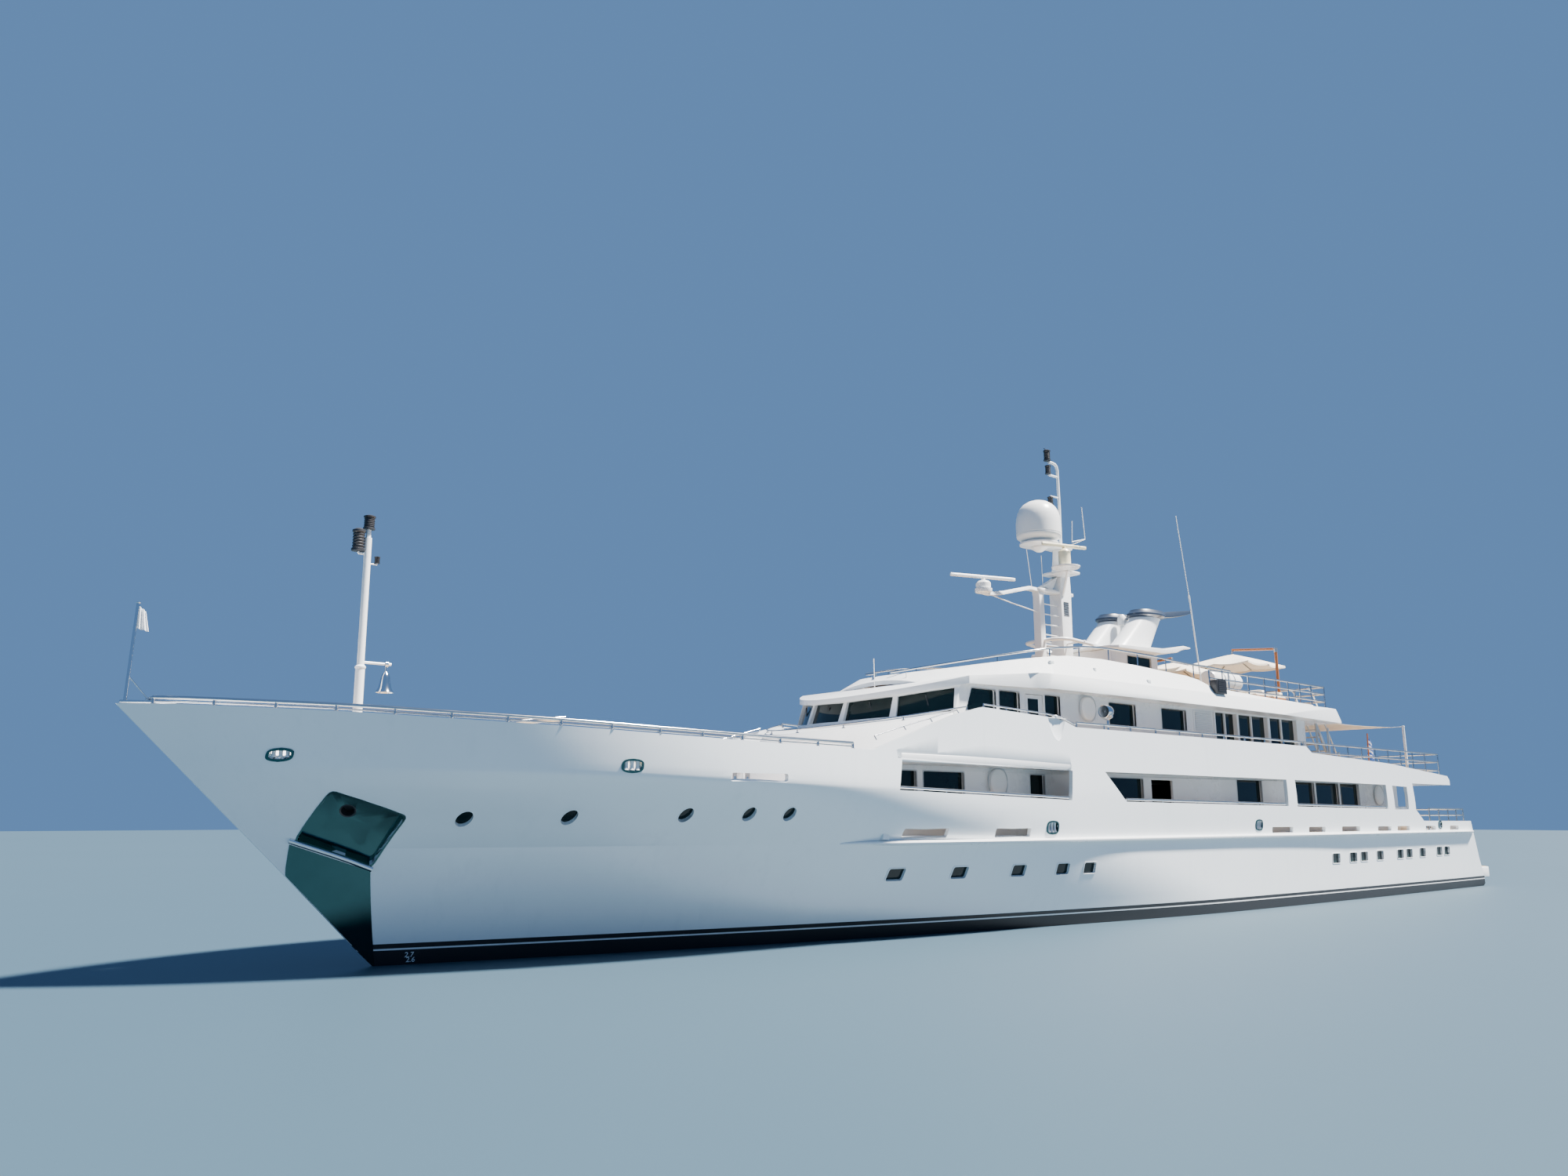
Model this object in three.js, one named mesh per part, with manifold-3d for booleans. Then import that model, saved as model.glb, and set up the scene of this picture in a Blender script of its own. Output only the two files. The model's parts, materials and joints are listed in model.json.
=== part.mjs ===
// Steel motor yacht afloat, drawn as a one-to-two scale model.
// Every size below is the full-size yacht's, in metres, measured in ship terms:
// s is the distance aft of the stem's foot at the waterline, y is out to port,
// z is up from the waterline. One function turns these into model millimetres.

import * as THREE from 'three';
import { mergeVertices } from 'three/addons/utils/BufferGeometryUtils.js';
import Module from 'manifold-3d';

const wasm = await Module();
wasm.setup();

// Scale and frame: +X to the bow, +Y to port, +Z up, origin amidships at the waterline.
const MODEL_SCALE = 1 / 2;
const MILLIMETRES = 1000 * MODEL_SCALE;
const MIDSHIP = 21.5;
const GAP = 0.001;
const RUNNING_GAP = 0.012;

// Levels of the decks and rails.
const KEEL = -2.5;
const RUB_RAIL = 2.33;
const MAIN_DECK = 2.4;
const FOREDECK = 3.7;
const SILL = 3.33;
const SLAB_UNDER = 4.25;
const UPPER_DECK = 4.45;
const SUNDECK = 6.93;
const HARDTOP = 8.45;

// Places along the yacht.
const FORECASTLE_END = 10.9;
const AFT_STEP = 39.9;
const SLAB_END = 43.9;
const ROOF_END = 35.1;
const TRANSOM_WATER = 47.3;

// Thicknesses.
const PLATE = 0.12;
const WALL = 0.1;
const GLASS = 0.035;

// Ship terms to model millimetres.
const toX = (s) => (MIDSHIP - s) * MILLIMETRES;
const toPoint = ([s, y, z]) => new THREE.Vector3(toX(s), y * MILLIMETRES, z * MILLIMETRES);

// Finishes.
const paint = (color, roughness, metalness = 0) =>
  new THREE.MeshStandardMaterial({ color, roughness, metalness });
const finishes = {
  hullPaint: paint(0xdde6ea, 0.22),
  housePaint: paint(0xf1f2f2, 0.28),
  glass: paint(0x11201f, 0.06),
  steel: paint(0xc9cdd0, 0.18, 1),
  antifouling: paint(0x10151d, 0.5),
  navy: paint(0x161f33, 0.3),
  bronze: paint(0xa87b3f, 0.3, 1),
  cloth: paint(0xe6dccb, 0.9),
  whitePlastic: paint(0xf4f4f2, 0.35),
};

// Solids: shared corners are merged, and faces are turned to point outward.
function windsOutward(position, index) {
  const corner = (i) => new THREE.Vector3().fromBufferAttribute(position, index[i]);
  let sum = 0;
  for (let i = 0; i < index.length; i += 3) {
    sum += corner(i).dot(corner(i + 1).cross(corner(i + 2)));
  }
  return sum > 0;
}

function toSolid(geometry) {
  const bare = geometry.clone();
  bare.deleteAttribute('normal');
  bare.deleteAttribute('uv');
  const merged = mergeVertices(bare, 0.001);
  const index = [...merged.index.array];
  const keep = [];
  for (let i = 0; i < index.length; i += 3) {
    const [a, b, c] = index.slice(i, i + 3);
    if (a !== b && b !== c && c !== a) keep.push(a, b, c);
  }
  if (!windsOutward(merged.attributes.position, keep)) keep.reverse();
  return new wasm.Manifold(new wasm.Mesh({
    numProp: 3,
    vertProperties: new Float32Array(merged.attributes.position.array),
    triVerts: new Uint32Array(keep),
  }));
}

function toGeometry(solid) {
  const mesh = solid.getMesh();
  const geometry = new THREE.BufferGeometry();
  geometry.setAttribute('position', new THREE.BufferAttribute(mesh.vertProperties, 3));
  geometry.setIndex(new THREE.BufferAttribute(mesh.triVerts, 1));
  geometry.computeVertexNormals();
  return geometry;
}

const join = (solids) => solids.reduce((whole, solid) => whole.add(solid));
const cut = (solid, tools) => tools.reduce((left, tool) => left.subtract(tool), solid);

// An outline seen from above, as [s, y] corners, raised from one level to another.
function planPrism(outline, low, high) {
  const shape = new THREE.Shape(outline.map(([s, y]) => new THREE.Vector2(toX(s), y * MILLIMETRES)));
  const depth = (high - low) * MILLIMETRES;
  const geometry = new THREE.ExtrudeGeometry(shape, { depth, bevelEnabled: false });
  geometry.translate(0, 0, low * MILLIMETRES);
  return toSolid(geometry);
}

// An outline seen from the side, as [s, z] corners, carried across from y0 to y1.
function sidePrism(outline, y0, y1) {
  const shape = new THREE.Shape(outline.map(([s, z]) => new THREE.Vector2(toX(s), z * MILLIMETRES)));
  const depth = (y1 - y0) * MILLIMETRES;
  const geometry = new THREE.ExtrudeGeometry(shape, { depth, bevelEnabled: false });
  geometry.rotateX(Math.PI / 2);
  geometry.translate(0, y1 * MILLIMETRES, 0);
  return toSolid(geometry);
}

function block(s0, s1, y0, y1, z0, z1) {
  const geometry = new THREE.BoxGeometry(
    (s1 - s0) * MILLIMETRES, (y1 - y0) * MILLIMETRES, (z1 - z0) * MILLIMETRES);
  const centre = toPoint([(s0 + s1) / 2, (y0 + y1) / 2, (z0 + z1) / 2]);
  geometry.translate(centre.x, centre.y, centre.z);
  return toSolid(geometry);
}

// A skin through rings of [s, y, z] points, closed by a flat cap at each end.
function loft(rings) {
  const size = rings[0].length;
  const corners = rings.flat().map(toPoint);
  const faces = [];
  for (let row = 0; row < rings.length - 1; row += 1) {
    for (let i = 0; i < size; i += 1) {
      const a = row * size + i;
      const b = row * size + ((i + 1) % size);
      faces.push([a, b, a + size], [b, b + size, a + size]);
    }
  }
  const last = (rings.length - 1) * size;
  // Cap triangles come back wound the same way as their ring.
  const flatCap = (start) => {
    const ring = corners.slice(start, start + size);
    const normal = new THREE.Vector3();
    ring.forEach((p, i) => normal.add(p.clone().cross(ring[(i + 1) % size])));
    const dropped = ['x', 'y', 'z'].sort((p, q) => Math.abs(normal[q]) - Math.abs(normal[p]))[0];
    const [u, v] = { x: ['y', 'z'], y: ['z', 'x'], z: ['x', 'y'] }[dropped];
    const contour = ring.map((p) => new THREE.Vector2(p[u], p[v]));
    const triangles = THREE.ShapeUtils.triangulateShape(contour, []);
    const area = (indices) => THREE.ShapeUtils.area(indices.map((i) => contour[i]));
    const ringArea = THREE.ShapeUtils.area(contour);
    return triangles.map((f) => (area(f) * ringArea > 0 ? f : [f[2], f[1], f[0]]));
  };
  for (const f of flatCap(0)) faces.push([f[2], f[1], f[0]]);
  for (const f of flatCap(last)) faces.push([last + f[0], last + f[1], last + f[2]]);
  const geometry = new THREE.BufferGeometry();
  geometry.setAttribute('position', new THREE.BufferAttribute(
    new Float32Array(corners.flatMap((p) => [p.x, p.y, p.z])), 3));
  geometry.setIndex(faces.flat());
  return toSolid(geometry);
}

// A straight round or square bar between two [s, y, z] points.
function bar(from, to, radius, sides = 4, endRadius = radius) {
  const a = toPoint(from);
  const b = toPoint(to);
  const run = b.clone().sub(a);
  const geometry = new THREE.CylinderGeometry(
    endRadius * MILLIMETRES, radius * MILLIMETRES, run.length(), sides);
  const turn = new THREE.Quaternion().setFromUnitVectors(
    new THREE.Vector3(0, 1, 0), run.clone().normalize());
  geometry.applyQuaternion(turn);
  geometry.translate((a.x + b.x) / 2, (a.y + b.y) / 2, (a.z + b.z) / 2);
  return toSolid(geometry);
}

// A turned form about an upright axis through [s, y], from [radius, z] pairs.
function turned(s, y, outline, segments) {
  const points = outline.map(([r, z]) => new THREE.Vector2(r * MILLIMETRES, z * MILLIMETRES));
  const geometry = new THREE.LatheGeometry(points, segments);
  geometry.rotateX(Math.PI / 2);
  geometry.translate(toX(s), y * MILLIMETRES, 0);
  return toSolid(geometry);
}

const yacht = new THREE.Group();

function addPart(name, solid, finish) {
  const mesh = new THREE.Mesh(toGeometry(solid), finishes[finish]);
  mesh.name = name;
  yacht.add(mesh);
}

const SIDES = [
  ['port', 1],
  ['starboard', -1],
];
const mirrored = (solid, side) => (side > 0 ? solid : solid.mirror([0, 1, 0]));

// Hull form: one row for each waterline, from the keel to above the sheer.
// [level, stem s, transom s, half breadth, entry length, entry fullness, half breadth at the transom]
const WATERLINES = [
  [KEEL, 9.0, 31.0, 0.45, 9, 1.6, 0.2],
  [-2.3, 5.2, 36.0, 1.9, 16, 1.6, 0.3],
  [-1.7, 2.6, 39.5, 3.3, 22, 1.6, 0.5],
  [-0.9, 1.1, 44.0, 3.8, 25, 1.6, 2.1],
  [0, 0, TRANSOM_WATER, 3.98, 26, 1.6, 3.58],
  [1.2, -1.22, 46.7, 4.05, 24.5, 1.85, 3.68],
  [RUB_RAIL, -2.36, 46.15, 4.11, 22, 2.3, 3.76],
  [3.1, -3.14, 45.75, 4.18, 19, 2.7, 3.82],
  [3.82, -3.87, 45.4, 4.22, 16.2, 3.1, 3.85],
  [5.9, -5.98, 44.35, 4.22, 15, 3.3, 3.85],
];
const STATIONS = [0, 0.012, 0.035, 0.07, 0.11, 0.16, 0.22, 0.3, 0.4, 0.52, 0.65, 0.78, 0.9, 1];
const STEM_HALF_WIDTH = 0.03;
const PARALLEL_END = 0.55;

function halfBreadth(row, s) {
  const [, stem, end, widest, entry, fullness, atEnd] = row;
  const ahead = Math.min(1, Math.max(0, (s - stem) / entry));
  const entryPart = 1 - (1 - ahead) ** fullness;
  const run = Math.max(0, ((s - stem) / (end - stem) - PARALLEL_END) / (1 - PARALLEL_END));
  return STEM_HALF_WIDTH + (widest - STEM_HALF_WIDTH) * entryPart - (widest - atEnd) * run ** 2;
}

// The hull's outside half breadth at any place, read between waterlines.
function sideAt(s, z) {
  let upper = WATERLINES.findIndex((row) => row[0] >= z);
  upper = Math.max(1, upper < 0 ? WATERLINES.length - 1 : upper);
  const [low, high] = [WATERLINES[upper - 1], WATERLINES[upper]];
  const part = (z - low[0]) / (high[0] - low[0]);
  return halfBreadth(low, s) * (1 - part) + halfBreadth(high, s) * part;
}

// The hull's form drawn in or out by a distance at its sides, stem and transom.
function hullForm(inset, rows = WATERLINES) {
  const rings = rows.map((row) => {
    const [z, stem, end] = row;
    const from = stem + inset * 2.2;
    const to = end - inset;
    const port = STATIONS.map((part) => {
      const s = from + (to - from) * part;
      const clamped = Math.min(Math.max(s, stem), end);
      return [s, Math.max(0.01, halfBreadth(row, clamped) - inset), z];
    });
    const starboard = port.map(([s, y, level]) => [s, -y, level]).reverse();
    return [...port, ...starboard];
  });
  return loft(rings);
}

const outer = hullForm(0);
const inner = hullForm(PLATE);
const EVERYWHERE = 9;

// The sheer of the forward bulwark, and the step down aft, as seen from the side.
const SHEER = [
  [-5.4, 5.0],
  [-5.07, 4.99],
  [-2.9, 4.9],
  [0, 4.78],
  [2.2, 4.7],
  [4.2, 4.62],
  [7.0, 4.535],
  [FORECASTLE_END, 4.47],
];
const sheerAt = (s) => {
  const i = Math.max(1, SHEER.findIndex(([place]) => place >= s));
  const [[s0, z0], [s1, z1]] = [SHEER[i - 1], SHEER[i]];
  return z0 + ((z1 - z0) * (s - s0)) / (s1 - s0);
};
const SCREEN_TOP = SLAB_UNDER - GAP;

const belowMainDeck = block(-6, 49, -5, 5, -3, MAIN_DECK);
const forecastle = block(-6, FORECASTLE_END, -5, 5, MAIN_DECK - 0.1, FOREDECK);
const THRUSTER = { s: 3.6, z: -1.3, radius: 0.32 };
const thrusterTunnel = bar([THRUSTER.s, -5, THRUSTER.z], [THRUSTER.s, 5, THRUSTER.z], THRUSTER.radius, 12);

// Rudders, shafts and fins under water.
const RUDDER = { s: 45.6, y: 1.75, top: -0.85, low: -2.3, chord: 1.2, thick: 0.16, stock: 0.07 };
const SHAFT = { s0: 35.5, z0: -1.62, free: 39.4, s1: 43.4, z1: -1.85, y: 1.75, radius: 0.09 };
const PROPELLER = { radius: 0.58, hub: 0.15, blades: 4 };
const FIN = { s: 20.5, chord: 1.5, span: 1.05, z: -1.62, y: 3.3, droop: 0.68, stock: 0.08 };

// A raised hatch on the foredeck.
const HATCH = { s: 8.3, half: 0.5, rise: 0.12 };
const foredeckHatch = block(HATCH.s - HATCH.half, HATCH.s + HATCH.half, -HATCH.half, HATCH.half,
  FOREDECK - 0.1, FOREDECK + HATCH.rise);
const hullBody = outer.intersect(join([belowMainDeck, forecastle, foredeckHatch]));
const railBand = block(9, 46.1, -5, 5, RUB_RAIL - 0.07, RUB_RAIL + 0.06);
const rubRails = hullForm(-0.13).intersect(railBand);

// Shaft lines: a tube leaves the hull, and a two-legged bracket stands near each screw.
const shaftSlope = (SHAFT.z1 - SHAFT.z0) / (SHAFT.s1 - SHAFT.s0);
const shaftZ = (s) => SHAFT.z0 + shaftSlope * (s - SHAFT.s0);
const BORE_SIDES = 12;
const boreFor = (radius) => (radius + GAP) / Math.cos(Math.PI / BORE_SIDES);
const bearing = boreFor(SHAFT.radius);
const shaftGear = SIDES.flatMap(([, sign]) => {
  const y = SHAFT.y * sign;
  const tube = bar([SHAFT.s0, y, shaftZ(SHAFT.s0)],
    [SHAFT.free - RUNNING_GAP, y, shaftZ(SHAFT.free)], SHAFT.radius * 1.9, 10);
  const sleeve = bar([42.35, y, shaftZ(42.35)], [42.85, y, shaftZ(42.85)], bearing + 0.09, 12);
  const legs = [-0.75, 0.75].map((lean) => bar([42.6, y + lean * 0.16, shaftZ(42.6) + 0.15],
    [42.5, y + lean, -0.3], 0.09, 6));
  return [tube, sleeve, ...legs];
});
const shaftBores = SIDES.map(([, sign]) => bar([SHAFT.free, SHAFT.y * sign, shaftZ(SHAFT.free)],
  [45, SHAFT.y * sign, shaftZ(45)], bearing, BORE_SIDES));
const wholeHull = join([cut(hullBody, [thrusterTunnel]), rubRails.intersect(block(9, 46.1, -5, 5, 0, MAIN_DECK)),
  ...shaftGear]);
addPart('hull', cut(wholeHull, shaftBores), 'hullPaint');

for (const [side, sign] of SIDES) {
  const half = sign > 0 ? block(-6, 49, GAP / 2, 5, -3, 6) : block(-6, 49, -5, -GAP / 2, -3, 6);
  const shell = outer.subtract(inner).intersect(half);

  const fore = sidePrism([
    ...SHEER,
    [FORECASTLE_END, FOREDECK + GAP],
    [-5.4, FOREDECK + GAP],
  ], -5, 5);
  addPart(`fore_bulwark_${side}`, shell.intersect(fore), 'hullPaint');

  const screenSide = sidePrism([
    [FORECASTLE_END + GAP, MAIN_DECK + GAP],
    [FORECASTLE_END + GAP, SCREEN_TOP],
    [AFT_STEP, SCREEN_TOP],
    [AFT_STEP + 0.15, 3.22],
    [AFT_STEP + 0.9, 2.78],
    [47, 2.76],
    [47, MAIN_DECK + GAP],
  ], -5, 5);
  // Openings of the side deck: [fore top, aft top, fore sill, aft sill, sill level]
  const OPENINGS = [
    [11.0, 17.5, 10.95, 17.6, 3.5],
    [19.05, 29.45, 20.05, 29.5, SILL],
    [30.05, 37.3, 30.05, 37.45, SILL],
    [37.95, 39.3, 37.95, 39.4, SILL],
  ];
  const holes = OPENINGS.map(([foreTop, aftTop, foreSill, aftSill, sill]) => sidePrism([
    [foreSill, sill],
    [foreTop, SCREEN_TOP - 0.06],
    [aftTop, SCREEN_TOP - 0.06],
    [aftSill, sill],
  ], sign > 0 ? 3 : -5, sign > 0 ? 5 : -3));
  const transomFree = block(-6, 45.6, -5, 5, -3, 6);
  const screen = cut(shell.intersect(screenSide).intersect(transomFree), holes);
  addPart(`side_screen_${side}`, screen, 'hullPaint');
}

// The stern bulwark closes the after deck, and the bathing platform stands on the transom.
const sternBulwark = outer.subtract(inner).intersect(
  block(45.6 + GAP, 47, -5, 5, MAIN_DECK + GAP, 2.76));
addPart('stern_bulwark', sternBulwark, 'hullPaint');

const sternTop = (s) => (s > 45.6 ? 2.76 : 2.78 - (0.02 * (s - AFT_STEP - 0.9)) / (47 - AFT_STEP - 0.9));
const PLATFORM = { end: 48.2, half: 3.6, low: 0.35, top: 0.8, corner: 0.35 };
const platformOutline = [
  [46.5, -PLATFORM.half],
  [PLATFORM.end - PLATFORM.corner, -PLATFORM.half],
  [PLATFORM.end, -PLATFORM.half + PLATFORM.corner],
  [PLATFORM.end, PLATFORM.half - PLATFORM.corner],
  [PLATFORM.end - PLATFORM.corner, PLATFORM.half],
  [46.5, PLATFORM.half],
];
const platform = planPrism(platformOutline, PLATFORM.low, PLATFORM.top).subtract(hullForm(-GAP));
addPart('swim_platform', platform, 'housePaint');

// Under water: shafts and screws, their brackets, rudders and roll fins.
for (const [side, sign] of SIDES) {
  const y = SHAFT.y * sign;
  const line = bar([SHAFT.free, y, shaftZ(SHAFT.free)], [SHAFT.s1 + 0.45, y, shaftZ(SHAFT.s1 + 0.45)],
    SHAFT.radius, 10);
  const hub = bar([SHAFT.s1, y, shaftZ(SHAFT.s1)], [SHAFT.s1 + 0.5, y, shaftZ(SHAFT.s1 + 0.5)],
    PROPELLER.hub, 12, PROPELLER.hub * 0.7);
  const blades = [];
  for (let i = 0; i < PROPELLER.blades; i += 1) {
    const length = PROPELLER.radius - PROPELLER.hub * 0.6;
    const blade = new THREE.BoxGeometry(0.06 * MILLIMETRES, 0.4 * MILLIMETRES, length * MILLIMETRES);
    const place = blade.attributes.position;
    for (let k = 0; k < place.count; k += 1) {
      const out = place.getZ(k) > 0 ? 1.2 : 0.6;
      place.setY(k, place.getY(k) * out);
    }
    blade.rotateZ(-0.85 * sign);
    blade.translate(0, 0, (PROPELLER.hub * 0.6 + length / 2) * MILLIMETRES);
    blade.rotateX((i / PROPELLER.blades) * 2 * Math.PI);
    blade.rotateY(-Math.atan(shaftSlope));
    const at = toPoint([SHAFT.s1 + 0.24, y, shaftZ(SHAFT.s1 + 0.24)]);
    blade.translate(at.x, at.y, at.z);
    blades.push(toSolid(blade));
  }
  addPart(`propeller_${side}`, join([line, hub, ...blades]), 'bronze');

  const blade = loft([RUDDER.low, RUDDER.top].map((z) => {
    const chord = z === RUDDER.top ? RUDDER.chord : RUDDER.chord * 0.85;
    return [
      [RUDDER.s - chord * 0.35, y, z],
      [RUDDER.s - chord * 0.1, y + RUDDER.thick / 2, z],
      [RUDDER.s + chord * 0.65, y + 0.01, z],
      [RUDDER.s + chord * 0.65, y - 0.01, z],
      [RUDDER.s - chord * 0.1, y - RUDDER.thick / 2, z],
    ];
  }));
  // The stock ends flat, just under the lowest place of the hull above it.
  const [runLow, runHigh] = [WATERLINES[3], WATERLINES[4]];
  const runPart = (RUDDER.s - RUDDER.stock - runLow[2]) / (runHigh[2] - runLow[2]);
  const stockTop = runLow[0] + (runHigh[0] - runLow[0]) * runPart - GAP;
  const stock = bar([RUDDER.s, y, RUDDER.top - 0.1], [RUDDER.s, y, stockTop], RUDDER.stock, 10);
  addPart(`rudder_${side}`, join([blade, stock]), 'antifouling');

  const root = [FIN.s, FIN.y * sign, FIN.z];
  const tip = [FIN.s + 0.25, (FIN.y + FIN.span * Math.cos(FIN.droop)) * sign,
    FIN.z - FIN.span * Math.sin(FIN.droop)];
  const finRing = ([s, fy, z], chord, thick) => {
    const upY = Math.sin(FIN.droop) * sign * thick;
    const upZ = Math.cos(FIN.droop) * thick;
    return [
      [s - chord * 0.4, fy, z],
      [s - chord * 0.1, fy + upY, z + upZ],
      [s + chord * 0.6, fy, z],
      [s - chord * 0.1, fy - upY, z - upZ],
    ];
  };
  const fin = loft([finRing(root, FIN.chord, 0.11), finRing(tip, FIN.chord * 0.7, 0.06)]);
  // The fin's stock is lengthened inboard, square to its axis, until it all but meets the hull.
  const alongAxis = (out) => [
    root[0], root[1] + out * Math.cos(FIN.droop) * sign, root[2] - out * Math.sin(FIN.droop)];
  let stockEnd = 0.2;
  for (let pass = 0; pass < 12; pass += 1) {
    const clearance = bar(alongAxis(stockEnd), alongAxis(0.4), FIN.stock, 10).minGap(outer, MILLIMETRES);
    stockEnd -= Math.max(0, clearance / MILLIMETRES - GAP) * 0.9;
  }
  const finStock = bar(alongAxis(stockEnd), alongAxis(0.4), FIN.stock, 10);
  addPart(`roll_fin_${side}`, join([fin.subtract(hullForm(-3 * RUNNING_GAP)), finStock]), 'antifouling');
}

// Main deckhouse: one ring of wall with its windows and doorways cut.
const MAIN_HOUSE = { fore: 11.0, aft: 40.6, half: 3.1 };
const MAIN_HEAD = SLAB_UNDER - GAP;
const mainRing = (inset) => block(MAIN_HOUSE.fore + inset, MAIN_HOUSE.aft - inset,
  -MAIN_HOUSE.half + inset, MAIN_HOUSE.half - inset, MAIN_DECK + GAP - inset, MAIN_HEAD + inset);
// [fore edge, after edge, sill, head]
const MAIN_WINDOWS = [
  [11.9, 12.55, 3.05, 4.1],
  [12.8, 14.35, 3.05, 4.1],
  [17.1, 17.75, 2.75, 4.1],
  [20.8, 22.6, 3.05, 4.1],
  [28.15, 29.8, 3.05, 4.18],
  [31.95, 33.6, 3.05, 4.18],
  [33.73, 35.5, 3.05, 4.18],
  [35.65, 37.2, 3.05, 4.18],
];
const SIDE_DOOR = { fore: 23.05, aft: 24.25, sill: 2.5, head: 4.08, open: 60 };
const HINGE_GAP = 0.04;
const hingePin = (s, y, sill, head) => bar([s, y, sill + GAP], [s, y, head - GAP], 0.018, 10);
const AFT_DOORWAY = { half: 0.75, head: 4.05 };
const mainHoles = [
  ...MAIN_WINDOWS.map(([s0, s1, z0, z1]) => block(s0, s1, -EVERYWHERE, EVERYWHERE, z0, z1)),
  block(SIDE_DOOR.fore, SIDE_DOOR.aft, -EVERYWHERE, EVERYWHERE, SIDE_DOOR.sill, SIDE_DOOR.head),
  block(MAIN_HOUSE.aft - 1, MAIN_HOUSE.aft + 1, -AFT_DOORWAY.half, AFT_DOORWAY.half,
    MAIN_DECK + 0.08, AFT_DOORWAY.head),
];
addPart('main_deckhouse', cut(mainRing(0).subtract(mainRing(WALL)), mainHoles), 'housePaint');

for (const [side, sign] of SIDES) {
  const face = MAIN_HOUSE.half - WALL - GAP;
  const strip = block(11.2, 37.6, face - GLASS, face, 2.65, 4.22);
  const doorway = block(SIDE_DOOR.fore - 0.15, SIDE_DOOR.aft + 0.15, 2, 4, 2, SIDE_DOOR.head + 0.03);
  const lobby = block(14.6, 16.9, 2, 4, 2.6, 3.9);
  const galley = block(24.3, 27.9, 2, 4, 2.6, 3.9);
  addPart(`main_glass_${side}`, mirrored(cut(strip, [doorway, lobby, galley]), sign), 'glass');

  // The side door is hinged at its fore edge and stands partly open, inboard.
  const leafStart = SIDE_DOOR.fore + HINGE_GAP;
  const hingeY = MAIN_HOUSE.half - WALL / 2;
  const leaf = new THREE.BoxGeometry(
    (SIDE_DOOR.aft - leafStart - RUNNING_GAP) * MILLIMETRES, 0.045 * MILLIMETRES,
    (SIDE_DOOR.head - SIDE_DOOR.sill - 2 * RUNNING_GAP) * MILLIMETRES);
  const leafLength = (SIDE_DOOR.aft - leafStart - RUNNING_GAP) * MILLIMETRES;
  leaf.translate(-leafLength / 2, 0, 0);
  leaf.rotateZ(THREE.MathUtils.degToRad(SIDE_DOOR.open));
  const hinge = toPoint([leafStart, hingeY, (SIDE_DOOR.sill + SIDE_DOOR.head) / 2]);
  leaf.translate(hinge.x, hinge.y, hinge.z);
  const pin = hingePin(leafStart, hingeY, SIDE_DOOR.sill, SIDE_DOOR.head);
  addPart(`side_door_${side}`, mirrored(join([toSolid(leaf), pin]), sign), 'housePaint');
}

// A sliding glass leaf closes each after doorway from inside its end wall.
const AFT_LEAF = { half: 0.82, thick: 0.045, clear: 0.02, shoe: 0.06 };
function slidingLeaf(wallFace, deck, head) {
  const aft = wallFace - RUNNING_GAP;
  const fore = aft - AFT_LEAF.thick;
  const shoes = [-1, 1].map((end) => {
    const y = end * (AFT_LEAF.half - 2 * AFT_LEAF.shoe);
    return block(fore, aft, y - AFT_LEAF.shoe, y + AFT_LEAF.shoe, deck + GAP, deck + 2 * AFT_LEAF.clear);
  });
  const leaf = block(fore, aft, -AFT_LEAF.half, AFT_LEAF.half, deck + AFT_LEAF.clear, head);
  return join([leaf, ...shoes]);
}
addPart('aft_door', slidingLeaf(MAIN_HOUSE.aft - WALL, MAIN_DECK, 4.12), 'glass');

// Upper deck: the slab over the side decks, its bulwarks and the rounded bridge front.
const slabZone = block(FORECASTLE_END + GAP, SLAB_END, -5, 5, SLAB_UNDER, UPPER_DECK);
addPart('upper_deck', outer.intersect(slabZone), 'housePaint');

const UPPER_TOP = [
  [9.95, 4.54],
  [12.8, 5.47],
  [13.9, 5.73],
  [17.1, 5.6],
  [17.8, 5.4],
  [31.1, 5.38],
  [31.5, 5.16],
  [38.0, 4.97],
  [43.7, 4.62],
  [43.9, 4.46],
];
const upperSide = sidePrism([
  ...UPPER_TOP,
  [43.9, UPPER_DECK + GAP],
  [FORECASTLE_END + GAP, UPPER_DECK + GAP],
  [FORECASTLE_END, 4.48],
  [9.9, 4.51],
], -5, 5);
for (const [side, sign] of SIDES) {
  const half = sign > 0 ? block(-6, 49, 1, 5, -3, 6) : block(-6, 49, -5, -1, -3, 6);
  addPart(`upper_bulwark_${side}`,
    outer.subtract(inner).intersect(upperSide).intersect(half), 'hullPaint');
}

// An arc across the yacht, from its port corner round the front to starboard.
function frontArc(centre, corner, half, count = 12) {
  const rise = corner - centre;
  const radius = (half ** 2 + rise ** 2) / (2 * rise);
  const sweep = Math.asin(Math.min(1, half / radius));
  const points = [];
  for (let i = 0; i <= count; i += 1) {
    const turn = sweep * (1 - (2 * i) / count);
    points.push([centre + radius - radius * Math.cos(turn), radius * Math.sin(turn)]);
  }
  return points;
}

const levelRing = (plan, z) => plan.map(([s, y]) => [s, y, z]);
const bridgePlan = (z, inset) => {
  const lean = (z - FOREDECK) * 0.85;
  const front = frontArc(9.85 + lean + inset, 12.3 + lean * 0.9, 3.85 - inset);
  return [...front, [14.2, -3.85 + inset], [14.2, 3.85 - inset]];
};
const bridgeForm = (inset) => loft([FOREDECK + GAP, 5.9].map((z) => levelRing(bridgePlan(z, inset), z)));
const bridgeTop = sidePrism([
  [8, FOREDECK], [8, 4.9], [11.0, 5.14], [14.0, 5.72], [14.2, 5.72], [14.2, FOREDECK],
], -5, 5);
const bridgeWell = bridgeForm(PLATE).intersect(block(8, 15, -5, 5, UPPER_DECK, 6));
const bridgeBack = block(FORECASTLE_END - 0.02, 15, -5, 5, 3, UPPER_DECK + GAP);
addPart('bridge_front',
  cut(bridgeForm(0).intersect(bridgeTop), [bridgeWell, bridgeBack, block(13.4, 15, -5, 5, 3, 7)]), 'housePaint');

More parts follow.
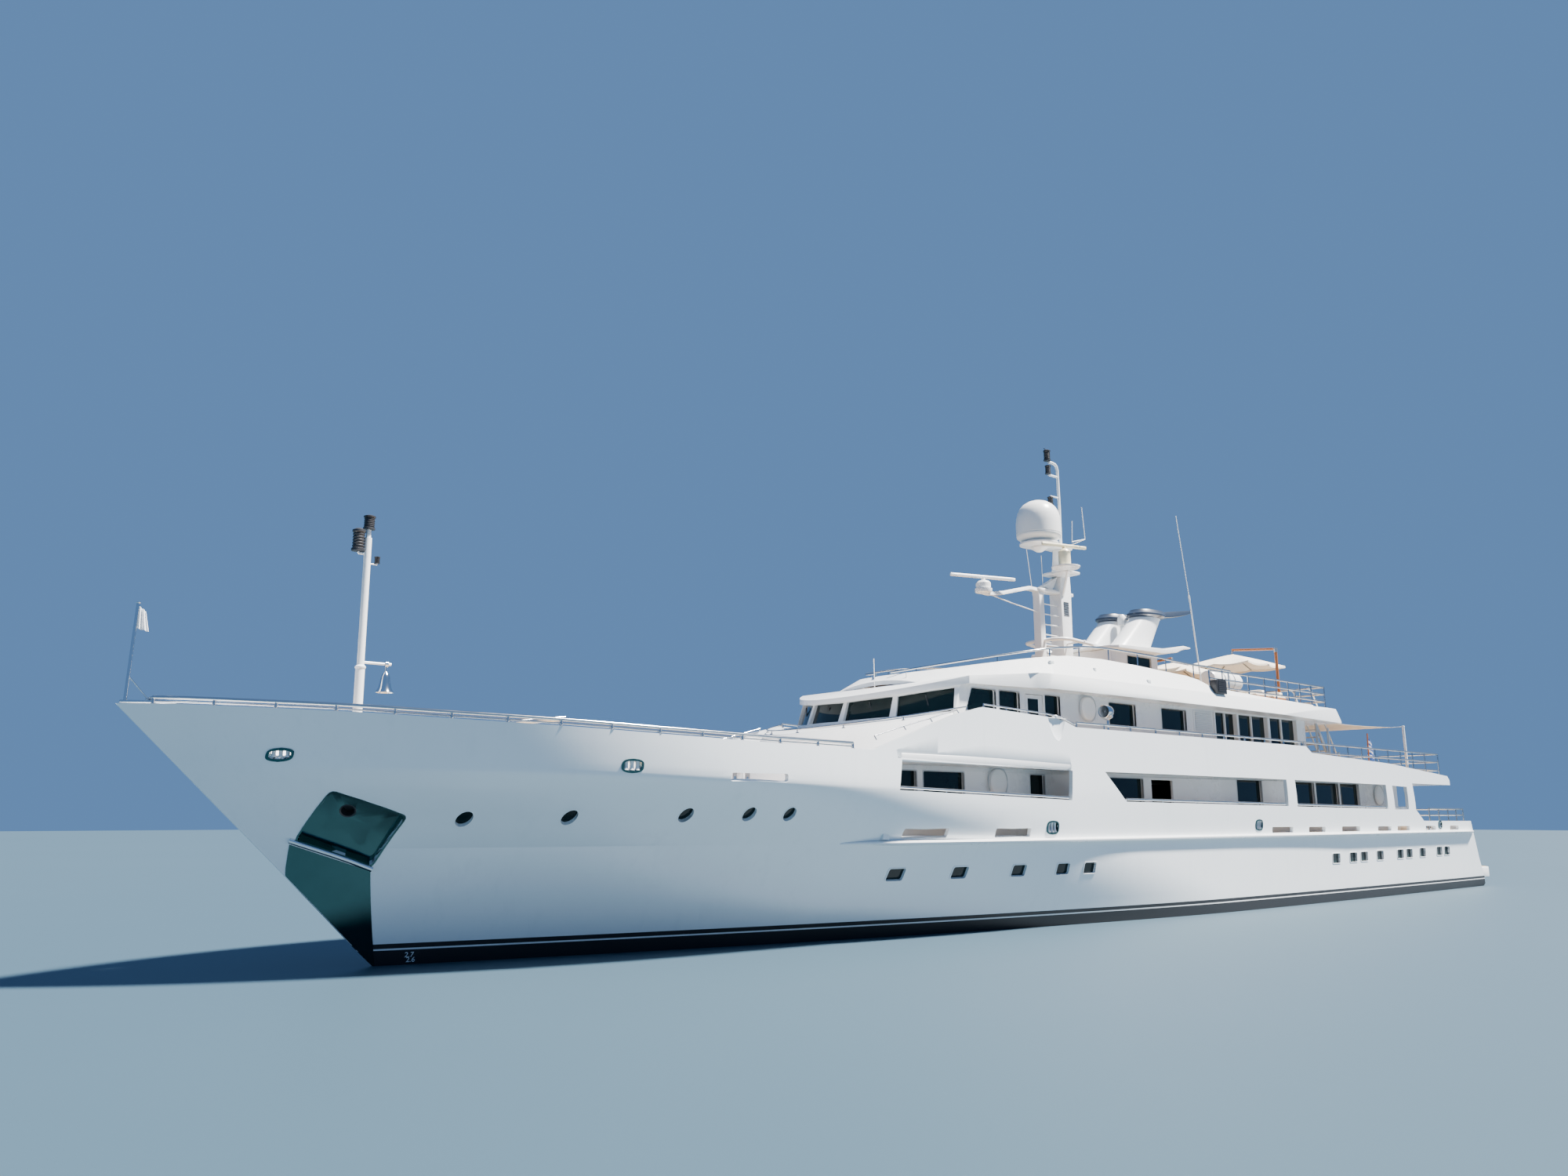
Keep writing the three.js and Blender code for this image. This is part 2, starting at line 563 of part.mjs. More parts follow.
// Upper deckhouse: the wheelhouse with its raked front, and the saloon abaft it.
const UPPER_HOUSE = { aft: 33.0, half: 3.25 };
const housePlan = (z, inset) => {
  const lean = (z - UPPER_DECK) * 0.36;
  const front = frontArc(12.35 + lean + inset, 13.45 + lean + inset * 0.6, UPPER_HOUSE.half - inset, 10);
  return [
    ...front,
    [UPPER_HOUSE.aft - inset, -UPPER_HOUSE.half + inset],
    [UPPER_HOUSE.aft - inset, UPPER_HOUSE.half - inset],
  ];
};
const houseForm = (inset, low = UPPER_DECK + GAP, high = 7) =>
  loft([low, high].map((z) => levelRing(housePlan(z, inset), z)));

// Roof line over the upper deckhouse, seen from the side; its front hangs low as a visor.
const ROOF_BELOW = [
  [12.55, 6.08],
  [14.3, 6.45],
  [17.0, 6.5],
  [ROOF_END, 6.42],
];
const ROOF_ABOVE = [
  [ROOF_END, 6.52],
  [34.75, 6.84],
  [34.65, SUNDECK],
  [17.0, SUNDECK],
  [14.3, 6.66],
  [12.55, 6.2],
];
const roofSide = sidePrism([...ROOF_BELOW, ...ROOF_ABOVE], -5, 5);
const underRoof = sidePrism([
  [12, 5.96 - GAP], ...ROOF_BELOW.map(([s, z]) => [s, z - GAP]), [40, 6.4], [40, 3], [12, 3],
], -5, 5);
// [s, half width] of the roof's side edge, abaft its rounded front
const ROOF_EDGE = [
  [16.8, 3.5],
  [17.35, 3.72],
  [18.4, 3.8],
  [22.0, 3.92],
  [25.7, 4.03],
  [30.0, 4.03],
  [ROOF_END, 3.65],
];
const roofPlan = [
  ...frontArc(12.6, 14.3, 3.45, 12),
  ...ROOF_EDGE.map(([s, half]) => [s, -half]),
  ...ROOF_EDGE.map(([s, half]) => [s, half]).reverse(),
];
addPart('roof', planPrism(roofPlan, 6, 7).intersect(roofSide), 'housePaint');

// Wheelhouse front windows, between plan points of the raked front.
const frontWindows = [];
const PANE_COUNT = 4;
for (let i = 0; i < PANE_COUNT; i += 1) {
  const middle = frontArc(12.9, 14.0, UPPER_HOUSE.half, 2 * PANE_COUNT);
  const [s0, y0] = middle[i * 2];
  const [s1, y1] = middle[i * 2 + 2];
  const along = (part, out) => {
    const s = s0 + (s1 - s0) * part;
    const y = y0 + (y1 - y0) * part;
    const dy = (y1 - y0) / Math.hypot(s1 - s0, y1 - y0);
    const ds = (s1 - s0) / Math.hypot(s1 - s0, y1 - y0);
    return [s + dy * out, y - ds * out];
  };
  const ring = (out) => {
    const [sa, ya] = along(0.09, out);
    const [sb, yb] = along(0.91, out);
    const sill = (s) => 5.5 + (s - 12.8) * 0.12;
    const head = (s) => 6.0 + (s - 12.9) * 0.26;
    return [[sa, ya, sill(s0)], [sb, yb, sill(s1)], [sb, yb, head(s1)], [sa, ya, head(s0)]];
  };
  frontWindows.push(loft([ring(-0.7), ring(0.7)]));
}
// [fore edge, after edge, sill, head]
const UPPER_WINDOWS = [
  [14.4, 15.55, 5.7, 6.36],
  [15.72, 16.55, 5.68, 6.37],
  [17.85, 18.45, 5.56, 6.37],
  [20.8, 22.2, 5.6, 6.34],
  [23.65, 25.1, 5.6, 6.34],
  [26.8, 28.1, 4.65, 6.3],
  [28.3, 30.15, 4.65, 6.3],
  [30.4, 32.25, 4.65, 6.3],
];
const WING_DOOR = { fore: 16.85, aft: 17.65, sill: 4.56, head: 6.36 };
const upperHoles = [
  ...frontWindows,
  ...UPPER_WINDOWS.map(([s0, s1, z0, z1]) => block(s0, s1, -EVERYWHERE, EVERYWHERE, z0, z1)),
  block(WING_DOOR.fore, WING_DOOR.aft, -EVERYWHERE, EVERYWHERE, WING_DOOR.sill, WING_DOOR.head),
  block(32, 34, -0.75, 0.75, UPPER_DECK + 0.08, 6.25),
];
const houseWalls = houseForm(0).subtract(houseForm(WALL, UPPER_DECK - 1, 8)).intersect(underRoof);
addPart('upper_deckhouse', cut(houseWalls, upperHoles), 'housePaint');

const glassBand = block(12, 32.85, -5, 5, 4.6, 6.38).intersect(underRoof);
const glassShell = houseForm(WALL + GAP, 4, 8).subtract(houseForm(WALL + GAP + GLASS, 3, 9))
  .intersect(glassBand);
const frontBand = block(12, 14.2, -5, 5, 5.3, 6.4);
addPart('wheelhouse_glass', glassShell.intersect(frontBand), 'glass');
for (const [side, sign] of SIDES) {
  const half = block(14.2 + GAP, 32.8, 2.5, 5, 4.6, 6.38);
  const solidWalls = [
    block(14, 16.6, 2, 5, 4, 5.6),
    block(WING_DOOR.fore - 0.12, WING_DOOR.aft + 0.12, 2, 5, 4, 6.375),
    block(17.7, 26.7, 2, 5, 4, 5.5),
  ];
  const strip = glassShell.intersect(half);
  addPart(`upper_glass_${side}`, mirrored(cut(strip, solidWalls), sign), 'glass');

  const leafStart = WING_DOOR.fore + HINGE_GAP;
  const leafEnd = WING_DOOR.aft - RUNNING_GAP;
  const leaf = block(leafStart, leafEnd, UPPER_HOUSE.half - WALL / 2 - 0.022,
    UPPER_HOUSE.half - WALL / 2 + 0.022, WING_DOOR.sill + RUNNING_GAP, WING_DOOR.head - RUNNING_GAP);
  const pin = hingePin(leafStart, UPPER_HOUSE.half - WALL / 2, WING_DOOR.sill, WING_DOOR.head);
  addPart(`wing_door_${side}`, mirrored(join([leaf, pin]), sign), 'housePaint');
}
addPart('saloon_door', slidingLeaf(UPPER_HOUSE.aft - WALL, UPPER_DECK, 6.3), 'glass');

// Sundeck: the fairing that leans inward round it, the deckhouse and the hardtop.
const FAIRING_TOP = [
  [14.2, 6.96],
  [15.2, 7.09],
  [16.1, 7.24],
  [17.0, 7.38],
  [18.0, 7.51],
  [18.8, 7.6],
  [20.5, 7.65],
  [22.3, 7.6],
  [23.1, 7.56],
  [25.0, 7.47],
  [25.6, 7.38],
  [26.1, 7.2],
  [27.4, 7.12],
  [29.4, 7.05],
  [31.6, 7.0],
  [33.0, 6.97],
];
const fairingPlan = (z, inset) => {
  const lean = (z - SUNDECK) * 0.62;
  const front = frontArc(14.45 + lean * 3.2 + inset * 2.4, 17.6 + lean * 0.8 + inset, 3.74 - lean - inset);
  return [...front, [33.0, -3.74 + lean + inset], [33.0, 3.74 - lean - inset]];
};
const fairingForm = (inset) =>
  loft([6.5, 8.1].map((z) => levelRing(fairingPlan(z, inset), z)));
const fairingSide = sidePrism([...FAIRING_TOP, [33.0, 6.5], [14.2, 6.5]], -5, 5);
const aboveRoof = planPrism(roofPlan.map(([s, y]) => [s, y * 1.2]), 6.4, 9)
  .subtract(sidePrism([...ROOF_BELOW, ...ROOF_ABOVE.map(([s, z]) => [s, z + GAP])], -6, 6))
  .intersect(block(12.6, 33, -5, 5, 6.5, 9));
const fairing = fairingForm(0).subtract(fairingForm(WALL)).intersect(fairingSide).intersect(aboveRoof);
addPart('sundeck_fairing', cut(fairing, [block(32.8, 34, -5, 5, 6, 9)]), 'housePaint');

const SUN_HOUSE = { fore: 23.5, aft: 26.2, half: 1.6 };
const sunRing = (inset) => block(SUN_HOUSE.fore + inset, SUN_HOUSE.aft - inset,
  -SUN_HOUSE.half + inset, SUN_HOUSE.half - inset, SUNDECK + GAP - inset, HARDTOP - GAP + inset);
const sunHoles = [
  block(24.4, 25.8, -EVERYWHERE, EVERYWHERE, 7.85, 8.3),
  block(26, 27, -0.45, 0.45, 7.05, 8.35),
];
addPart('sundeck_house', cut(sunRing(0).subtract(sunRing(WALL)), sunHoles), 'housePaint');

const hardtopPlan = [
  [23.4, 1.62],
  [23.4, -1.62],
  [23.62, -1.84],
  [26.9, -2.0],
  [28.2, -1.7],
  [28.2, 1.7],
  [26.9, 2.0],
  [23.62, 1.84],
];
const hardtopSide = sidePrism([
  [23.2, HARDTOP], [26.4, HARDTOP], [28.2, 8.75], [28.3, 8.9], [26.2, 8.64], [24.2, 8.6], [23.2, 8.56],
], -3, 3);
addPart('hardtop', planPrism(hardtopPlan, 8, 9).intersect(hardtopSide), 'housePaint');

// Twin funnels, raked aft, each with a flared dark cap and a fin.
const FUNNEL = { y: 0.66, low: [24.75, 26.85, 8.62], top: [26.35, 27.7, 9.95], half: 0.44, sides: 16 };
function ovalRing(fore, aft, y, half, z) {
  const ring = [];
  for (let i = 0; i < FUNNEL.sides; i += 1) {
    const turn = (i / FUNNEL.sides) * 2 * Math.PI;
    const c = Math.cos(turn);
    const n = Math.sin(turn);
    const across = Math.sign(n) * Math.abs(n) ** 0.8;
    ring.push([(fore + aft) / 2 + ((aft - fore) / 2) * c, y + half * across, z]);
  }
  return ring;
}
const aboveHardtop = block(20, 30, -3, 3, 8.4, 14).subtract(sidePrism([
  [20.8, 8.3], [28.3, 8.3], [28.3, 8.9 + GAP], [26.2, 8.64 + GAP], [24.2, 8.6 + GAP], [23.2, 8.56 + GAP],
  [20.8, 8.56 + GAP],
], -3, 3));
for (const [side, sign] of SIDES) {
  const y = FUNNEL.y * sign;
  const [foreLow, aftLow] = FUNNEL.low;
  const [foreTop, aftTop, top] = FUNNEL.top;
  const casing = loft([
    ovalRing(foreLow - 0.1, aftLow, y, FUNNEL.half, 8.5),
    ovalRing(foreTop, aftTop, y, FUNNEL.half, top),
  ]).intersect(aboveHardtop);
  addPart(`funnel_${side}`, casing, 'housePaint');
  const capForm = loft([
    ovalRing(foreTop + 0.02, aftTop - 0.02, y, FUNNEL.half, top + GAP),
    ovalRing(foreTop - 0.18, aftTop + 0.25, y, FUNNEL.half + 0.12, top + 0.12),
    ovalRing(foreTop + 0.0, aftTop + 0.35, y, FUNNEL.half, top + 0.3),
  ]);
  const fin = sidePrism([
    [aftTop - 0.1, top + 0.1], [aftTop + 0.6, top + 0.02], [30.0, top + 0.52], [29.9, top + 0.64],
    [aftTop + 0.3, top + 0.26],
  ], y - FUNNEL.half * 0.8, y + FUNNEL.half * 0.8);
  addPart(`funnel_cap_${side}`, join([capForm, fin]), 'navy');
}

// Main mast with its platforms, pole and arm, on the hardtop.
const MAST = { s: 23.0, low: 8.6, top: 12.3 };
const mastColumn = loft([
  [[22.76, 0.27, SUNDECK + GAP], [23.22, 0.27, SUNDECK + GAP], [23.22, -0.27, SUNDECK + GAP], [22.76, -0.27, SUNDECK + GAP]],
  [[22.74, 0.24, 10.5], [23.34, 0.24, 10.5], [23.34, -0.24, 10.5], [22.74, -0.24, 10.5]],
  [[22.85, 0.2, 11.1], [23.36, 0.2, 11.1], [23.36, -0.2, 11.1], [22.85, -0.2, 11.1]],
  [[22.95, 0.17, MAST.top], [23.4, 0.17, MAST.top], [23.4, -0.17, MAST.top], [22.95, -0.17, MAST.top]],
]);
const mastPieces = [
  mastColumn,
  bar([21.83, 0, SUNDECK + GAP], [21.83, 0, 10.55], 0.16, 8),
  block(21.65, 23.6, -0.2, 0.2, 10.38, 10.52),
  bar([21.8, 0, 10.45], [19.6, 0, 10.05], 0.09, 6),
  bar([19.7, 0, 10.06], [19.03, 0, 10.03], 0.08, 6),
  turned(19.03, 0, [[0, 10.06], [0.28, 10.06], [0.28, 10.16], [0, 10.16]], 12),
  turned(22.0, 1.02, [[0, 11.06], [0.48, 11.06], [0.48, 11.14], [0, 11.14]], 16),
  block(22.2, 23.1, -0.17, 0.85, 11.06, 11.14),
  block(21.4, 23.5, -0.35, 0.35, 12.02, 12.12),
  bar([23.15, 0, 12.2], [22.85, 0, 15.2], 0.05, 8),
  bar([22.85, 0, 15.15], [22.55, 0, 15.15], 0.03, 6),
  turned(22.55, 0, [[0, 14.95], [0.11, 14.95], [0.11, 15.5], [0.03, 15.55], [0, 15.65]], 10),
];
addPart('main_mast', join(mastPieces), 'housePaint');

const dome = turned(22.0, 0, [
  [0, 12.12 + GAP], [0.3, 12.12 + GAP], [0.36, 12.2], [0.7, 12.35], [0.76, 12.5], [0.76, 12.9],
  [0.7, 13.2], [0.52, 13.45], [0.28, 13.58], [0, 13.63],
], 18);
addPart('satellite_dome', dome, 'whitePlastic');

// Two turning scanners, each a bar on a drum.
// [name, s, y, foot level, bar level, span, drum radius, degrees the bar stands off fore and aft]
const SCANNERS = [
  ['radar_forward', 19.03, 0, 10.16, 10.5, 2.4, 0.24, 17.5],
  ['radar_upper', 22.0, 1.02, 11.14, 11.8, 1.8, 0.2, 15],
];
for (const [name, s, y, base, level, span, drum, degrees] of SCANNERS) {
  const foot = base + GAP;
  const body = turned(s, y, [[0, foot], [drum, foot], [drum, level - 0.1], [0, level - 0.1]], 12);
  const neck = bar([s, y, level - 0.15], [s, y, level + 0.05], 0.06, 8);
  const [c, n] = [Math.cos(degrees * Math.PI / 180), Math.sin(degrees * Math.PI / 180)];
  const scannerOutline = [[-1, -0.06], [1, -0.06], [1, 0.06], [-1, 0.06]].map(([end, off]) => [
    s + (end * span / 2) * c - off * n, y + (end * span / 2) * n + off * c]);
  const scanner = planPrism(scannerOutline, level, level + 0.1);
  addPart(name, join([body, neck, scanner]), 'whitePlastic');
}

// Foredeck: mast with lanterns, bell, staff at the stem and two windlasses.
const FOREMAST = { s: -0.66, top: 9.25 };
const foremast = join([
  bar([FOREMAST.s, 0, FOREDECK + GAP], [FOREMAST.s - 0.05, 0, 8.75], 0.1, 10, 0.06),
  bar([FOREMAST.s - 0.05, 0, 8.6], [FOREMAST.s - 0.05, 0, FOREMAST.top - 0.25], 0.05, 8),
  turned(FOREMAST.s - 0.05, 0, [
    [0, FOREMAST.top - 0.3], [0.11, FOREMAST.top - 0.3], [0.11, FOREMAST.top], [0, FOREMAST.top]], 10),
  bar([FOREMAST.s, 0, 8.42], [FOREMAST.s - 0.26, 0, 8.42], 0.035, 6),
  turned(FOREMAST.s - 0.25, 0, [[0, 8.42], [0.12, 8.42], [0.12, 8.93], [0, 8.93]], 10),
  bar([FOREMAST.s, 0, 6.1], [FOREMAST.s + 0.62, 0, 6.1], 0.03, 12),
]);
addPart('foremast', foremast, 'housePaint');

// The bell swings from a ring round the mast's short arm.
const BELL_ARM = { s: FOREMAST.s + 0.52, z: 6.1, radius: 0.03 };
const bellBody = turned(BELL_ARM.s, 0, [
  [0, 5.5], [0.19, 5.5], [0.13, 5.62], [0.09, 5.82], [0.05, 5.9], [0.02, 5.92], [0.02, 6.05], [0, 6.05],
], 14);
const acrossArm = (half, radius) => bar(
  [BELL_ARM.s - half, 0, BELL_ARM.z], [BELL_ARM.s + half, 0, BELL_ARM.z], radius, BORE_SIDES);
const bell = cut(join([bellBody, acrossArm(0.03, 0.06)]), [acrossArm(0.1, boreFor(BELL_ARM.radius - GAP / 2))]);
addPart('ship_bell', bell, 'steel');

// The jackstaff stands on a small cap over the stemhead.
const capOutline = [[-5.0, 0.04], [-4.3, 0.32], [-4.1, 0.32], [-4.1, -0.32], [-4.3, -0.32], [-5.0, -0.04]];
const capSide = sidePrism([[-5.1, sheerAt(-5.1) + GAP], [-4, sheerAt(-4) + GAP], [-4, 4.992], [-5.1, 5.01]], -1, 1);
const stemCap = planPrism(capOutline, 4.9, 5.1).intersect(capSide);
const jackstaff = join([stemCap, bar([-4.9, 0, 4.995], [-4.86, 0, 6.88], 0.03, 8)]);
addPart('jackstaff', jackstaff, 'steel');

const windlassPieces = [block(0.9, 1.9, -1.3, 1.3, FOREDECK + GAP, FOREDECK + 0.1)];
for (const [, sign] of SIDES) {
  const y = 0.85 * sign;
  windlassPieces.push(block(1.2, 1.6, y - 0.22, y + 0.22, FOREDECK + 0.05, 4.15));
  windlassPieces.push(bar([1.4, y - 0.42, 4.15], [1.4, y + 0.42, 4.15], 0.26, 12));
}
addPart('windlass', join(windlassPieces), 'steel');

// Rails: square tube along a path of [s, y, z] feet, on upright posts.
function runningBar(points, height, radius) {
  const flat = points.map(([s, y]) => new THREE.Vector2(s, y));
  const rings = points.map(([s, y, z], i) => {
    const before = flat[Math.max(0, i - 1)];
    const after = flat[Math.min(flat.length - 1, i + 1)];
    const run = after.clone().sub(before).normalize();
    const [ds, dy] = [-run.y * radius, run.x * radius];
    const level = z + height;
    return [
      [s + ds, y + dy, level - radius], [s - ds, y - dy, level - radius],
      [s - ds, y - dy, level + radius], [s + ds, y + dy, level + radius],
    ];
  });
  return loft(rings);
}

function railing(points, heights, radius) {
  const top = heights[heights.length - 1];
  const posts = points.map(([s, y, z]) => block(s - radius, s + radius, y - radius, y + radius, z, z + top));
  return join([...heights.map((height) => runningBar(points, height, radius * 0.8)), ...posts]);
}
const BOW_POSTS = [-4.3, -3.2, -2.0, -0.7, 0.8, 2.4, 4.1, 5.9, 7.7, 9.5];
const bowPath = [
  ...BOW_POSTS.map((s) => [s, sideAt(s, 4.8) - PLATE / 2, sheerAt(s) + 2 * GAP]).reverse(),
  ...BOW_POSTS.map((s) => [s, PLATE / 2 - sideAt(s, 4.8), sheerAt(s) + 2 * GAP]),
];
addPart('bow_rail', railing(bowPath, [0.06, 0.14], 0.022), 'steel');

const sundeckPath = [
  [26.4, 3.38], [27.6, 3.4], [30, 3.4], [32.4, 3.38], [34.6, 3.3], [34.6, 1.1], [34.6, -1.1], [34.6, -3.3],
  [32.4, -3.38], [30, -3.4], [27.6, -3.4], [26.4, -3.38],
];
const sundeckRail = railing(sundeckPath.map(([s, y]) => [s, y, SUNDECK + GAP]), [0.3, 0.55, 0.85], 0.022);
addPart('sundeck_rail', sundeckRail, 'steel');

// Along the upper bulwark the rail is one low bar, and round the after end it has three.
const UPPER_POSTS = [17.9, 20.5, 23.1, 25.7, 28.3, 30.9];
const lowRail = (sign) => railing(UPPER_POSTS.map(
  (s) => [s, (sideAt(s, 5.3) - PLATE / 2) * sign, 5.4 + GAP]), [0.14], 0.022);
const upperAftPath = [
  [31.4, 3.92], [33.8, 3.86], [36.2, 3.8], [38.6, 3.74], [41.0, 3.68], [43.5, 3.55], [43.5, 1.2],
  [43.5, -1.2], [43.5, -3.55], [41.0, -3.68], [38.6, -3.74], [36.2, -3.8], [33.8, -3.86], [31.4, -3.92],
];
const afterRail = railing(upperAftPath.map(([s, y]) => [s, y, UPPER_DECK + GAP]), [0.4, 0.75, 1.09], 0.022);
const links = SIDES.map(([, sign]) => bar([30.9, (sideAt(30.9, 5.3) - PLATE / 2) * sign, 5.54 + GAP],
  [31.4, 3.92 * sign, 5.54 + GAP], 0.02));
addPart('upper_rail', join([lowRail(1), lowRail(-1), afterRail, ...links]), 'steel');

const STERN_POSTS = [43.6, 45.3];
const STERN_CAP = 45.86;
const sternSide = STERN_POSTS.map((s) => [s, sideAt(s, 2.77) - PLATE / 2]);
const sternPath = [
  ...sternSide,
  [STERN_CAP, 3.3], [STERN_CAP, 1.1], [STERN_CAP, -1.1], [STERN_CAP, -3.3],
  ...sternSide.map(([s, y]) => [s, -y]).reverse(),
];
addPart('stern_rail',
  railing(sternPath.map(([s, y]) => [s, y, sternTop(s) + GAP]), [0.25, 0.5], 0.022), 'steel');

// Shade: two cantilever umbrellas on the sundeck and an awning over the upper deck aft.
// [name, canopy s, canopy y, post s, post y, half width, canopy top, canopy rim]
const UMBRELLAS = [
  ['umbrella_aft', 33.2, 0.5, 33.55, 2.1, 1.4, 9.3, 8.72],
  ['umbrella_forward', 28.9, 0.5, 28.9, -1.1, 1.4, 8.6, 8.05],
];
const CLOTH = 0.05;
const squareRing = (s, y, half, z) => [
  [s - half, y - half, z], [s + half, y - half, z], [s + half, y + half, z], [s - half, y + half, z],
];
for (const [name, s, y, postS, postY, half, top, rim] of UMBRELLAS) {
  const cloth = loft([
    squareRing(s, y, half, rim), squareRing(s, y, half, rim + CLOTH), squareRing(s, y, CLOTH, top)]);
  const under = loft([squareRing(s, y, half - CLOTH, rim - CLOTH), squareRing(s, y, CLOTH / 5, top - 1.5 * CLOTH)]);
  const pieces = [
    cloth.subtract(under),
    bar([postS, postY, SUNDECK + GAP], [postS, postY, top + 0.05], 0.055, 6),
    bar([postS, postY, top], [s, y, top + 0.12], 0.045, 6),
    bar([s, y, top - 0.06], [s, y, top + 0.15], 0.03, 6),
    block(postS - 0.35, postS + 0.35, postY - 0.35, postY + 0.35, SUNDECK + GAP, SUNDECK + 0.09),
  ];
  addPart(name, join(pieces), 'cloth');
}
const AWNING = { fore: 35.25, aft: 40.95, half: 3.1, low: 6.5, high: 6.56 };
const awningSheet = sidePrism([
  [AWNING.fore, AWNING.low], [AWNING.aft, AWNING.high], [AWNING.aft, AWNING.high + 0.03],
  [AWNING.fore, AWNING.low + 0.03],
], -AWNING.half, AWNING.half);
const awningPoles = SIDES.flatMap(([, sign]) => [
  bar([41.1, 3.4 * sign, UPPER_DECK + GAP], [41.1, 3.4 * sign, 6.65], 0.045, 8),
  bar([40.8, 3.0 * sign, 6.575], [41.1, 3.4 * sign, 6.6], 0.02, 4),
]);
const awningSeats = SIDES.map(([, sign]) => bar([ROOF_END + GAP, 2.9 * sign, 6.52],
  [AWNING.fore + 0.1, 2.9 * sign, 6.52], 0.02, 4));
addPart('aft_awning', join([awningSheet, ...awningPoles, ...awningSeats]), 'cloth');

const RAFT = { s: 28.0, y: 2.9, z: 7.56, half: 0.95, radius: 0.35 };
for (const [side, sign] of SIDES) {
  // Liferaft canister on its cradle, inside the sundeck fairing.
  const cradles = [RAFT.s - 0.6, RAFT.s + 0.45].map((place) => block(place, place + 0.15,
    RAFT.y * sign - 0.25, RAFT.y * sign + 0.25, SUNDECK + GAP, RAFT.z - 0.15));
  const canister = bar([RAFT.s - RAFT.half, RAFT.y * sign, RAFT.z], [RAFT.s + RAFT.half, RAFT.y * sign, RAFT.z],
    RAFT.radius, 14);
  addPart(`liferaft_${side}`, join([canister, ...cradles]), 'whitePlastic');

  // Searchlight on a post just inside the upper bulwark.
  const y = (sideAt(20, 5.3) - PLATE - 0.06) * sign;
  const lamp = join([
    bar([19.6, y, UPPER_DECK + GAP], [19.6, y, 5.78], 0.035, 6),
    bar([19.42, y, 5.9], [19.78, y, 5.9], 0.2, 14),
  ]);
  addPart(`searchlight_${side}`, lamp, 'steel');

  // Polished plates where the anchor stows and down the stem.
  const plateSide = sidePrism([
    [-1.36, 3.43], [-0.02, 2.97], [-0.42, 1.98], [-0.2, 0.3], [0.1, 0.02], [-0.05, 0.02], [-1.95, 1.86],
    [-1.9, 2.5],
  ], sign > 0 ? GAP : -5, sign > 0 ? 5 : -GAP);
  const plate = hullForm(-0.022).subtract(hullForm(-GAP)).intersect(plateSide);
  addPart(`anchor_plate_${side}`, plate, 'steel');
}

const ensign = join([
  bar([43.75, 0.7, UPPER_DECK + GAP], [43.9, 0.7, 6.62], 0.03, 8),
  block(43.8, 44.3, 0.685, 0.715, 5.3, 6.3),
]);
addPart('ensign', ensign.intersect(block(43, 45, 0, 1, UPPER_DECK + GAP, 7)), 'cloth');

export default yacht;
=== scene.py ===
# %% [markdown]
# # A steel motor yacht at half size
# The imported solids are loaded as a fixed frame, with the bow towards +X, port
# towards +Y and the waterline at z = 0. Sizes are written as on the full-size yacht,
# in metres: s is the distance aft of the stem's foot, y is out to port, z is up.
# One small function turns them into the half-size model's own metres.

# %% The frame, and ship terms turned into model metres
import json
import math

import bpy
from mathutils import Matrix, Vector

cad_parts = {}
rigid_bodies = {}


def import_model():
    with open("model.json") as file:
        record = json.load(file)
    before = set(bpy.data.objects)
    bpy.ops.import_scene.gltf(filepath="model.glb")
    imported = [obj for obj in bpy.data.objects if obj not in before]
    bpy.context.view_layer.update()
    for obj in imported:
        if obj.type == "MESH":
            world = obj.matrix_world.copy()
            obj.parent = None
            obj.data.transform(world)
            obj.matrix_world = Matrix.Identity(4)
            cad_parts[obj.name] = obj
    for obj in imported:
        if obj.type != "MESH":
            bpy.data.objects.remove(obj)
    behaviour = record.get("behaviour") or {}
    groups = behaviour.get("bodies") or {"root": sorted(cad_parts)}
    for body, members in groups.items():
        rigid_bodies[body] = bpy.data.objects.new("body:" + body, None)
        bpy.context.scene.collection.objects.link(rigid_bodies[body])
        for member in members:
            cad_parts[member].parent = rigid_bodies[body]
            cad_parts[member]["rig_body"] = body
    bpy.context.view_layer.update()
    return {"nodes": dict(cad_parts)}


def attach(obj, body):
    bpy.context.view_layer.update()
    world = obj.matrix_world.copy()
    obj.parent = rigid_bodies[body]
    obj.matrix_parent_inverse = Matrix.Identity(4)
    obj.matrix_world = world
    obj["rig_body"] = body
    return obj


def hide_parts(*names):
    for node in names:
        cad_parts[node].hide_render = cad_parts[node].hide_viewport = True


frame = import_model()

SCALE = 0.5
MIDSHIP = 21.5
SIDES = (("port", 1), ("starboard", -1))


def at(s, y, z):
    return Vector(((MIDSHIP - s) * SCALE, y * SCALE, z * SCALE))


# %% [markdown]
# ## The camera
# The photograph was taken from low down off the port bow, with a wide lens. Its
# place was found from the level stripe at the waterline and the marks at the bow.

# %% Camera off the port bow
CAMERA_PLACE = (15.128, 11.875, 1.475)
CAMERA_AIM = Vector((-0.6214, -0.7583, 0.1971))
CAMERA_LENS_MM = 26.1

bpy.ops.object.camera_add(location=CAMERA_PLACE)
camera = bpy.context.object
camera.rotation_euler = CAMERA_AIM.to_track_quat("-Z", "Y").to_euler()
camera.data.lens = CAMERA_LENS_MM
camera.data.sensor_width = 36
camera.data.clip_end = 400
bpy.context.scene.camera = camera

# %% [markdown]
# ## Shared effects
# Paint on a ship is never one even colour: the plating under it is a little wavy,
# and salt and rain leave faint streaks. Each of these is a shader node group with
# named inputs, so every finish can use it at its own strength.

# %% A small helper that builds node trees by name


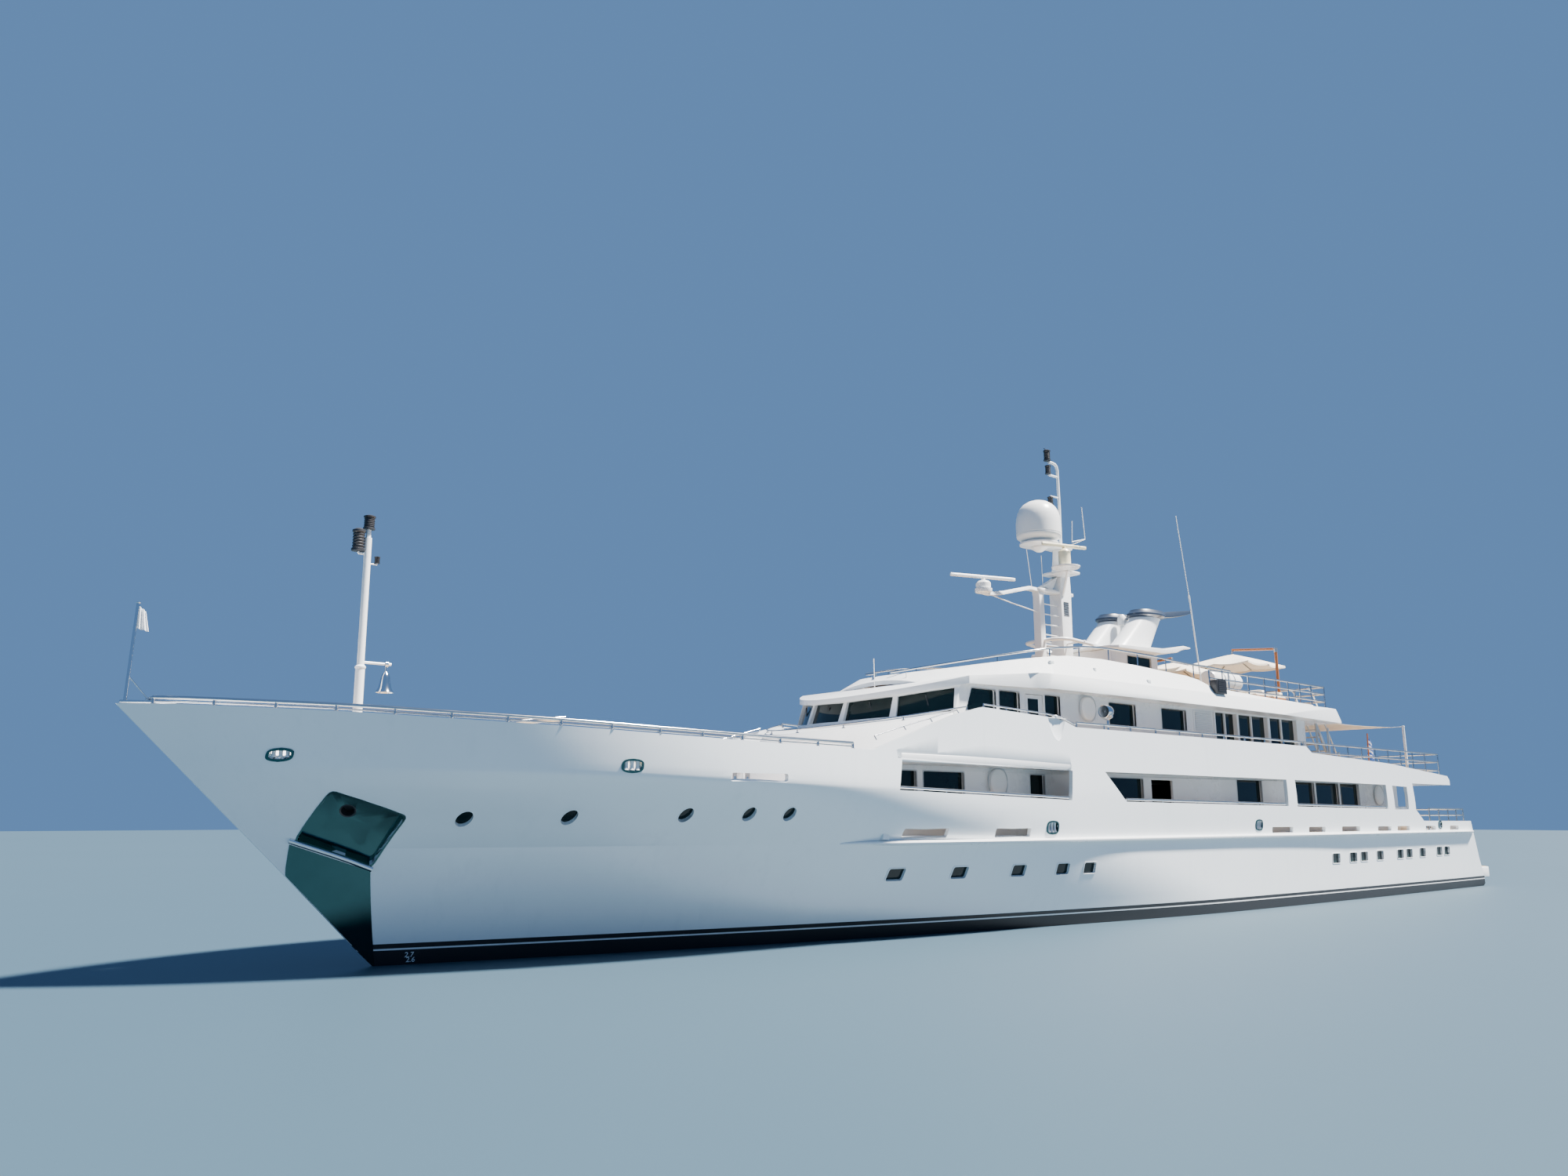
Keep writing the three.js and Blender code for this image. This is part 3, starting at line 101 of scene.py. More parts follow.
def new_group(name, inputs, outputs):
    """An empty shader group with float inputs and outputs."""
    group = bpy.data.node_groups.new(name, "ShaderNodeTree")
    for label, value in inputs:
        socket = group.interface.new_socket(label, in_out="INPUT", socket_type="NodeSocketFloat")
        socket.default_value = value
    for label in outputs:
        group.interface.new_socket(label, in_out="OUTPUT", socket_type="NodeSocketFloat")
    entry = group.nodes.new("NodeGroupInput")
    leave = group.nodes.new("NodeGroupOutput")
    return group, entry, leave


def add_noise(tree, detail=3.0, roughness=0.55):
    node = tree.nodes.new("ShaderNodeTexNoise")
    node.inputs["Detail"].default_value = detail
    node.inputs["Roughness"].default_value = roughness
    return node


def add_math(tree, operation, first=None, second=None):
    node = tree.nodes.new("ShaderNodeMath")
    node.operation = operation
    for index, value in enumerate((first, second)):
        if isinstance(value, (int, float)):
            node.inputs[index].default_value = value
        elif value is not None:
            tree.links.new(value, node.inputs[index])
    return node.outputs[0]


def add_map(tree, value, from_low, from_high, to_low, to_high):
    node = tree.nodes.new("ShaderNodeMapRange")
    tree.links.new(value, node.inputs["Value"])
    for label, number in (
        ("From Min", from_low), ("From Max", from_high), ("To Min", to_low), ("To Max", to_high)
    ):
        if isinstance(number, (int, float)):
            node.inputs[label].default_value = number
        else:
            tree.links.new(number, node.inputs[label])
    return node.outputs["Result"]


# %% Mottle: slow changes over a surface, and the height they give


def build_mottle():
    group, entry, leave = new_group("mottle", [("Scale", 2.0), ("Strength", 1.0)], ["Mask", "Height"])
    place = group.nodes.new("ShaderNodeTexCoord")
    broad = add_noise(group)
    fine = add_noise(group, 5.0, 0.7)
    for node in (broad, fine):
        group.links.new(place.outputs["Object"], node.inputs["Vector"])
    group.links.new(entry.outputs["Scale"], broad.inputs["Scale"])
    group.links.new(add_math(group, "MULTIPLY", entry.outputs["Scale"], 14.0), fine.inputs["Scale"])
    mixed = add_math(group, "ADD", add_math(group, "MULTIPLY", broad.outputs["Fac"], 0.75),
                     add_math(group, "MULTIPLY", fine.outputs["Fac"], 0.25))
    mask = add_map(group, mixed, 0.3, 0.7, 0.0, 1.0)
    group.links.new(add_math(group, "MULTIPLY", mask, entry.outputs["Strength"]), leave.inputs["Mask"])
    group.links.new(mixed, leave.inputs["Height"])
    return group


# %% Streaks: thin upright runs that rain and salt leave on a side


def build_streaks():
    group, entry, leave = new_group("streaks", [("Scale", 6.0), ("Amount", 0.5)], ["Mask"])
    place = group.nodes.new("ShaderNodeTexCoord")
    stretch = group.nodes.new("ShaderNodeMapping")
    stretch.inputs["Scale"].default_value = (1.0, 1.0, 0.07)
    group.links.new(place.outputs["Object"], stretch.inputs["Vector"])
    runs = add_noise(group, 4.0, 0.6)
    group.links.new(stretch.outputs["Vector"], runs.inputs["Vector"])
    group.links.new(entry.outputs["Scale"], runs.inputs["Scale"])
    patches = add_noise(group, 2.0)
    group.links.new(place.outputs["Object"], patches.inputs["Vector"])
    patches.inputs["Scale"].default_value = 0.9
    run_mask = add_map(group, runs.outputs["Fac"], 0.52, 0.78, 0.0, 1.0)
    patch_mask = add_map(group, patches.outputs["Fac"], 0.4, 0.65, 0.0, 1.0)
    both = add_math(group, "MULTIPLY", run_mask, patch_mask)
    group.links.new(add_math(group, "MULTIPLY", both, entry.outputs["Amount"]), leave.inputs["Mask"])
    return group


# %% Planks: the narrow boards of a laid deck, with dark caulked seams


def build_planks():
    group, entry, leave = new_group("planks", [("Width", 0.03), ("Seam", 0.12)], ["Seam", "Tone", "Grain"])
    place = group.nodes.new("ShaderNodeTexCoord")
    split = group.nodes.new("ShaderNodeSeparateXYZ")
    group.links.new(place.outputs["Object"], split.inputs["Vector"])
    across = add_math(group, "DIVIDE", split.outputs["Y"], entry.outputs["Width"])
    within = add_math(group, "FRACT", across)
    distance = add_math(group, "ABSOLUTE", add_math(group, "SUBTRACT", within, 0.5))
    edge = add_math(group, "SUBTRACT", 0.5, add_math(group, "MULTIPLY", entry.outputs["Seam"], 0.5))
    group.links.new(add_math(group, "GREATER_THAN", distance, edge), leave.inputs["Seam"])
    board = add_math(group, "FLOOR", across)
    tone = group.nodes.new("ShaderNodeTexWhiteNoise")
    tone.noise_dimensions = "1D"
    group.links.new(board, tone.inputs["W"])
    group.links.new(tone.outputs["Value"], leave.inputs["Tone"])
    stretch = group.nodes.new("ShaderNodeMapping")
    stretch.inputs["Scale"].default_value = (2.0, 40.0, 40.0)
    group.links.new(place.outputs["Object"], stretch.inputs["Vector"])
    grain = add_noise(group, 6.0, 0.65)
    group.links.new(stretch.outputs["Vector"], grain.inputs["Vector"])
    group.links.new(grain.outputs["Fac"], leave.inputs["Grain"])
    return group


# %% Weave: crossed threads of sailcloth


def build_weave():
    group, entry, leave = new_group("weave", [("Threads", 160.0)], ["Height"])
    place = group.nodes.new("ShaderNodeTexCoord")
    split = group.nodes.new("ShaderNodeSeparateXYZ")
    group.links.new(place.outputs["Object"], split.inputs["Vector"])
    waves = []
    for axis in ("X", "Y"):
        turned = add_math(group, "MULTIPLY", split.outputs[axis], entry.outputs["Threads"])
        waves.append(add_math(group, "SINE", add_math(group, "MULTIPLY", turned, 2 * math.pi)))
    group.links.new(add_math(group, "MULTIPLY", waves[0], waves[1]), leave.inputs["Height"])
    return group


GROUPS = {
    "mottle": build_mottle(), "streaks": build_streaks(), "planks": build_planks(), "weave": build_weave(),
}
print("shared effects:", ", ".join(GROUPS))

# %% [markdown]
# ## Finishes
# Each finish is one Principled shader, fed by the shared effects. Paint takes a
# clean colour, a slightly greyer one where it has weathered, and a bump so slight
# that it only bends the reflections, as welded plating does.

# %% Helpers that start a finish and mix two colours
finishes = {}


def start_finish(name, roughness, metallic=0.0, coat=0.0):
    material = bpy.data.materials.new(name)
    material.use_nodes = True
    tree = material.node_tree
    shader = tree.nodes["Principled BSDF"]
    shader.inputs["Roughness"].default_value = roughness
    shader.inputs["Metallic"].default_value = metallic
    shader.inputs["Coat Weight"].default_value = coat
    shader.inputs["Coat Roughness"].default_value = 0.08
    finishes[name] = material
    return tree, shader


def use_group(tree, name, **values):
    node = tree.nodes.new("ShaderNodeGroup")
    node.node_tree = GROUPS[name]
    for label, value in values.items():
        node.inputs[label].default_value = value
    return node


def mix_colour(tree, mask, first, second):
    node = tree.nodes.new("ShaderNodeMix")
    node.data_type = "RGBA"
    tree.links.new(mask, node.inputs["Factor"])
    for label, colour in (("A", first), ("B", second)):
        socket = [item for item in node.inputs if item.name == label and item.type == "RGBA"][0]
        if isinstance(colour, tuple):
            socket.default_value = (*colour, 1.0)
        else:
            tree.links.new(colour, socket)
    return [item for item in node.outputs if item.type == "RGBA"][0]


def add_bump(tree, shader, height, strength, distance):
    node = tree.nodes.new("ShaderNodeBump")
    node.inputs["Strength"].default_value = strength
    node.inputs["Distance"].default_value = distance
    tree.links.new(height, node.inputs["Height"])
    tree.links.new(node.outputs["Normal"], shader.inputs["Normal"])


# %% Painted steel, in white, navy and the dark bottom paint


def weathered_paint(name, clean, aged, roughness, streak_amount=0.25, coat=0.4, wave=0.004):
    tree, shader = start_finish(name, roughness, coat=coat)
    mottle = use_group(tree, "mottle", Scale=0.8, Strength=0.6)
    streaks = use_group(tree, "streaks", Scale=7.0, Amount=streak_amount)
    colour = mix_colour(tree, mottle.outputs["Mask"], clean, aged)
    grime = tuple(channel * 0.72 for channel in aged)
    colour = mix_colour(tree, streaks.outputs["Mask"], colour, grime)
    tree.links.new(colour, shader.inputs["Base Color"])
    rough = add_map(tree, mottle.outputs["Mask"], 0.0, 1.0, roughness * 0.8, roughness * 1.35)
    tree.links.new(rough, shader.inputs["Roughness"])
    add_bump(tree, shader, mottle.outputs["Height"], 0.25, wave)
    return tree, shader, colour


weathered_paint("house_white", (0.86, 0.87, 0.87), (0.80, 0.82, 0.83), 0.3, 0.12)
# A darker, bluer copy of the white house paint, as painted shade.
weathered_paint("house_white_painted_shade", (0.74, 0.77, 0.79), (0.68, 0.72, 0.75), 0.45, 0.05)
weathered_paint("navy_paint", (0.018, 0.028, 0.05), (0.04, 0.05, 0.07), 0.32, 0.2)
weathered_paint("louvre_grey", (0.55, 0.58, 0.6), (0.45, 0.48, 0.5), 0.5, 0.1, 0.1)
weathered_paint("bottom_dark", (0.02, 0.028, 0.036), (0.035, 0.05, 0.055), 0.6, 0.4, 0.0)

# %% The hull's paint changes with height: black below, a pinstripe, then white
BOOT_TOP_LEVEL = 0.43
PIN_STRIPE = (0.30, 0.335)

tree, shader, hull_colour = weathered_paint(
    "hull_white", (0.84, 0.87, 0.89), (0.77, 0.81, 0.84), 0.2, 0.2, 0.6, 0.006)
place = tree.nodes.new("ShaderNodeTexCoord")
split = tree.nodes.new("ShaderNodeSeparateXYZ")
tree.links.new(place.outputs["Object"], split.inputs["Vector"])
height = split.outputs["Z"]
below_top = add_math(tree, "LESS_THAN", height, BOOT_TOP_LEVEL * SCALE)
in_stripe = add_math(tree, "MULTIPLY",
                     add_math(tree, "GREATER_THAN", height, PIN_STRIPE[0] * SCALE),
                     add_math(tree, "LESS_THAN", height, PIN_STRIPE[1] * SCALE))
banded = mix_colour(tree, below_top, hull_colour, (0.012, 0.013, 0.016))
banded = mix_colour(tree, in_stripe, banded, (0.75, 0.77, 0.78))
tree.links.new(banded, shader.inputs["Base Color"])
above_boot_top = add_math(tree, "SUBTRACT", 1.0, below_top)
tree.links.new(add_math(tree, "MULTIPLY", above_boot_top, 0.6), shader.inputs["Coat Weight"])
plain_rough = shader.inputs["Roughness"].links[0].from_socket
dull_below = add_math(tree, "MULTIPLY", below_top, 0.3)
tree.links.new(add_math(tree, "ADD", plain_rough, dull_below), shader.inputs["Roughness"])

# %% Metals, glass and plastics


def metal(name, colour, roughness, brushed=0.0):
    tree, shader = start_finish(name, roughness, metallic=1.0)
    mottle = use_group(tree, "mottle", Scale=6.0, Strength=0.5)
    dull = tuple(channel * 0.82 for channel in colour)
    tree.links.new(mix_colour(tree, mottle.outputs["Mask"], colour, dull), shader.inputs["Base Color"])
    rough = add_map(tree, mottle.outputs["Mask"], 0.0, 1.0, roughness, roughness * 1.8 + brushed)
    tree.links.new(rough, shader.inputs["Roughness"])
    add_bump(tree, shader, mottle.outputs["Height"], 0.1, 0.001)


metal("polished_steel", (0.72, 0.74, 0.76), 0.1)
metal("satin_steel", (0.6, 0.62, 0.63), 0.28, 0.1)
metal("propeller_bronze", (0.62, 0.42, 0.2), 0.25)
metal("rail_steel", (0.56, 0.58, 0.6), 0.16)
# Polished steel coloured dark green: the green is a painted reflection of water, not the steel's own colour.
metal("mirror_steel_painted_sea_reflection", (0.06, 0.13, 0.13), 0.08)
# Steel for the fairlead rims, coloured dark green as a painted reflection of water.
metal("rim_steel_painted_sea_reflection", (0.04, 0.11, 0.12), 0.3)


def plain_gloss(name, clean, aged, roughness, scale=3.0, coat=0.0):
    tree, shader = start_finish(name, roughness, coat=coat)
    mottle = use_group(tree, "mottle", Scale=scale, Strength=0.7)
    tree.links.new(mix_colour(tree, mottle.outputs["Mask"], clean, aged), shader.inputs["Base Color"])
    rough = add_map(tree, mottle.outputs["Mask"], 0.0, 1.0, roughness * 0.85, roughness * 1.3)
    tree.links.new(rough, shader.inputs["Roughness"])
    add_bump(tree, shader, mottle.outputs["Height"], 0.12, 0.002)
    return tree, shader


plain_gloss("white_plastic", (0.86, 0.86, 0.85), (0.8, 0.8, 0.78), 0.3)
plain_gloss("lantern_black", (0.015, 0.015, 0.017), (0.035, 0.035, 0.04), 0.4)
_, glass_shader = plain_gloss("dark_glass", (0.004, 0.011, 0.012), (0.007, 0.02, 0.021), 0.05, 1.2)
glass_shader.inputs["Specular IOR Level"].default_value = 0.25
plain_gloss("cream_plastic", (0.8, 0.72, 0.5), (0.7, 0.62, 0.42), 0.35)
plain_gloss("mark_white", (0.85, 0.86, 0.87), (0.7, 0.72, 0.74), 0.4)

# %% Teak for the laid decks, and varnished wood for masts and furniture


def wood(name, light, dark, plank_width, seam, roughness):
    tree, shader = start_finish(name, roughness)
    planks = use_group(tree, "planks", Width=plank_width, Seam=seam)
    colour = mix_colour(tree, planks.outputs["Tone"], light, dark)
    figure = add_map(tree, planks.outputs["Grain"], 0.35, 0.65, 0.0, 0.6)
    colour = mix_colour(tree, figure, colour, tuple(channel * 0.7 for channel in dark))
    colour = mix_colour(tree, planks.outputs["Seam"], colour, (0.02, 0.018, 0.016))
    tree.links.new(colour, shader.inputs["Base Color"])
    add_bump(tree, shader, planks.outputs["Grain"], 0.2, 0.001)


wood("teak_deck", (0.5, 0.34, 0.2), (0.38, 0.25, 0.14), 0.045, 0.1, 0.6)
wood("varnished_wood", (0.42, 0.16, 0.05), (0.28, 0.09, 0.03), 1.0, 0.0, 0.25)

# %% Sailcloth, for the umbrellas, the awning and the cushions


def cloth(name, clean, aged, threads):
    tree, shader = start_finish(name, 0.85)
    shader.inputs["Sheen Weight"].default_value = 0.3
    mottle = use_group(tree, "mottle", Scale=2.5, Strength=0.8)
    weave = use_group(tree, "weave", Threads=threads)
    tree.links.new(mix_colour(tree, mottle.outputs["Mask"], clean, aged), shader.inputs["Base Color"])
    height = add_math(tree, "ADD", add_math(tree, "MULTIPLY", weave.outputs["Height"], 0.15),
                      mottle.outputs["Height"])
    add_bump(tree, shader, height, 0.35, 0.004)
    return tree, shader


cloth("cream_canvas", (0.82, 0.75, 0.64), (0.74, 0.66, 0.55), 160.0)
# A darker copy of the cream canvas, as painted shade on the awning's underside.
cloth("cream_canvas_painted_shade", (0.66, 0.58, 0.47), (0.56, 0.48, 0.38), 160.0)
cloth("white_flag", (0.84, 0.85, 0.87), (0.74, 0.76, 0.8), 220.0)

# %% The ensign's plain stripes run along the cloth, by its own UV map
tree, shader = cloth("striped_flag", (0.84, 0.85, 0.87), (0.74, 0.76, 0.8), 220.0)
STRIPES = 9
across = tree.nodes.new("ShaderNodeTexCoord")
split = tree.nodes.new("ShaderNodeSeparateXYZ")
tree.links.new(across.outputs["UV"], split.inputs["Vector"])
band = add_math(tree, "FLOOR", add_math(tree, "MULTIPLY", split.outputs["Y"], float(STRIPES)))
odd = add_math(tree, "MODULO", band, 2.0)
white = shader.inputs["Base Color"].links[0].from_socket
tree.links.new(mix_colour(tree, odd, (0.03, 0.12, 0.42), white), shader.inputs["Base Color"])
print("finishes:", len(finishes))

# %% [markdown]
# ## Working habits
# New pieces start from a Blender primitive whose corners are moved to the lines of
# the ship, and are then extruded, beveled or thickened. A few helpers keep that
# short: one finishes a piece, one pulls a grid through rows of points, one raises
# an outline, and one dresses a copy of a imported solid with softened edges.

# %% Finish a piece: soften its edges, shade it, paint it and let it ride
SMOOTH_ANGLE = math.radians(32)
EDGE_ANGLE = math.radians(38)
MERGE_DISTANCE = 0.0002
# the paint or material slot of each finish, where a piece names no other
USUAL_SLOT = {
    "hull_white": "hull_paint", "mark_white": "hull_paint", "house_white": "house_paint",
    "house_white_painted_shade": "house_paint", "louvre_grey": "house_paint", "navy_paint": "navy_paint",
    "bottom_dark": "bottom_paint", "dark_glass": "tinted_glass", "white_plastic": "white_plastic",
    "cream_canvas": "cream_canvas", "cream_canvas_painted_shade": "cream_canvas",
    **dict.fromkeys(("polished_steel", "satin_steel", "rail_steel", "rim_steel_painted_sea_reflection", "mirror_steel_painted_sea_reflection"),
                    "polished_steel"),
}


def only(piece):
    bpy.ops.object.select_all(action="DESELECT")
    piece.select_set(True)
    bpy.context.view_layer.objects.active = piece
    return piece


def face_outward():
    bpy.ops.mesh.normals_make_consistent(inside=False)


def in_edit_mode(piece, *steps):
    """Runs operators on the whole of one piece in edit mode."""
    only(piece)
    bpy.ops.object.mode_set(mode="EDIT")
    bpy.ops.mesh.select_all(action="SELECT")
    for step in steps:
        step()
    bpy.ops.object.mode_set(mode="OBJECT")
    return piece


def apply_modifier(piece, kind, **values):
    only(piece)
    modifier = piece.modifiers.new(kind.lower(), kind)
    for label, value in values.items():
        setattr(modifier, label, value)
    bpy.ops.object.modifier_apply(modifier=modifier.name)
    return piece


def soften(piece, width, segments=2):
    return apply_modifier(piece, "BEVEL", width=width, segments=segments, limit_method="ANGLE",
                          angle_limit=EDGE_ANGLE, harden_normals=False)


def finish_piece(made, name, finish, nodes=(), body="yacht", slot="usual"):
    """Names, shades and paints a piece, or several joined into one, and lets it ride."""
    piece = joined(made) if isinstance(made, list) else made
    piece.name = name
    piece.data.name = name
    only(piece)
    bpy.ops.object.transform_apply(location=True, rotation=True, scale=True)
    bpy.ops.object.shade_smooth_by_angle(angle=SMOOTH_ANGLE)
    piece.data.materials.clear()
    piece.data.materials.append(finishes[finish])
    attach(piece, body)
    if nodes:
        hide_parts(*nodes)
    if slot == "usual":
        slot = USUAL_SLOT.get(finish)
    return piece


# %% Pull a grid through rows of points, and raise an outline


def place_vertices(piece, points):
    flat = [number for point in points for number in point]
    piece.data.vertices.foreach_set("co", flat)
    piece.data.update()


def grid_through(rows):
    bpy.ops.object.select_all(action="DESELECT")
    bpy.ops.mesh.primitive_grid_add(x_subdivisions=len(rows[0]) - 1, y_subdivisions=len(rows) - 1)
    piece = bpy.context.object
    place_vertices(piece, [point for row in rows for point in row])
    return piece


def at_open_edges(action):
    """Runs one operator on the open edges of the mesh, then selects all again."""
    bpy.ops.mesh.select_all(action="DESELECT")
    bpy.ops.mesh.select_mode(type="EDGE")
    bpy.ops.mesh.select_non_manifold()
    action()
    bpy.ops.mesh.select_mode(type="VERT")
    bpy.ops.mesh.select_all(action="SELECT")


def closed_skin(rings):
    """A solid through closed rings of points, its two ends filled."""
    return in_edit_mode(
        grid_through([[*ring, ring[0]] for ring in rings]),
        lambda: bpy.ops.mesh.remove_doubles(threshold=MERGE_DISTANCE),
        lambda: at_open_edges(lambda: bpy.ops.mesh.fill_holes(sides=0)),
        face_outward)


def raised(outline, rise):
    """A flat outline of points, extruded along a vector."""
    bpy.ops.object.select_all(action="DESELECT")
    bpy.ops.mesh.primitive_circle_add(vertices=len(outline), fill_type="NGON")
    piece = bpy.context.object
    place_vertices(piece, outline)
    return in_edit_mode(
        piece,
        lambda: bpy.ops.mesh.extrude_region_move(TRANSFORM_OT_translate={"value": tuple(rise)}),
        lambda: bpy.ops.mesh.select_all(action="SELECT"),
        face_outward)


def side_shape(outline, y0, y1):
    """An outline of (s, z) corners seen from the side, carried across the ship."""
    return raised([at(s, y0, z) for s, z in outline], at(0, y1, 0) - at(0, y0, 0))


def plan_shape(outline, z0, z1):
    """An outline of (s, y) corners seen from above, raised between two levels."""
    return raised([at(s, y, z0) for s, y in outline], at(0, 0, z1) - at(0, 0, z0))


def slab(s0, s1, y0, y1, z0, z1):
    return plan_shape([(s0, y0), (s1, y0), (s1, y1), (s0, y1)], z0, z1)


def joined(pieces):
    bpy.ops.object.select_all(action="DESELECT")
    for piece in pieces:
        piece.select_set(True)
    bpy.context.view_layer.objects.active = pieces[0]
    if len(pieces) > 1:
        bpy.ops.object.join()
    return bpy.context.object


def cut_away(piece, tool, operation="DIFFERENCE"):
    apply_modifier(piece, "BOOLEAN", object=tool, operation=operation, solver="EXACT")
    bpy.data.objects.remove(tool)
    return piece


def kept_inside(piece, tool):
    return cut_away(piece, tool, "INTERSECT")


def rounded(outline, radius, steps=4):
    """The same outline with each corner turned into a small arc."""
    result = []
    count = len(outline)
    for index, corner in enumerate(outline):
        here = Vector(corner)
        before = (Vector(outline[index - 1]) - here)
        after = (Vector(outline[(index + 1) % count]) - here)
        reach = min(radius, before.length * 0.45, after.length * 0.45)
        first = here + before.normalized() * reach
        last = here + after.normalized() * reach
        for step in range(steps + 1):
            t = step / steps
            result.append(tuple(first.lerp(here, t).lerp(here.lerp(last, t), t)))
    return result


def mirrored(points, shared=0):
    """Points and their mirror images in reverse; the last few may lie amidships."""
    return [*points, *((s, -y, *level) for s, y, *level in reversed(points[:len(points) - shared]))]


def between(sign, near, far):
    """Two distances off the middle line on one side, the smaller y first."""
    return sorted((sign * near, sign * far))


def box_outline(s0, s1, z0, z1, radius=0.05):
    return rounded([(s0, z0), (s1, z0), (s1, z1), (s0, z1)], radius, 3)


# %% Tubes for rails, and turned forms


def tube(paths, radius, sides=3):
    """Round tube along each path of points, as one mesh."""
    curve = bpy.data.curves.new("tube", "CURVE")
    curve.dimensions = "3D"
    curve.bevel_depth = radius
    curve.bevel_resolution = sides
    curve.use_fill_caps = True
    for path in paths:
        spline = curve.splines.new("POLY")
        spline.points.add(len(path) - 1)
        for point, place in zip(spline.points, path):
            point.co = (*place, 1.0)
    piece = bpy.data.objects.new("tube", curve)
    bpy.context.scene.collection.objects.link(piece)
    only(piece)
    bpy.ops.object.convert(target="MESH")
    return in_edit_mode(
        bpy.context.object,
        lambda: bpy.ops.mesh.remove_doubles(threshold=MERGE_DISTANCE),
        face_outward)


def turned(centre, profile, steps=32, axis=(0, 0, 1)):
    """Radius and height pairs spun about an axis through a centre."""
    upright = Vector(axis).to_track_quat("Z", "Y")
    rings = []
    for radius, height in profile:
        ring = []
        for step in range(steps):
            angle = 2 * math.pi * step / steps
            point = Vector((math.cos(angle) * radius, math.sin(angle) * radius, height))
            ring.append(Vector(centre) + upright @ point)
        rings.append(ring)
    return closed_skin(rings)


def lathe(centre, profile, steps=32, axis=(0, 0, 1)):
    """A turned form with its profile in full-size metres."""
    return turned(centre, [(radius * SCALE, height * SCALE) for radius, height in profile], steps, axis)


def rod(points, radius, sides=3):
    """One round bar through full-size points."""
    return tube([[at(*point) for point in points]], radius, sides)


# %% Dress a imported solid: a merged copy with softened edges stands for it


def dressed(node, finish, width):
    source = frame["nodes"][node]
    copy = bpy.data.objects.new(node + "_copy", source.data.copy())
    bpy.context.scene.collection.objects.link(copy)
    in_edit_mode(
        copy,
        lambda: bpy.ops.mesh.remove_doubles(threshold=0.0001),
        lambda: bpy.ops.mesh.dissolve_limited(angle_limit=math.radians(0.6)))
    soften(copy, width)
    return finish_piece(copy, node + "_dressed", finish, [node], source["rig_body"], slot=None)


# %% [markdown]
# ## The hull
# The lines of a ship are a table: at each height above the keel, where the stem
# and transom stand, how wide the hull is, and how full its entry is. The solids
# join those rows with straight plates. Here the same rows are joined with smooth
# curves, which is what a real hull's rolled plates look like.

# %% The hull's lines, and the fold along the bow
# level, stem s, transom s, half breadth, entry length, entry fullness, half breadth at the transom
WATERLINES = [
    (-2.5, 9.0, 31.0, 0.45, 9, 1.6, 0.2),
    (-2.3, 5.2, 36.0, 1.9, 16, 1.6, 0.3),
    (-1.7, 2.6, 39.5, 3.3, 22, 1.6, 0.5),
    (-0.9, 1.1, 44.0, 3.8, 25, 1.6, 2.1),
    (0.0, 0.0, 47.3, 3.98, 26, 1.6, 3.58),
    (1.2, -1.22, 46.7, 4.05, 24.5, 1.85, 3.68),
    (2.33, -2.36, 46.15, 4.11, 22, 2.3, 3.76),
    (3.1, -3.14, 45.75, 4.18, 19, 2.7, 3.82),
    (3.82, -3.87, 45.4, 4.22, 16.2, 3.1, 3.85),
    (5.9, -5.98, 44.35, 4.22, 15, 3.3, 3.85),
]
KNUCKLE = 3.82
KNUCKLE_LINE = [(-5.1, 3.96), (-2.1, 3.9), (0.2, 3.83), (2.4, 3.78), (5.4, 3.71), (9.6, 3.62), (13.0, 3.56)]
KNUCKLE_REACH = [(-3.9, 0.0), (-2.6, 0.06), (0.5, 0.12), (6.0, 0.12), (9.5, 0.045), (12.6, 0.0)]
RUB_RAIL = 2.33
STEM_HALF_WIDTH = 0.03
PARALLEL_END = 0.55


def row_slope(index, column):
    """A gentle slope at a row of the table, as a fair curve through it has."""
    if index in (0, len(WATERLINES) - 1):
        near = 1 if index == 0 else len(WATERLINES) - 2
        return ((WATERLINES[near][column] - WATERLINES[index][column])
                / (WATERLINES[near][0] - WATERLINES[index][0]))
    below, here, above = WATERLINES[index - 1:index + 2]
    low = (here[column] - below[column]) / (here[0] - below[0])
    high = (above[column] - here[column]) / (above[0] - here[0])
    return 0.0 if low * high <= 0 else 2 * low * high / (low + high)


def lines_at(z):
    z = min(max(z, WATERLINES[0][0]), WATERLINES[-1][0])
    index = max(i for i, row in enumerate(WATERLINES[:-1]) if row[0] <= z)
    low, high = WATERLINES[index], WATERLINES[index + 1]
    rise = high[0] - low[0]
    t = (z - low[0]) / rise
    values = [z]
    for column in range(1, 7):
        if low[0] >= KNUCKLE:
            values.append(low[column] * (1 - t) + high[column] * t)
            continue
        start, end = row_slope(index, column), row_slope(index + 1, column)
        values.append(
            low[column] * (1 + 2 * t) * (1 - t) ** 2 + rise * start * t * (1 - t) ** 2
            + high[column] * t ** 2 * (3 - 2 * t) - rise * end * t ** 2 * (1 - t))
    return values


def level_along(table, s):
    s = min(max(s, table[0][0]), table[-1][0])
    for (s0, z0), (s1, z1) in zip(table, table[1:]):
        if s <= s1:
            return z0 + (z1 - z0) * (s - s0) / (s1 - s0)
    return table[-1][1]


def crease(s, z):
    """How far the fold along the bow stands out of the fair side."""
    level = level_along(KNUCKLE_LINE, s)
    if z <= RUB_RAIL:
        return 0.0
    part = ((z - RUB_RAIL) / (level - RUB_RAIL)) ** 1.6 if z <= level else max(0.0, 1 - (z - level) / 1.1)
    return level_along(KNUCKLE_REACH, s) * part


def half_breadth(s, z):
    _, stem, end, widest, entry, fullness, at_end = lines_at(z)
    s = min(max(s, stem), end)
    ahead = min(1.0, max(0.0, (s - stem) / entry))
    entry_part = 1 - (1 - ahead) ** fullness
    run = max(0.0, ((s - stem) / (end - stem) - PARALLEL_END) / (1 - PARALLEL_END))
    return (STEM_HALF_WIDTH + (widest - STEM_HALF_WIDTH) * entry_part
            - (widest - at_end) * run ** 2 + crease(s, z))


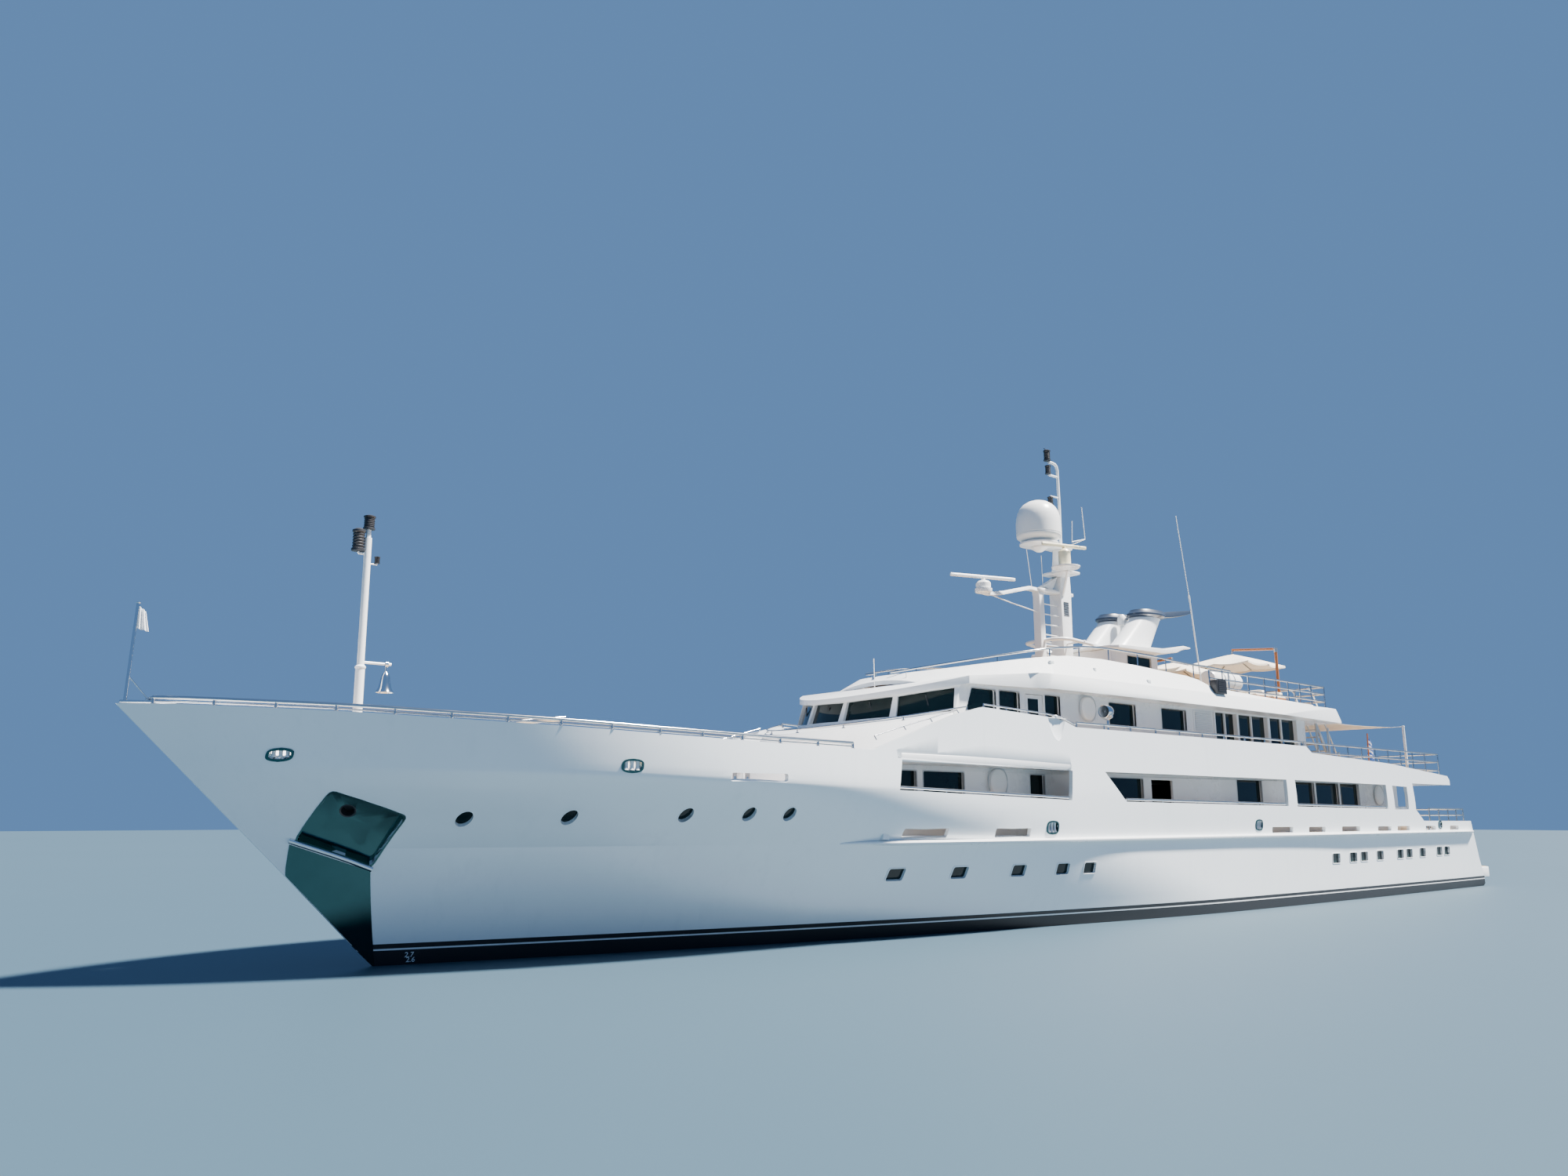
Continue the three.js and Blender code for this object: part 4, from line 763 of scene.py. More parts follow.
# %% [markdown]
# ## Working on the hull's own surface
# Portholes, fairleads and the anchor's pocket all follow the curve of the plating.
# One function finds a point on the hull at a station and a level, moved out along
# its normal. Frames, panes and cutting tools are then rings of such points.

# %% Points, frames, panes and cutters on the hull


def on_hull(s, z, sign, out=0.0):
    step = 0.05
    along = (half_breadth(s + step, z) - half_breadth(s - step, z)) / (2 * step)
    flare = (half_breadth(s, z + step) - half_breadth(s, z - step)) / (2 * step)
    normal = Vector((along, 1.0, -flare)).normalized()
    place = at(s, half_breadth(s, z), z) + normal * out * SCALE
    return Vector((place.x, place.y * sign, place.z))


def hull_ring_of(outline, sign, grow, out):
    centre = Vector((sum(s for s, _ in outline) / len(outline), sum(z for _, z in outline) / len(outline)))
    points = []
    for s, z in outline:
        away = Vector((s, z)) - centre
        spot = centre + away * (1 + grow / away.length)
        points.append(on_hull(spot.x, spot.y, sign, out))
    return points


def hull_cutter(outline, sign, depth, outside=0.25):
    return closed_skin([hull_ring_of(outline, sign, 0, -depth), hull_ring_of(outline, sign, 0, outside)])


def hull_frame(outline, sign, width, proud, depth):
    rings = [hull_ring_of(outline, sign, grow, out)
             for grow, out in ((0, -depth), (0, proud), (width, proud), (width, -0.015), (0, -depth))]
    return closed_skin(rings)


def hull_pane(outline, sign, depth, thickness=0.02):
    return closed_skin([hull_ring_of(outline, sign, 0.012, -depth),
                        hull_ring_of(outline, sign, 0.012, -depth - thickness)])


def oval(s, z, half_s, half_z, power=1.0, steps=28):
    points = []
    for step in range(steps):
        turn = 2 * math.pi * step / steps
        c, n = math.cos(turn), math.sin(turn)
        points.append((s + half_s * math.copysign(abs(c) ** power, c),
                       z + half_z * math.copysign(abs(n) ** power, n)))
    return points


# %% [markdown]
# ## Openings in the plating
# Round portholes light the crew cabins forward, and two rows of small square
# windows the guests' cabins. Freeing ports above the rub rail let water off the
# deck, and oval fairleads guide the mooring lines. Each is a hole cut right
# through, so its edge has the plate's real thickness.

# %% Tables of the openings, and the cutters for one side
PORTHOLES = [(0.96, 2.9), (2.92, 2.93), (5.33, 2.98), (6.8, 3.0), (7.82, 3.0)]
PORTHOLE_RADIUS = 0.15
FORE_WINDOWS = [(11.6, 1.55), (13.61, 1.55), (15.67, 1.55), (17.36, 1.55), (18.47, 1.55)]
AFTER_WINDOWS = [(32.9, 1.49), (34.25, 1.5), (35.15, 1.51), (36.52, 1.52), (38.35, 1.53), (39.2, 1.54),
                 (40.5, 1.55), (42.23, 1.57), (43.03, 1.57)]
# fore end, after end, lower edge, upper edge
FREEING_PORTS = [
    (5.92, 7.4, 3.69, 3.87), (11.3, 12.76, 2.43, 2.66), (14.44, 15.8, 2.42, 2.65),
    (28.37, 29.81, 2.415, 2.61), (30.93, 32.16, 2.415, 2.6), (33.44, 34.9, 2.415, 2.6),
    (36.45, 37.64, 2.415, 2.59), (38.22, 39.4, 2.415, 2.59), (40.96, 42.01, 2.415, 2.58),
    (43.52, 44.49, 2.415, 2.58),
]
# place s, level, half length, half height
FAIRLEADS = [
    (-2.48, 4.08, 0.165, 0.08), (3.66, 3.96, 0.19, 0.1), (16.68, 2.66, 0.21, 0.14),
    (27.5, 2.68, 0.19, 0.14), (42.45, 2.62, 0.15, 0.12),
]
FORE_WINDOW_HALF = (0.25, 0.15)
AFTER_WINDOW_HALF = (0.29, 0.17)
ANCHOR_POCKET = [(-1.49, 3.42), (-0.08, 2.95), (-0.39, 1.98), (-1.79, 2.49)]
POCKET_DEPTH = 0.17

porthole_shapes = [oval(s, z, PORTHOLE_RADIUS, PORTHOLE_RADIUS) for s, z in PORTHOLES]
window_shapes = []
for places, (half_s, half_z) in ((FORE_WINDOWS, FORE_WINDOW_HALF), (AFTER_WINDOWS, AFTER_WINDOW_HALF)):
    window_shapes += [box_outline(s - half_s, s + half_s, z - half_z, z + half_z, 0.06) for s, z in places]
freeing_shapes = [box_outline(*row, 0.05) for row in FREEING_PORTS]
fairlead_shapes = [oval(s, z, half_s, half_z, 0.6) for s, z, half_s, half_z in FAIRLEADS]


def finer(outline, parts=6):
    """The same outline with points along its sides too."""
    result = []
    for first, second in zip(outline, outline[1:] + outline[:1]):
        for step in range(parts):
            t = step / parts
            result.append((first[0] + (second[0] - first[0]) * t, first[1] + (second[1] - first[1]) * t))
    return result


pocket_shape = finer(rounded(ANCHOR_POCKET, 0.1, 3), 3)

# %% [markdown]
# ## The skin of the hull
# Everything below the rub rail is one skin, cut for the thruster's tunnel, the
# cabin windows and the lower corner of the anchor's pocket.

# %% The hull below the rub rail
LEVELS = [-2.5, -2.47, -2.4, -2.3, -2.15, -1.95, -1.7, -1.4, -1.1, -0.8, -0.5, -0.2, 0.1, 0.4,
          0.7, 1.0, 1.3, 1.6, 1.9, 2.15, RUB_RAIL]
BOW_CROWDING = 1.9
STATION_COUNT = 110


def hull_ring(z, count=STATION_COUNT):
    _, stem, end, *_ = lines_at(z)
    port = []
    for step in range(count + 1):
        s = stem + (end - stem) * (step / count) ** BOW_CROWDING if step < count else end
        port.append((s, half_breadth(s, z)))
    ring = [at(s, y, z) for s, y in port]
    return ring + [at(s, -y, z) for s, y in reversed(port)]


hull_skin = closed_skin([hull_ring(z) for z in LEVELS])
THRUSTER = {"s": 3.6, "z": -1.3, "radius": 0.32}
WINDOW_DEPTH = 0.1
hull_cuts = [turned(at(THRUSTER["s"], 0, THRUSTER["z"]),
                    [(THRUSTER["radius"] * SCALE, -2.5), (THRUSTER["radius"] * SCALE, 2.5)], 32, (0, 1, 0))]
for side, sign in SIDES:
    hull_cuts += [hull_cutter(shape, sign, WINDOW_DEPTH) for shape in window_shapes]
    hull_cuts.append(hull_cutter(pocket_shape, sign, POCKET_DEPTH + 0.05))
cut_away(hull_skin, joined(hull_cuts))
finish_piece(hull_skin, "hull_skin", "hull_white", ["hull"])
print("hull skin faces:", len(hull_skin.data.polygons))

# %% [markdown]
# ## The ship's sides
# Above the rub rail one plate runs from the stem to the quarter. Its top follows
# the sheer forward and the upper deck's bulwark amidships, and four long openings
# let light into the side decks. Forward the plate stands out to a soft fold above
# the portholes. Openings, small holes, the ledge and the side light's hollow are
# cut one after the other, since cutting tools that touch each other can fail.

# %% The top edge of the side, and the plate below it
SHEER = [(-5.4, 4.98), (-5.07, 4.975), (-4.2, 4.965), (-2.8, 4.905), (-1.6, 4.86), (0, 4.78), (2.2, 4.7),
         (4.2, 4.62), (7.0, 4.535), (9.95, 4.49)]
UPPER_TOP = [(12.8, 5.47), (13.9, 5.73), (17.1, 5.6), (17.8, 5.4), (31.1, 5.38), (31.5, 5.16),
             (38.0, 4.97), (43.7, 4.62), (43.9, 4.46)]
SIDE_TOP = [*SHEER, *UPPER_TOP]
QUARTER_TOP = 2.77
UPPER_END = 43.9
PLATE = 0.12
BOW_COLUMNS = 60
MIDDLE_STEP = 0.25
FORE_END = 9.95


def side_ring(kind, value, sign):
    """Points up the outside of the plate at one place and down its inside."""
    if kind == "bow":
        top_s = FORE_END * value + (1 - value) * -5.0
        top = level_along(SIDE_TOP, top_s)
        place = lambda z: lines_at(z)[1] * (1 - value) + FORE_END * value
    elif kind == "middle":
        top = level_along(SIDE_TOP, value)
        place = lambda z: value
    else:
        top = QUARTER_TOP
        place = lambda z: UPPER_END + 0.02 + (lines_at(z)[2] - UPPER_END - 0.02) * value
    knee = min(level_along(KNUCKLE_LINE, place(KNUCKLE)), RUB_RAIL + (top - RUB_RAIL) * 0.6)
    levels = [RUB_RAIL + (knee - RUB_RAIL) * part for part in (0, 0.25, 0.5, 0.75, 0.9, 0.97, 1)]
    levels += [knee + (top - knee) * part for part in (0.04, 0.12, 0.3, 0.55, 0.8, 1)]
    outside = [at(place(z), sign * half_breadth(place(z), z), z) for z in levels]
    inside = [at(place(z), sign * max(0.004, half_breadth(place(z), z) - PLATE), z) for z in levels]
    return outside + inside[::-1]


def side_solid(sign):
    columns = [("bow", (step / BOW_COLUMNS) ** 1.7) for step in range(BOW_COLUMNS)]
    spots = {FORE_END, UPPER_END, *(s for s, _ in UPPER_TOP)}
    spot = FORE_END
    while spot < UPPER_END:
        spots.add(round(spot, 3))
        spot += MIDDLE_STEP
    columns += [("middle", s) for s in sorted(spots)]
    columns += [("end", step / 8) for step in range(9)]
    return closed_skin([side_ring(kind, value, sign) for kind, value in columns])


# fore head, fore sill, after sill and after head of each opening, as (s, z)
SIDE_OPENINGS = [
    [(10.91, 4.29), (10.81, 3.57), (17.5, 3.39), (17.56, 4.19)],
    [(19.05, 4.2), (20.05, 3.37), (29.5, 3.3), (29.45, 4.19)],
    [(30.04, 4.19), (30.13, 3.29), (37.41, 3.24), (37.36, 4.15)],
    [(37.94, 4.13), (38.05, 3.22), (39.37, 3.23), (39.32, 4.11)],
]
AFT_OPENING = [(39.9, 4.25), (40.05, 3.22), (40.8, 2.78), (47, 2.76), (47, 4.25)]
BROW_ENDS = (10.76, 17.5)
BROW_STEPS = 24
# place s, half length and depth at each level, down to a point
SIDELIGHT_HOLLOW = [(16.95, 0.38, 0.085, 5.62), (16.95, 0.34, 0.08, 5.45), (16.96, 0.25, 0.065, 5.25),
                    (16.98, 0.15, 0.04, 5.08), (17.0, 0.03, 0.01, 4.99)]
SIDELIGHT_S, SIDELIGHT_LEVEL = 16.95, 5.6


def brow_groove(sign):
    """A wedge that leaves a narrow sloping ledge over the first opening."""
    rings = []
    for step in range(BROW_STEPS + 1):
        s = BROW_ENDS[0] + (BROW_ENDS[1] - BROW_ENDS[0]) * step / BROW_STEPS
        level = 4.53 - 0.0205 * (s - BROW_ENDS[0])
        rings.append([on_hull(s, level + rise, sign, out)
                      for rise, out in ((0.04, 0.03), (-0.19, -0.11), (-0.195, -0.11), (-0.203, 0.03))])
    return closed_skin(rings)


def sidelight_hollow(sign, grown=0.0, front=0.05):
    """A half round hollow that runs down to a point under the side light."""
    rings = []
    for s, half, deep, z in SIDELIGHT_HOLLOW:
        half, deep = half + grown, deep + grown
        ring = [(-1, front),
                *((-math.cos(math.pi * k / 8), -deep * math.sin(math.pi * k / 8)) for k in range(9)),
                (1, front)]
        rings.append([on_hull(s + part * half, z - grown, sign, out) for part, out in ring])
    return closed_skin(rings)


def side_cutters(sign):
    near, far = (3.0, 5.5) if sign > 0 else (-5.5, -3.0)
    openings = [side_shape(corners, near, far) for corners in (*SIDE_OPENINGS, AFT_OPENING)]
    holes = [hull_cutter(shape, sign, 0.3)
             for shape in (*porthole_shapes, *freeing_shapes, *fairlead_shapes, pocket_shape)]
    return [joined(openings), joined(holes), brow_groove(sign), sidelight_hollow(sign)]


for side, sign in SIDES:
    plate = side_solid(sign)
    for cutter in side_cutters(sign):
        plate = cut_away(plate, cutter)
    finish_piece(plate, f"side_plate_{side}", "hull_white",
                 [f"{node}_{side}" for node in ("side_screen", "fore_bulwark", "upper_bulwark")])
    lining = cut_away(sidelight_hollow(sign, 0.025, -0.02), sidelight_hollow(sign))
    edge = half_breadth(SIDELIGHT_S, SIDELIGHT_LEVEL)
    drum = turned(at(SIDELIGHT_S, sign * (edge - 0.055), SIDELIGHT_LEVEL),
                  [(0.001, 0.0), (0.034, 0.0), (0.036, 0.004), (0.036, 0.04), (0.032, 0.045), (0.001, 0.046)])
    lid = slab(16.5, 17.4, *between(sign, edge - 0.11, edge - 0.005), 5.604, 5.622)
    finish_piece([lining, drum, lid], f"side_light_{side}", "house_white")
    print(plate.name, "faces:", len(plate.data.polygons))

# %% [markdown]
# ## Fittings in the plating
# A porthole has a dark glass disc set back behind a thin frame. A fairlead is a
# cast oval ring with upright rollers. The anchor stows in a pocket lined with
# polished steel, and more polished steel down the stem keeps its flukes off the
# paint.

# %% Panes and frames of portholes and windows
for side, sign in SIDES:
    panes = [hull_pane(shape, sign, 0.085) for shape in porthole_shapes]
    panes += [hull_pane(shape, sign, WINDOW_DEPTH - 0.035) for shape in window_shapes]
    finish_piece(panes, f"hull_panes_{side}", "dark_glass")
    frames = [hull_frame(shape, sign, 0.02, 0.006, 0.1) for shape in porthole_shapes]
    frames += [hull_frame(shape, sign, 0.03, 0.014, 0.09) for shape in window_shapes]
    finish_piece(frames, f"hull_window_frames_{side}", "house_white", slot="hull_paint")
    # The fairlead rims' dark green colour is a painted reflection of water on steel.
    rims = [hull_frame(shape, sign, 0.045, 0.02, 0.14) for shape in fairlead_shapes]
    finish_piece(rims, f"fairlead_rims_{side}", "rim_steel_painted_sea_reflection")
    rollers = {"white_plastic": [], "satin_steel": []}
    for s, z, half_s, half_z in FAIRLEADS:
        for offset in (-1, 0, 1):
            spot = on_hull(s + offset * half_s * 0.64, z, sign, -0.06)
            radius = half_s * 0.32 * SCALE
            tall = half_z * 0.95 * SCALE
            finish = "white_plastic" if s < 10 else "satin_steel"
            rollers[finish].append(turned(spot, [(radius, -tall), (radius * 0.72, -tall * 0.4),
                                         (radius * 0.72, tall * 0.4), (radius, tall)], 14))
    for finish, group in rollers.items():
        finish_piece(group, f"fairlead_rollers_{finish}_{side}", finish, slot="polished_steel")
print("portholes and windows each side:", len(porthole_shapes) + len(window_shapes))

# %% The anchor's pocket, its hawse hole, the rolled lip and the stem plate
LIP = [(-1.9, 2.5), (-1.5, 2.36), (-1.1, 2.22), (-0.75, 2.09), (-0.36, 1.93)]
HAWSE = (-1.08, 2.95, 0.15)
STEM_PLATE_ROWS = 16


def pocket_tray(sign):
    floor = [hull_ring_of(pocket_shape, sign, grow, -POCKET_DEPTH) for grow in (-0.4, -0.27, -0.13, 0.0)]
    rim = [hull_ring_of(pocket_shape, sign, 0.0, 0.012), hull_ring_of(pocket_shape, sign, 0.035, 0.012),
           hull_ring_of(pocket_shape, sign, 0.035, -0.01), hull_ring_of(pocket_shape, sign, 0.012, -0.02)]
    back = [hull_ring_of(pocket_shape, sign, grow, -POCKET_DEPTH - 0.03)
            for grow in (0.012, -0.13, -0.27, -0.4)]
    return closed_skin([*floor, *rim, *back])


def stem_plate(sign):
    rings = []
    for row in range(STEM_PLATE_ROWS + 1):
        v = row / STEM_PLATE_ROWS
        low_part = min(1.0, v / 0.75)
        high_part = max(0.0, (v - 0.75) / 0.25)
        left_z = 0.02 + 1.8 * low_part + 0.6 * high_part
        left_s = lines_at(min(left_z, 1.82))[1] + 0.01 if high_part == 0 else -1.85 - 0.03 * high_part
        right_s, right_z = 0.02 - 0.4 * v, 0.02 + 1.87 * v
        across = [(left_s + (right_s - left_s) * u / 8, left_z + (right_z - left_z) * u / 8)
                  for u in range(9)]
        outer = [on_hull(s, z, sign, 0.012) for s, z in across]
        inner = [on_hull(s, z, sign, -0.012) for s, z in across]
        rings.append(outer + inner[::-1])
    return closed_skin(rings)


for side, sign in SIDES:
    hole = on_hull(HAWSE[0], HAWSE[1], sign, -POCKET_DEPTH)
    outward = (on_hull(HAWSE[0], HAWSE[1], sign) - hole).normalized()
    tray = pocket_tray(sign)
    drill = turned(hole, [(HAWSE[2] * SCALE, -0.1), (HAWSE[2] * SCALE, 0.05)], 28, outward)
    cut_away(tray, drill)
    # The pocket and the stem plate are polished steel. Their dark green colour is a painted reflection of
    # water.
    finish_piece(tray, f"anchor_pocket_{side}", "mirror_steel_painted_sea_reflection", [f"anchor_plate_{side}"])
    radius = HAWSE[2] * SCALE
    # The black cup that closes the hawse hole is painted shade: it stands for the dark inside of the hole,
    # and the real pipe is steel.
    pipe = turned(hole, [(radius, 0.004), (radius * 0.86, 0.0), (radius * 0.86, -0.09), (0.001, -0.09),
                         (0.001, -0.1), (radius * 1.05, -0.1), (radius * 1.05, 0.002), (radius, 0.004)],
                  28, outward)
    finish_piece(pipe, f"hawse_pipe_painted_shade_{side}", "lantern_black", slot="polished_steel")
    lip = tube([[on_hull(s, z, sign, 0.012) for s, z in LIP]], 0.055 * SCALE, 6)
    finish_piece(lip, f"anchor_lip_{side}", "polished_steel")
    finish_piece(stem_plate(sign), f"stem_plate_{side}", "mirror_steel_painted_sea_reflection")

# %% [markdown]
# ## Along the waterline and under water
# A half-round rub rail takes the knocks alongside. Below, each shaft runs in a
# tube and a bracket with two legs.

# %% Rub rails, shaft tubes and brackets
RAIL_ENDS = (9.6, 46.05)
RAIL_STEPS = 90
GREATEST_HALF_BREADTH = 4.24
RAIL_SECTION = [(-0.03, -0.07), (0.08, -0.07), (0.115, -0.04), (0.125, 0.0), (0.115, 0.03), (0.08, 0.055),
                (-0.03, 0.055)]
SHAFT = {"s0": 35.5, "z0": -1.62, "free": 39.38, "s1": 43.4, "z1": -1.85, "y": 1.75, "radius": 0.09}


def rub_rail(sign):
    rings = []
    for step in range(RAIL_STEPS + 1):
        s = RAIL_ENDS[0] + (RAIL_ENDS[1] - RAIL_ENDS[0]) * step / RAIL_STEPS
        swell = min(1.0, 0.05 + (s - RAIL_ENDS[0]) / 1.6, 0.25 + (RAIL_ENDS[1] - s) / 0.35)
        room = min(0.2, GREATEST_HALF_BREADTH - half_breadth(s, RUB_RAIL)) / RAIL_SECTION[3][0]
        rings.append([at(s, sign * (half_breadth(s, RUB_RAIL) + out * swell * room),
                         RUB_RAIL + rise * (0.4 + 0.6 * swell))
                      for out, rise in RAIL_SECTION])
    return closed_skin(rings)


def shaft_level(s):
    return SHAFT["z0"] + (SHAFT["z1"] - SHAFT["z0"]) * (s - SHAFT["s0"]) / (SHAFT["s1"] - SHAFT["s0"])


for side, sign in SIDES:
    finish_piece(rub_rail(sign), f"rub_rail_{side}", "house_white", slot="hull_paint")
    y = SHAFT["y"] * sign
    stern_tube = tube([[at(s, y, shaft_level(s)) for s in (35.5, 37.5, SHAFT["free"])]], 0.165 * SCALE, 5)
    along = (at(43, y, shaft_level(43)) - at(42, y, shaft_level(42))).normalized()
    inner, outer, half = 0.105 * SCALE, 0.19 * SCALE, 0.25 * SCALE
    sleeve = turned(at(42.6, y, shaft_level(42.6)),
                    [(inner, -half), (outer * 0.85, -half), (outer, -half * 0.6), (outer, half * 0.6),
                     (outer * 0.85, half), (inner, half), (inner, -half)], 24, along)
    legs = [rod([(42.6, y + lean * 0.18, shaft_level(42.6) + 0.13), (42.5, y + lean, -0.3)], 0.075 * SCALE, 4)
            for lean in (-0.75, 0.75)]
    finish_piece([stern_tube, sleeve, *legs], f"shaft_gear_{side}", "bottom_dark")

# %% [markdown]
# ## Decks
# Laid teak covers every open deck, with its boards running fore and aft. The
# boards are a pattern in the finish. The deck itself is a thin slab that follows
# the inside of the plating.

# %% Teak decks and the bulkhead under the foredeck
MAIN_DECK = 2.4
FOREDECK = 3.7
UPPER_DECK = 4.45
SUNDECK = 6.93
FORECASTLE_END = 10.9
FOREDECK_TEAK = 3.712


def deck_outline(s0, s1, z, inset, steps=60):
    stations = [s0 + (s1 - s0) * step / steps for step in range(steps + 1)]
    return mirrored([(s, max(0.02, half_breadth(s, z) - inset)) for s in stations])


finish_piece(plan_shape(deck_outline(-3.3, FORECASTLE_END, FOREDECK, PLATE + 0.03), 3.66, FOREDECK_TEAK),
             "foredeck_teak", "teak_deck")
finish_piece(plan_shape(deck_outline(FORECASTLE_END, 45.6, MAIN_DECK, PLATE + 0.01), 2.33, 2.412),
             "main_deck_teak", "teak_deck")
finish_piece(slab(10.7, FORECASTLE_END, -3.75, 3.75, 2.41, 3.68), "forecastle_bulkhead", "house_white")
finish_piece(plan_shape(deck_outline(14.35, 43.7, UPPER_DECK, PLATE + 0.05), 4.452, 4.466), "upper_deck_teak",
             "teak_deck")

# %% [markdown]
# ## Curved fronts
# The bridge front, the wheelhouse, the roof and the sundeck's fairing are all arcs
# across the ship that lean aft as they rise. One function gives the arc, and each
# form is a skin through two such arcs, cut to its outline as seen from the side.

# %% Arcs and leaning forms


def front_arc(centre, corner, half, count=36):
    rise = corner - centre
    radius = (half ** 2 + rise ** 2) / (2 * rise)
    sweep = math.asin(min(1.0, half / radius))
    points = []
    for step in range(count + 1):
        turn = sweep * (1 - 2 * step / count)
        points.append((centre + radius - radius * math.cos(turn), radius * math.sin(turn)))
    return points


def leaning_form(plan, levels):
    """A solid through the same plan at each level; the plan leans with the level."""
    return closed_skin([[at(s, y, z) for s, y in plan(z)] for z in levels])


# %% The bridge front, a rounded breakwater before the wheelhouse


def bridge_plan(inset):
    def plan(z):
        lean = (z - FOREDECK) * 0.85
        return [*front_arc(9.85 + lean + inset, 12.3 + lean * 0.9, 3.85 - inset),
                (14.2, -3.85 + inset), (14.2, 3.85 - inset)]
    return plan


bridge = leaning_form(bridge_plan(0), (FOREDECK + 0.001, 5.9))
BRIDGE_TOP = [(10.2, 5.0), (11.0, 5.14), (12.4, 5.4), (14.0, 5.71)]
bridge_profile = [(8, FOREDECK), (8, 4.9), *BRIDGE_TOP, (14.2, 5.71), (14.2, FOREDECK)]
kept_inside(bridge, side_shape(bridge_profile, -5, 5))
well = kept_inside(leaning_form(bridge_plan(PLATE), (FOREDECK, 6.4)), slab(8, 15, -5, 5, UPPER_DECK, 6.2))
cut_away(bridge, well)
cut_away(bridge, slab(FORECASTLE_END - 0.02, 15, -5, 5, 3, UPPER_DECK + 0.001))
cut_away(bridge, slab(13.4, 15, -5, 5, 3, 7))
soften(bridge, 0.012, 3)
finish_piece(bridge, "bridge_front_shell", "house_white", ["bridge_front"])

# %% The wheelhouse and upper saloon: one wall with its windows cut
HOUSE_AFT, HOUSE_HALF, WALL = 33.0, 3.25, 0.1
ROOF_BELOW = [(12.55, 6.08), (14.3, 6.45), (17.0, 6.5), (35.1, 6.42)]
PANES = 4
# fore edge, after edge, sill, head
UPPER_WINDOWS = [
    (14.32, 15.58, 5.7, 6.37), (15.72, 16.6, 5.66, 6.38), (17.72, 18.42, 5.5, 6.38),
    (20.8, 22.2, 5.62, 6.36), (23.62, 25.04, 5.66, 6.35), (26.76, 28.12, 4.65, 6.4),
    (28.25, 30.2, 4.65, 6.4), (30.36, 32.3, 4.65, 6.4),
]
FIRST_WINDOW_RAKE = 0.27
WING_DOORWAY = (16.85, 17.65, 4.56, 6.36)


def house_plan(inset):
    def plan(z):
        lean = (z - UPPER_DECK) * 0.36
        return [*front_arc(12.35 + lean + inset, 13.45 + lean + inset * 0.6, HOUSE_HALF - inset, 40),
                (HOUSE_AFT - inset, -HOUSE_HALF + inset), (HOUSE_AFT - inset, HOUSE_HALF - inset)]
    return plan


def under_roof(drop=0.001):
    return side_shape([(12, 5.96 - drop), *((s, z - drop) for s, z in ROOF_BELOW), (40, 6.4), (40, 3),
                       (12, 3)], -5, 5)


def window_outline(s0, s1, z0, z1, radius=0.05):
    """A side window; the first one's fore edge leans aft like the front."""
    rake = FIRST_WINDOW_RAKE if s0 < 15 else 0.0
    return rounded([(s0, z0), (s1, z0), (s1, z1), (s0 + rake, z1)], radius, 3)


def pane_corners(index, out, side_gap=0.045, shrink=0.0):
    """The four corners of one front window, moved out along its own normal."""
    points = front_arc(12.9, 14.0, HOUSE_HALF, PANES)
    (s0, y0), (s1, y1) = points[index], points[index + 1]
    length = math.hypot(s1 - s0, y1 - y0)
    ds, dy = (s1 - s0) / length, (y1 - y0) / length
    corners = []
    for part, is_head in ((side_gap, 0), (1 - side_gap, 0), (1 - side_gap, 1), (side_gap, 1)):
        edge_s = s0 if part < 0.5 else s1
        level = 6.1 + (edge_s - 12.9) * 0.22 - shrink if is_head else 5.55 + (edge_s - 12.8) * 0.12 + shrink
        inward = shrink if part < 0.5 else -shrink
        run = part * length + inward
        corners.append(at(s0 + ds * run + dy * out, y0 + dy * run - ds * out, level))
    return corners


house = leaning_form(house_plan(0), (UPPER_DECK + 0.001, 7.0))
cut_away(house, leaning_form(house_plan(WALL), (UPPER_DECK - 1, 8.0)))
kept_inside(house, under_roof())
holes = [closed_skin([pane_corners(index, -0.7), pane_corners(index, 0.7)]) for index in range(PANES)]
for s0, s1, z0, z1 in (*UPPER_WINDOWS, WING_DOORWAY):
    corners = window_outline(s0, s1, z0, z1, 0.05 if z0 > 5 else 0.001)
    holes += [side_shape(corners, 2.8, 4), side_shape(corners, -4, -2.8)]
holes.append(slab(32, 34, -0.75, 0.75, UPPER_DECK + 0.08, 6.25))
cut_away(house, joined(holes))
finish_piece(house, "upper_deckhouse_walls", "house_white", ["upper_deckhouse"])
print("upper deckhouse faces:", len(house.data.polygons))

# %% Glass of the wheelhouse and the upper saloon, set inside the walls
glass = leaning_form(house_plan(WALL + 0.002), (5.3, 6.6))
cut_away(glass, leaning_form(house_plan(WALL + 0.04), (5.0, 7.0)))
kept_inside(glass, slab(12, 14.3, -5, 5, 5.35, 6.6))
kept_inside(glass, under_roof(0.02))
finish_piece(glass, "wheelhouse_panes", "dark_glass", ["wheelhouse_glass"])
for side, sign in SIDES:
    face = HOUSE_HALF - WALL - 0.002
    panes = []
    for s0, s1, z0, z1 in UPPER_WINDOWS:
        panes.append(slab(s0 - 0.04, s1 + 0.04, *between(sign, face, face - 0.035), z0 - 0.04,
                          min(z1 + 0.03, 6.42)))
    finish_piece(panes, f"upper_panes_{side}", "dark_glass", [f"upper_glass_{side}"])

# %% Dark seals round the windows, wipers, and white posts between the saloon's glass doors


def flat_ring(corners, face, sign, width, thick):
    """A thin frame round an (s, z) outline, standing on a side wall."""
    centre = Vector((sum(c[0] for c in corners) / len(corners), sum(c[1] for c in corners) / len(corners)))

    def ring(grow, out):
        points = []
        for s, z in corners:
            away = Vector((s, z)) - centre
            points.append(at(centre.x + away.x + math.copysign(grow, away.x), sign * (face + out),
                             centre.y + away.y + math.copysign(grow, away.y)))
        return points

    rows = [ring(0, -thick), ring(0, 0.008), ring(width, 0.008), ring(width, -0.004), ring(0, -thick)]
    return closed_skin(rows)


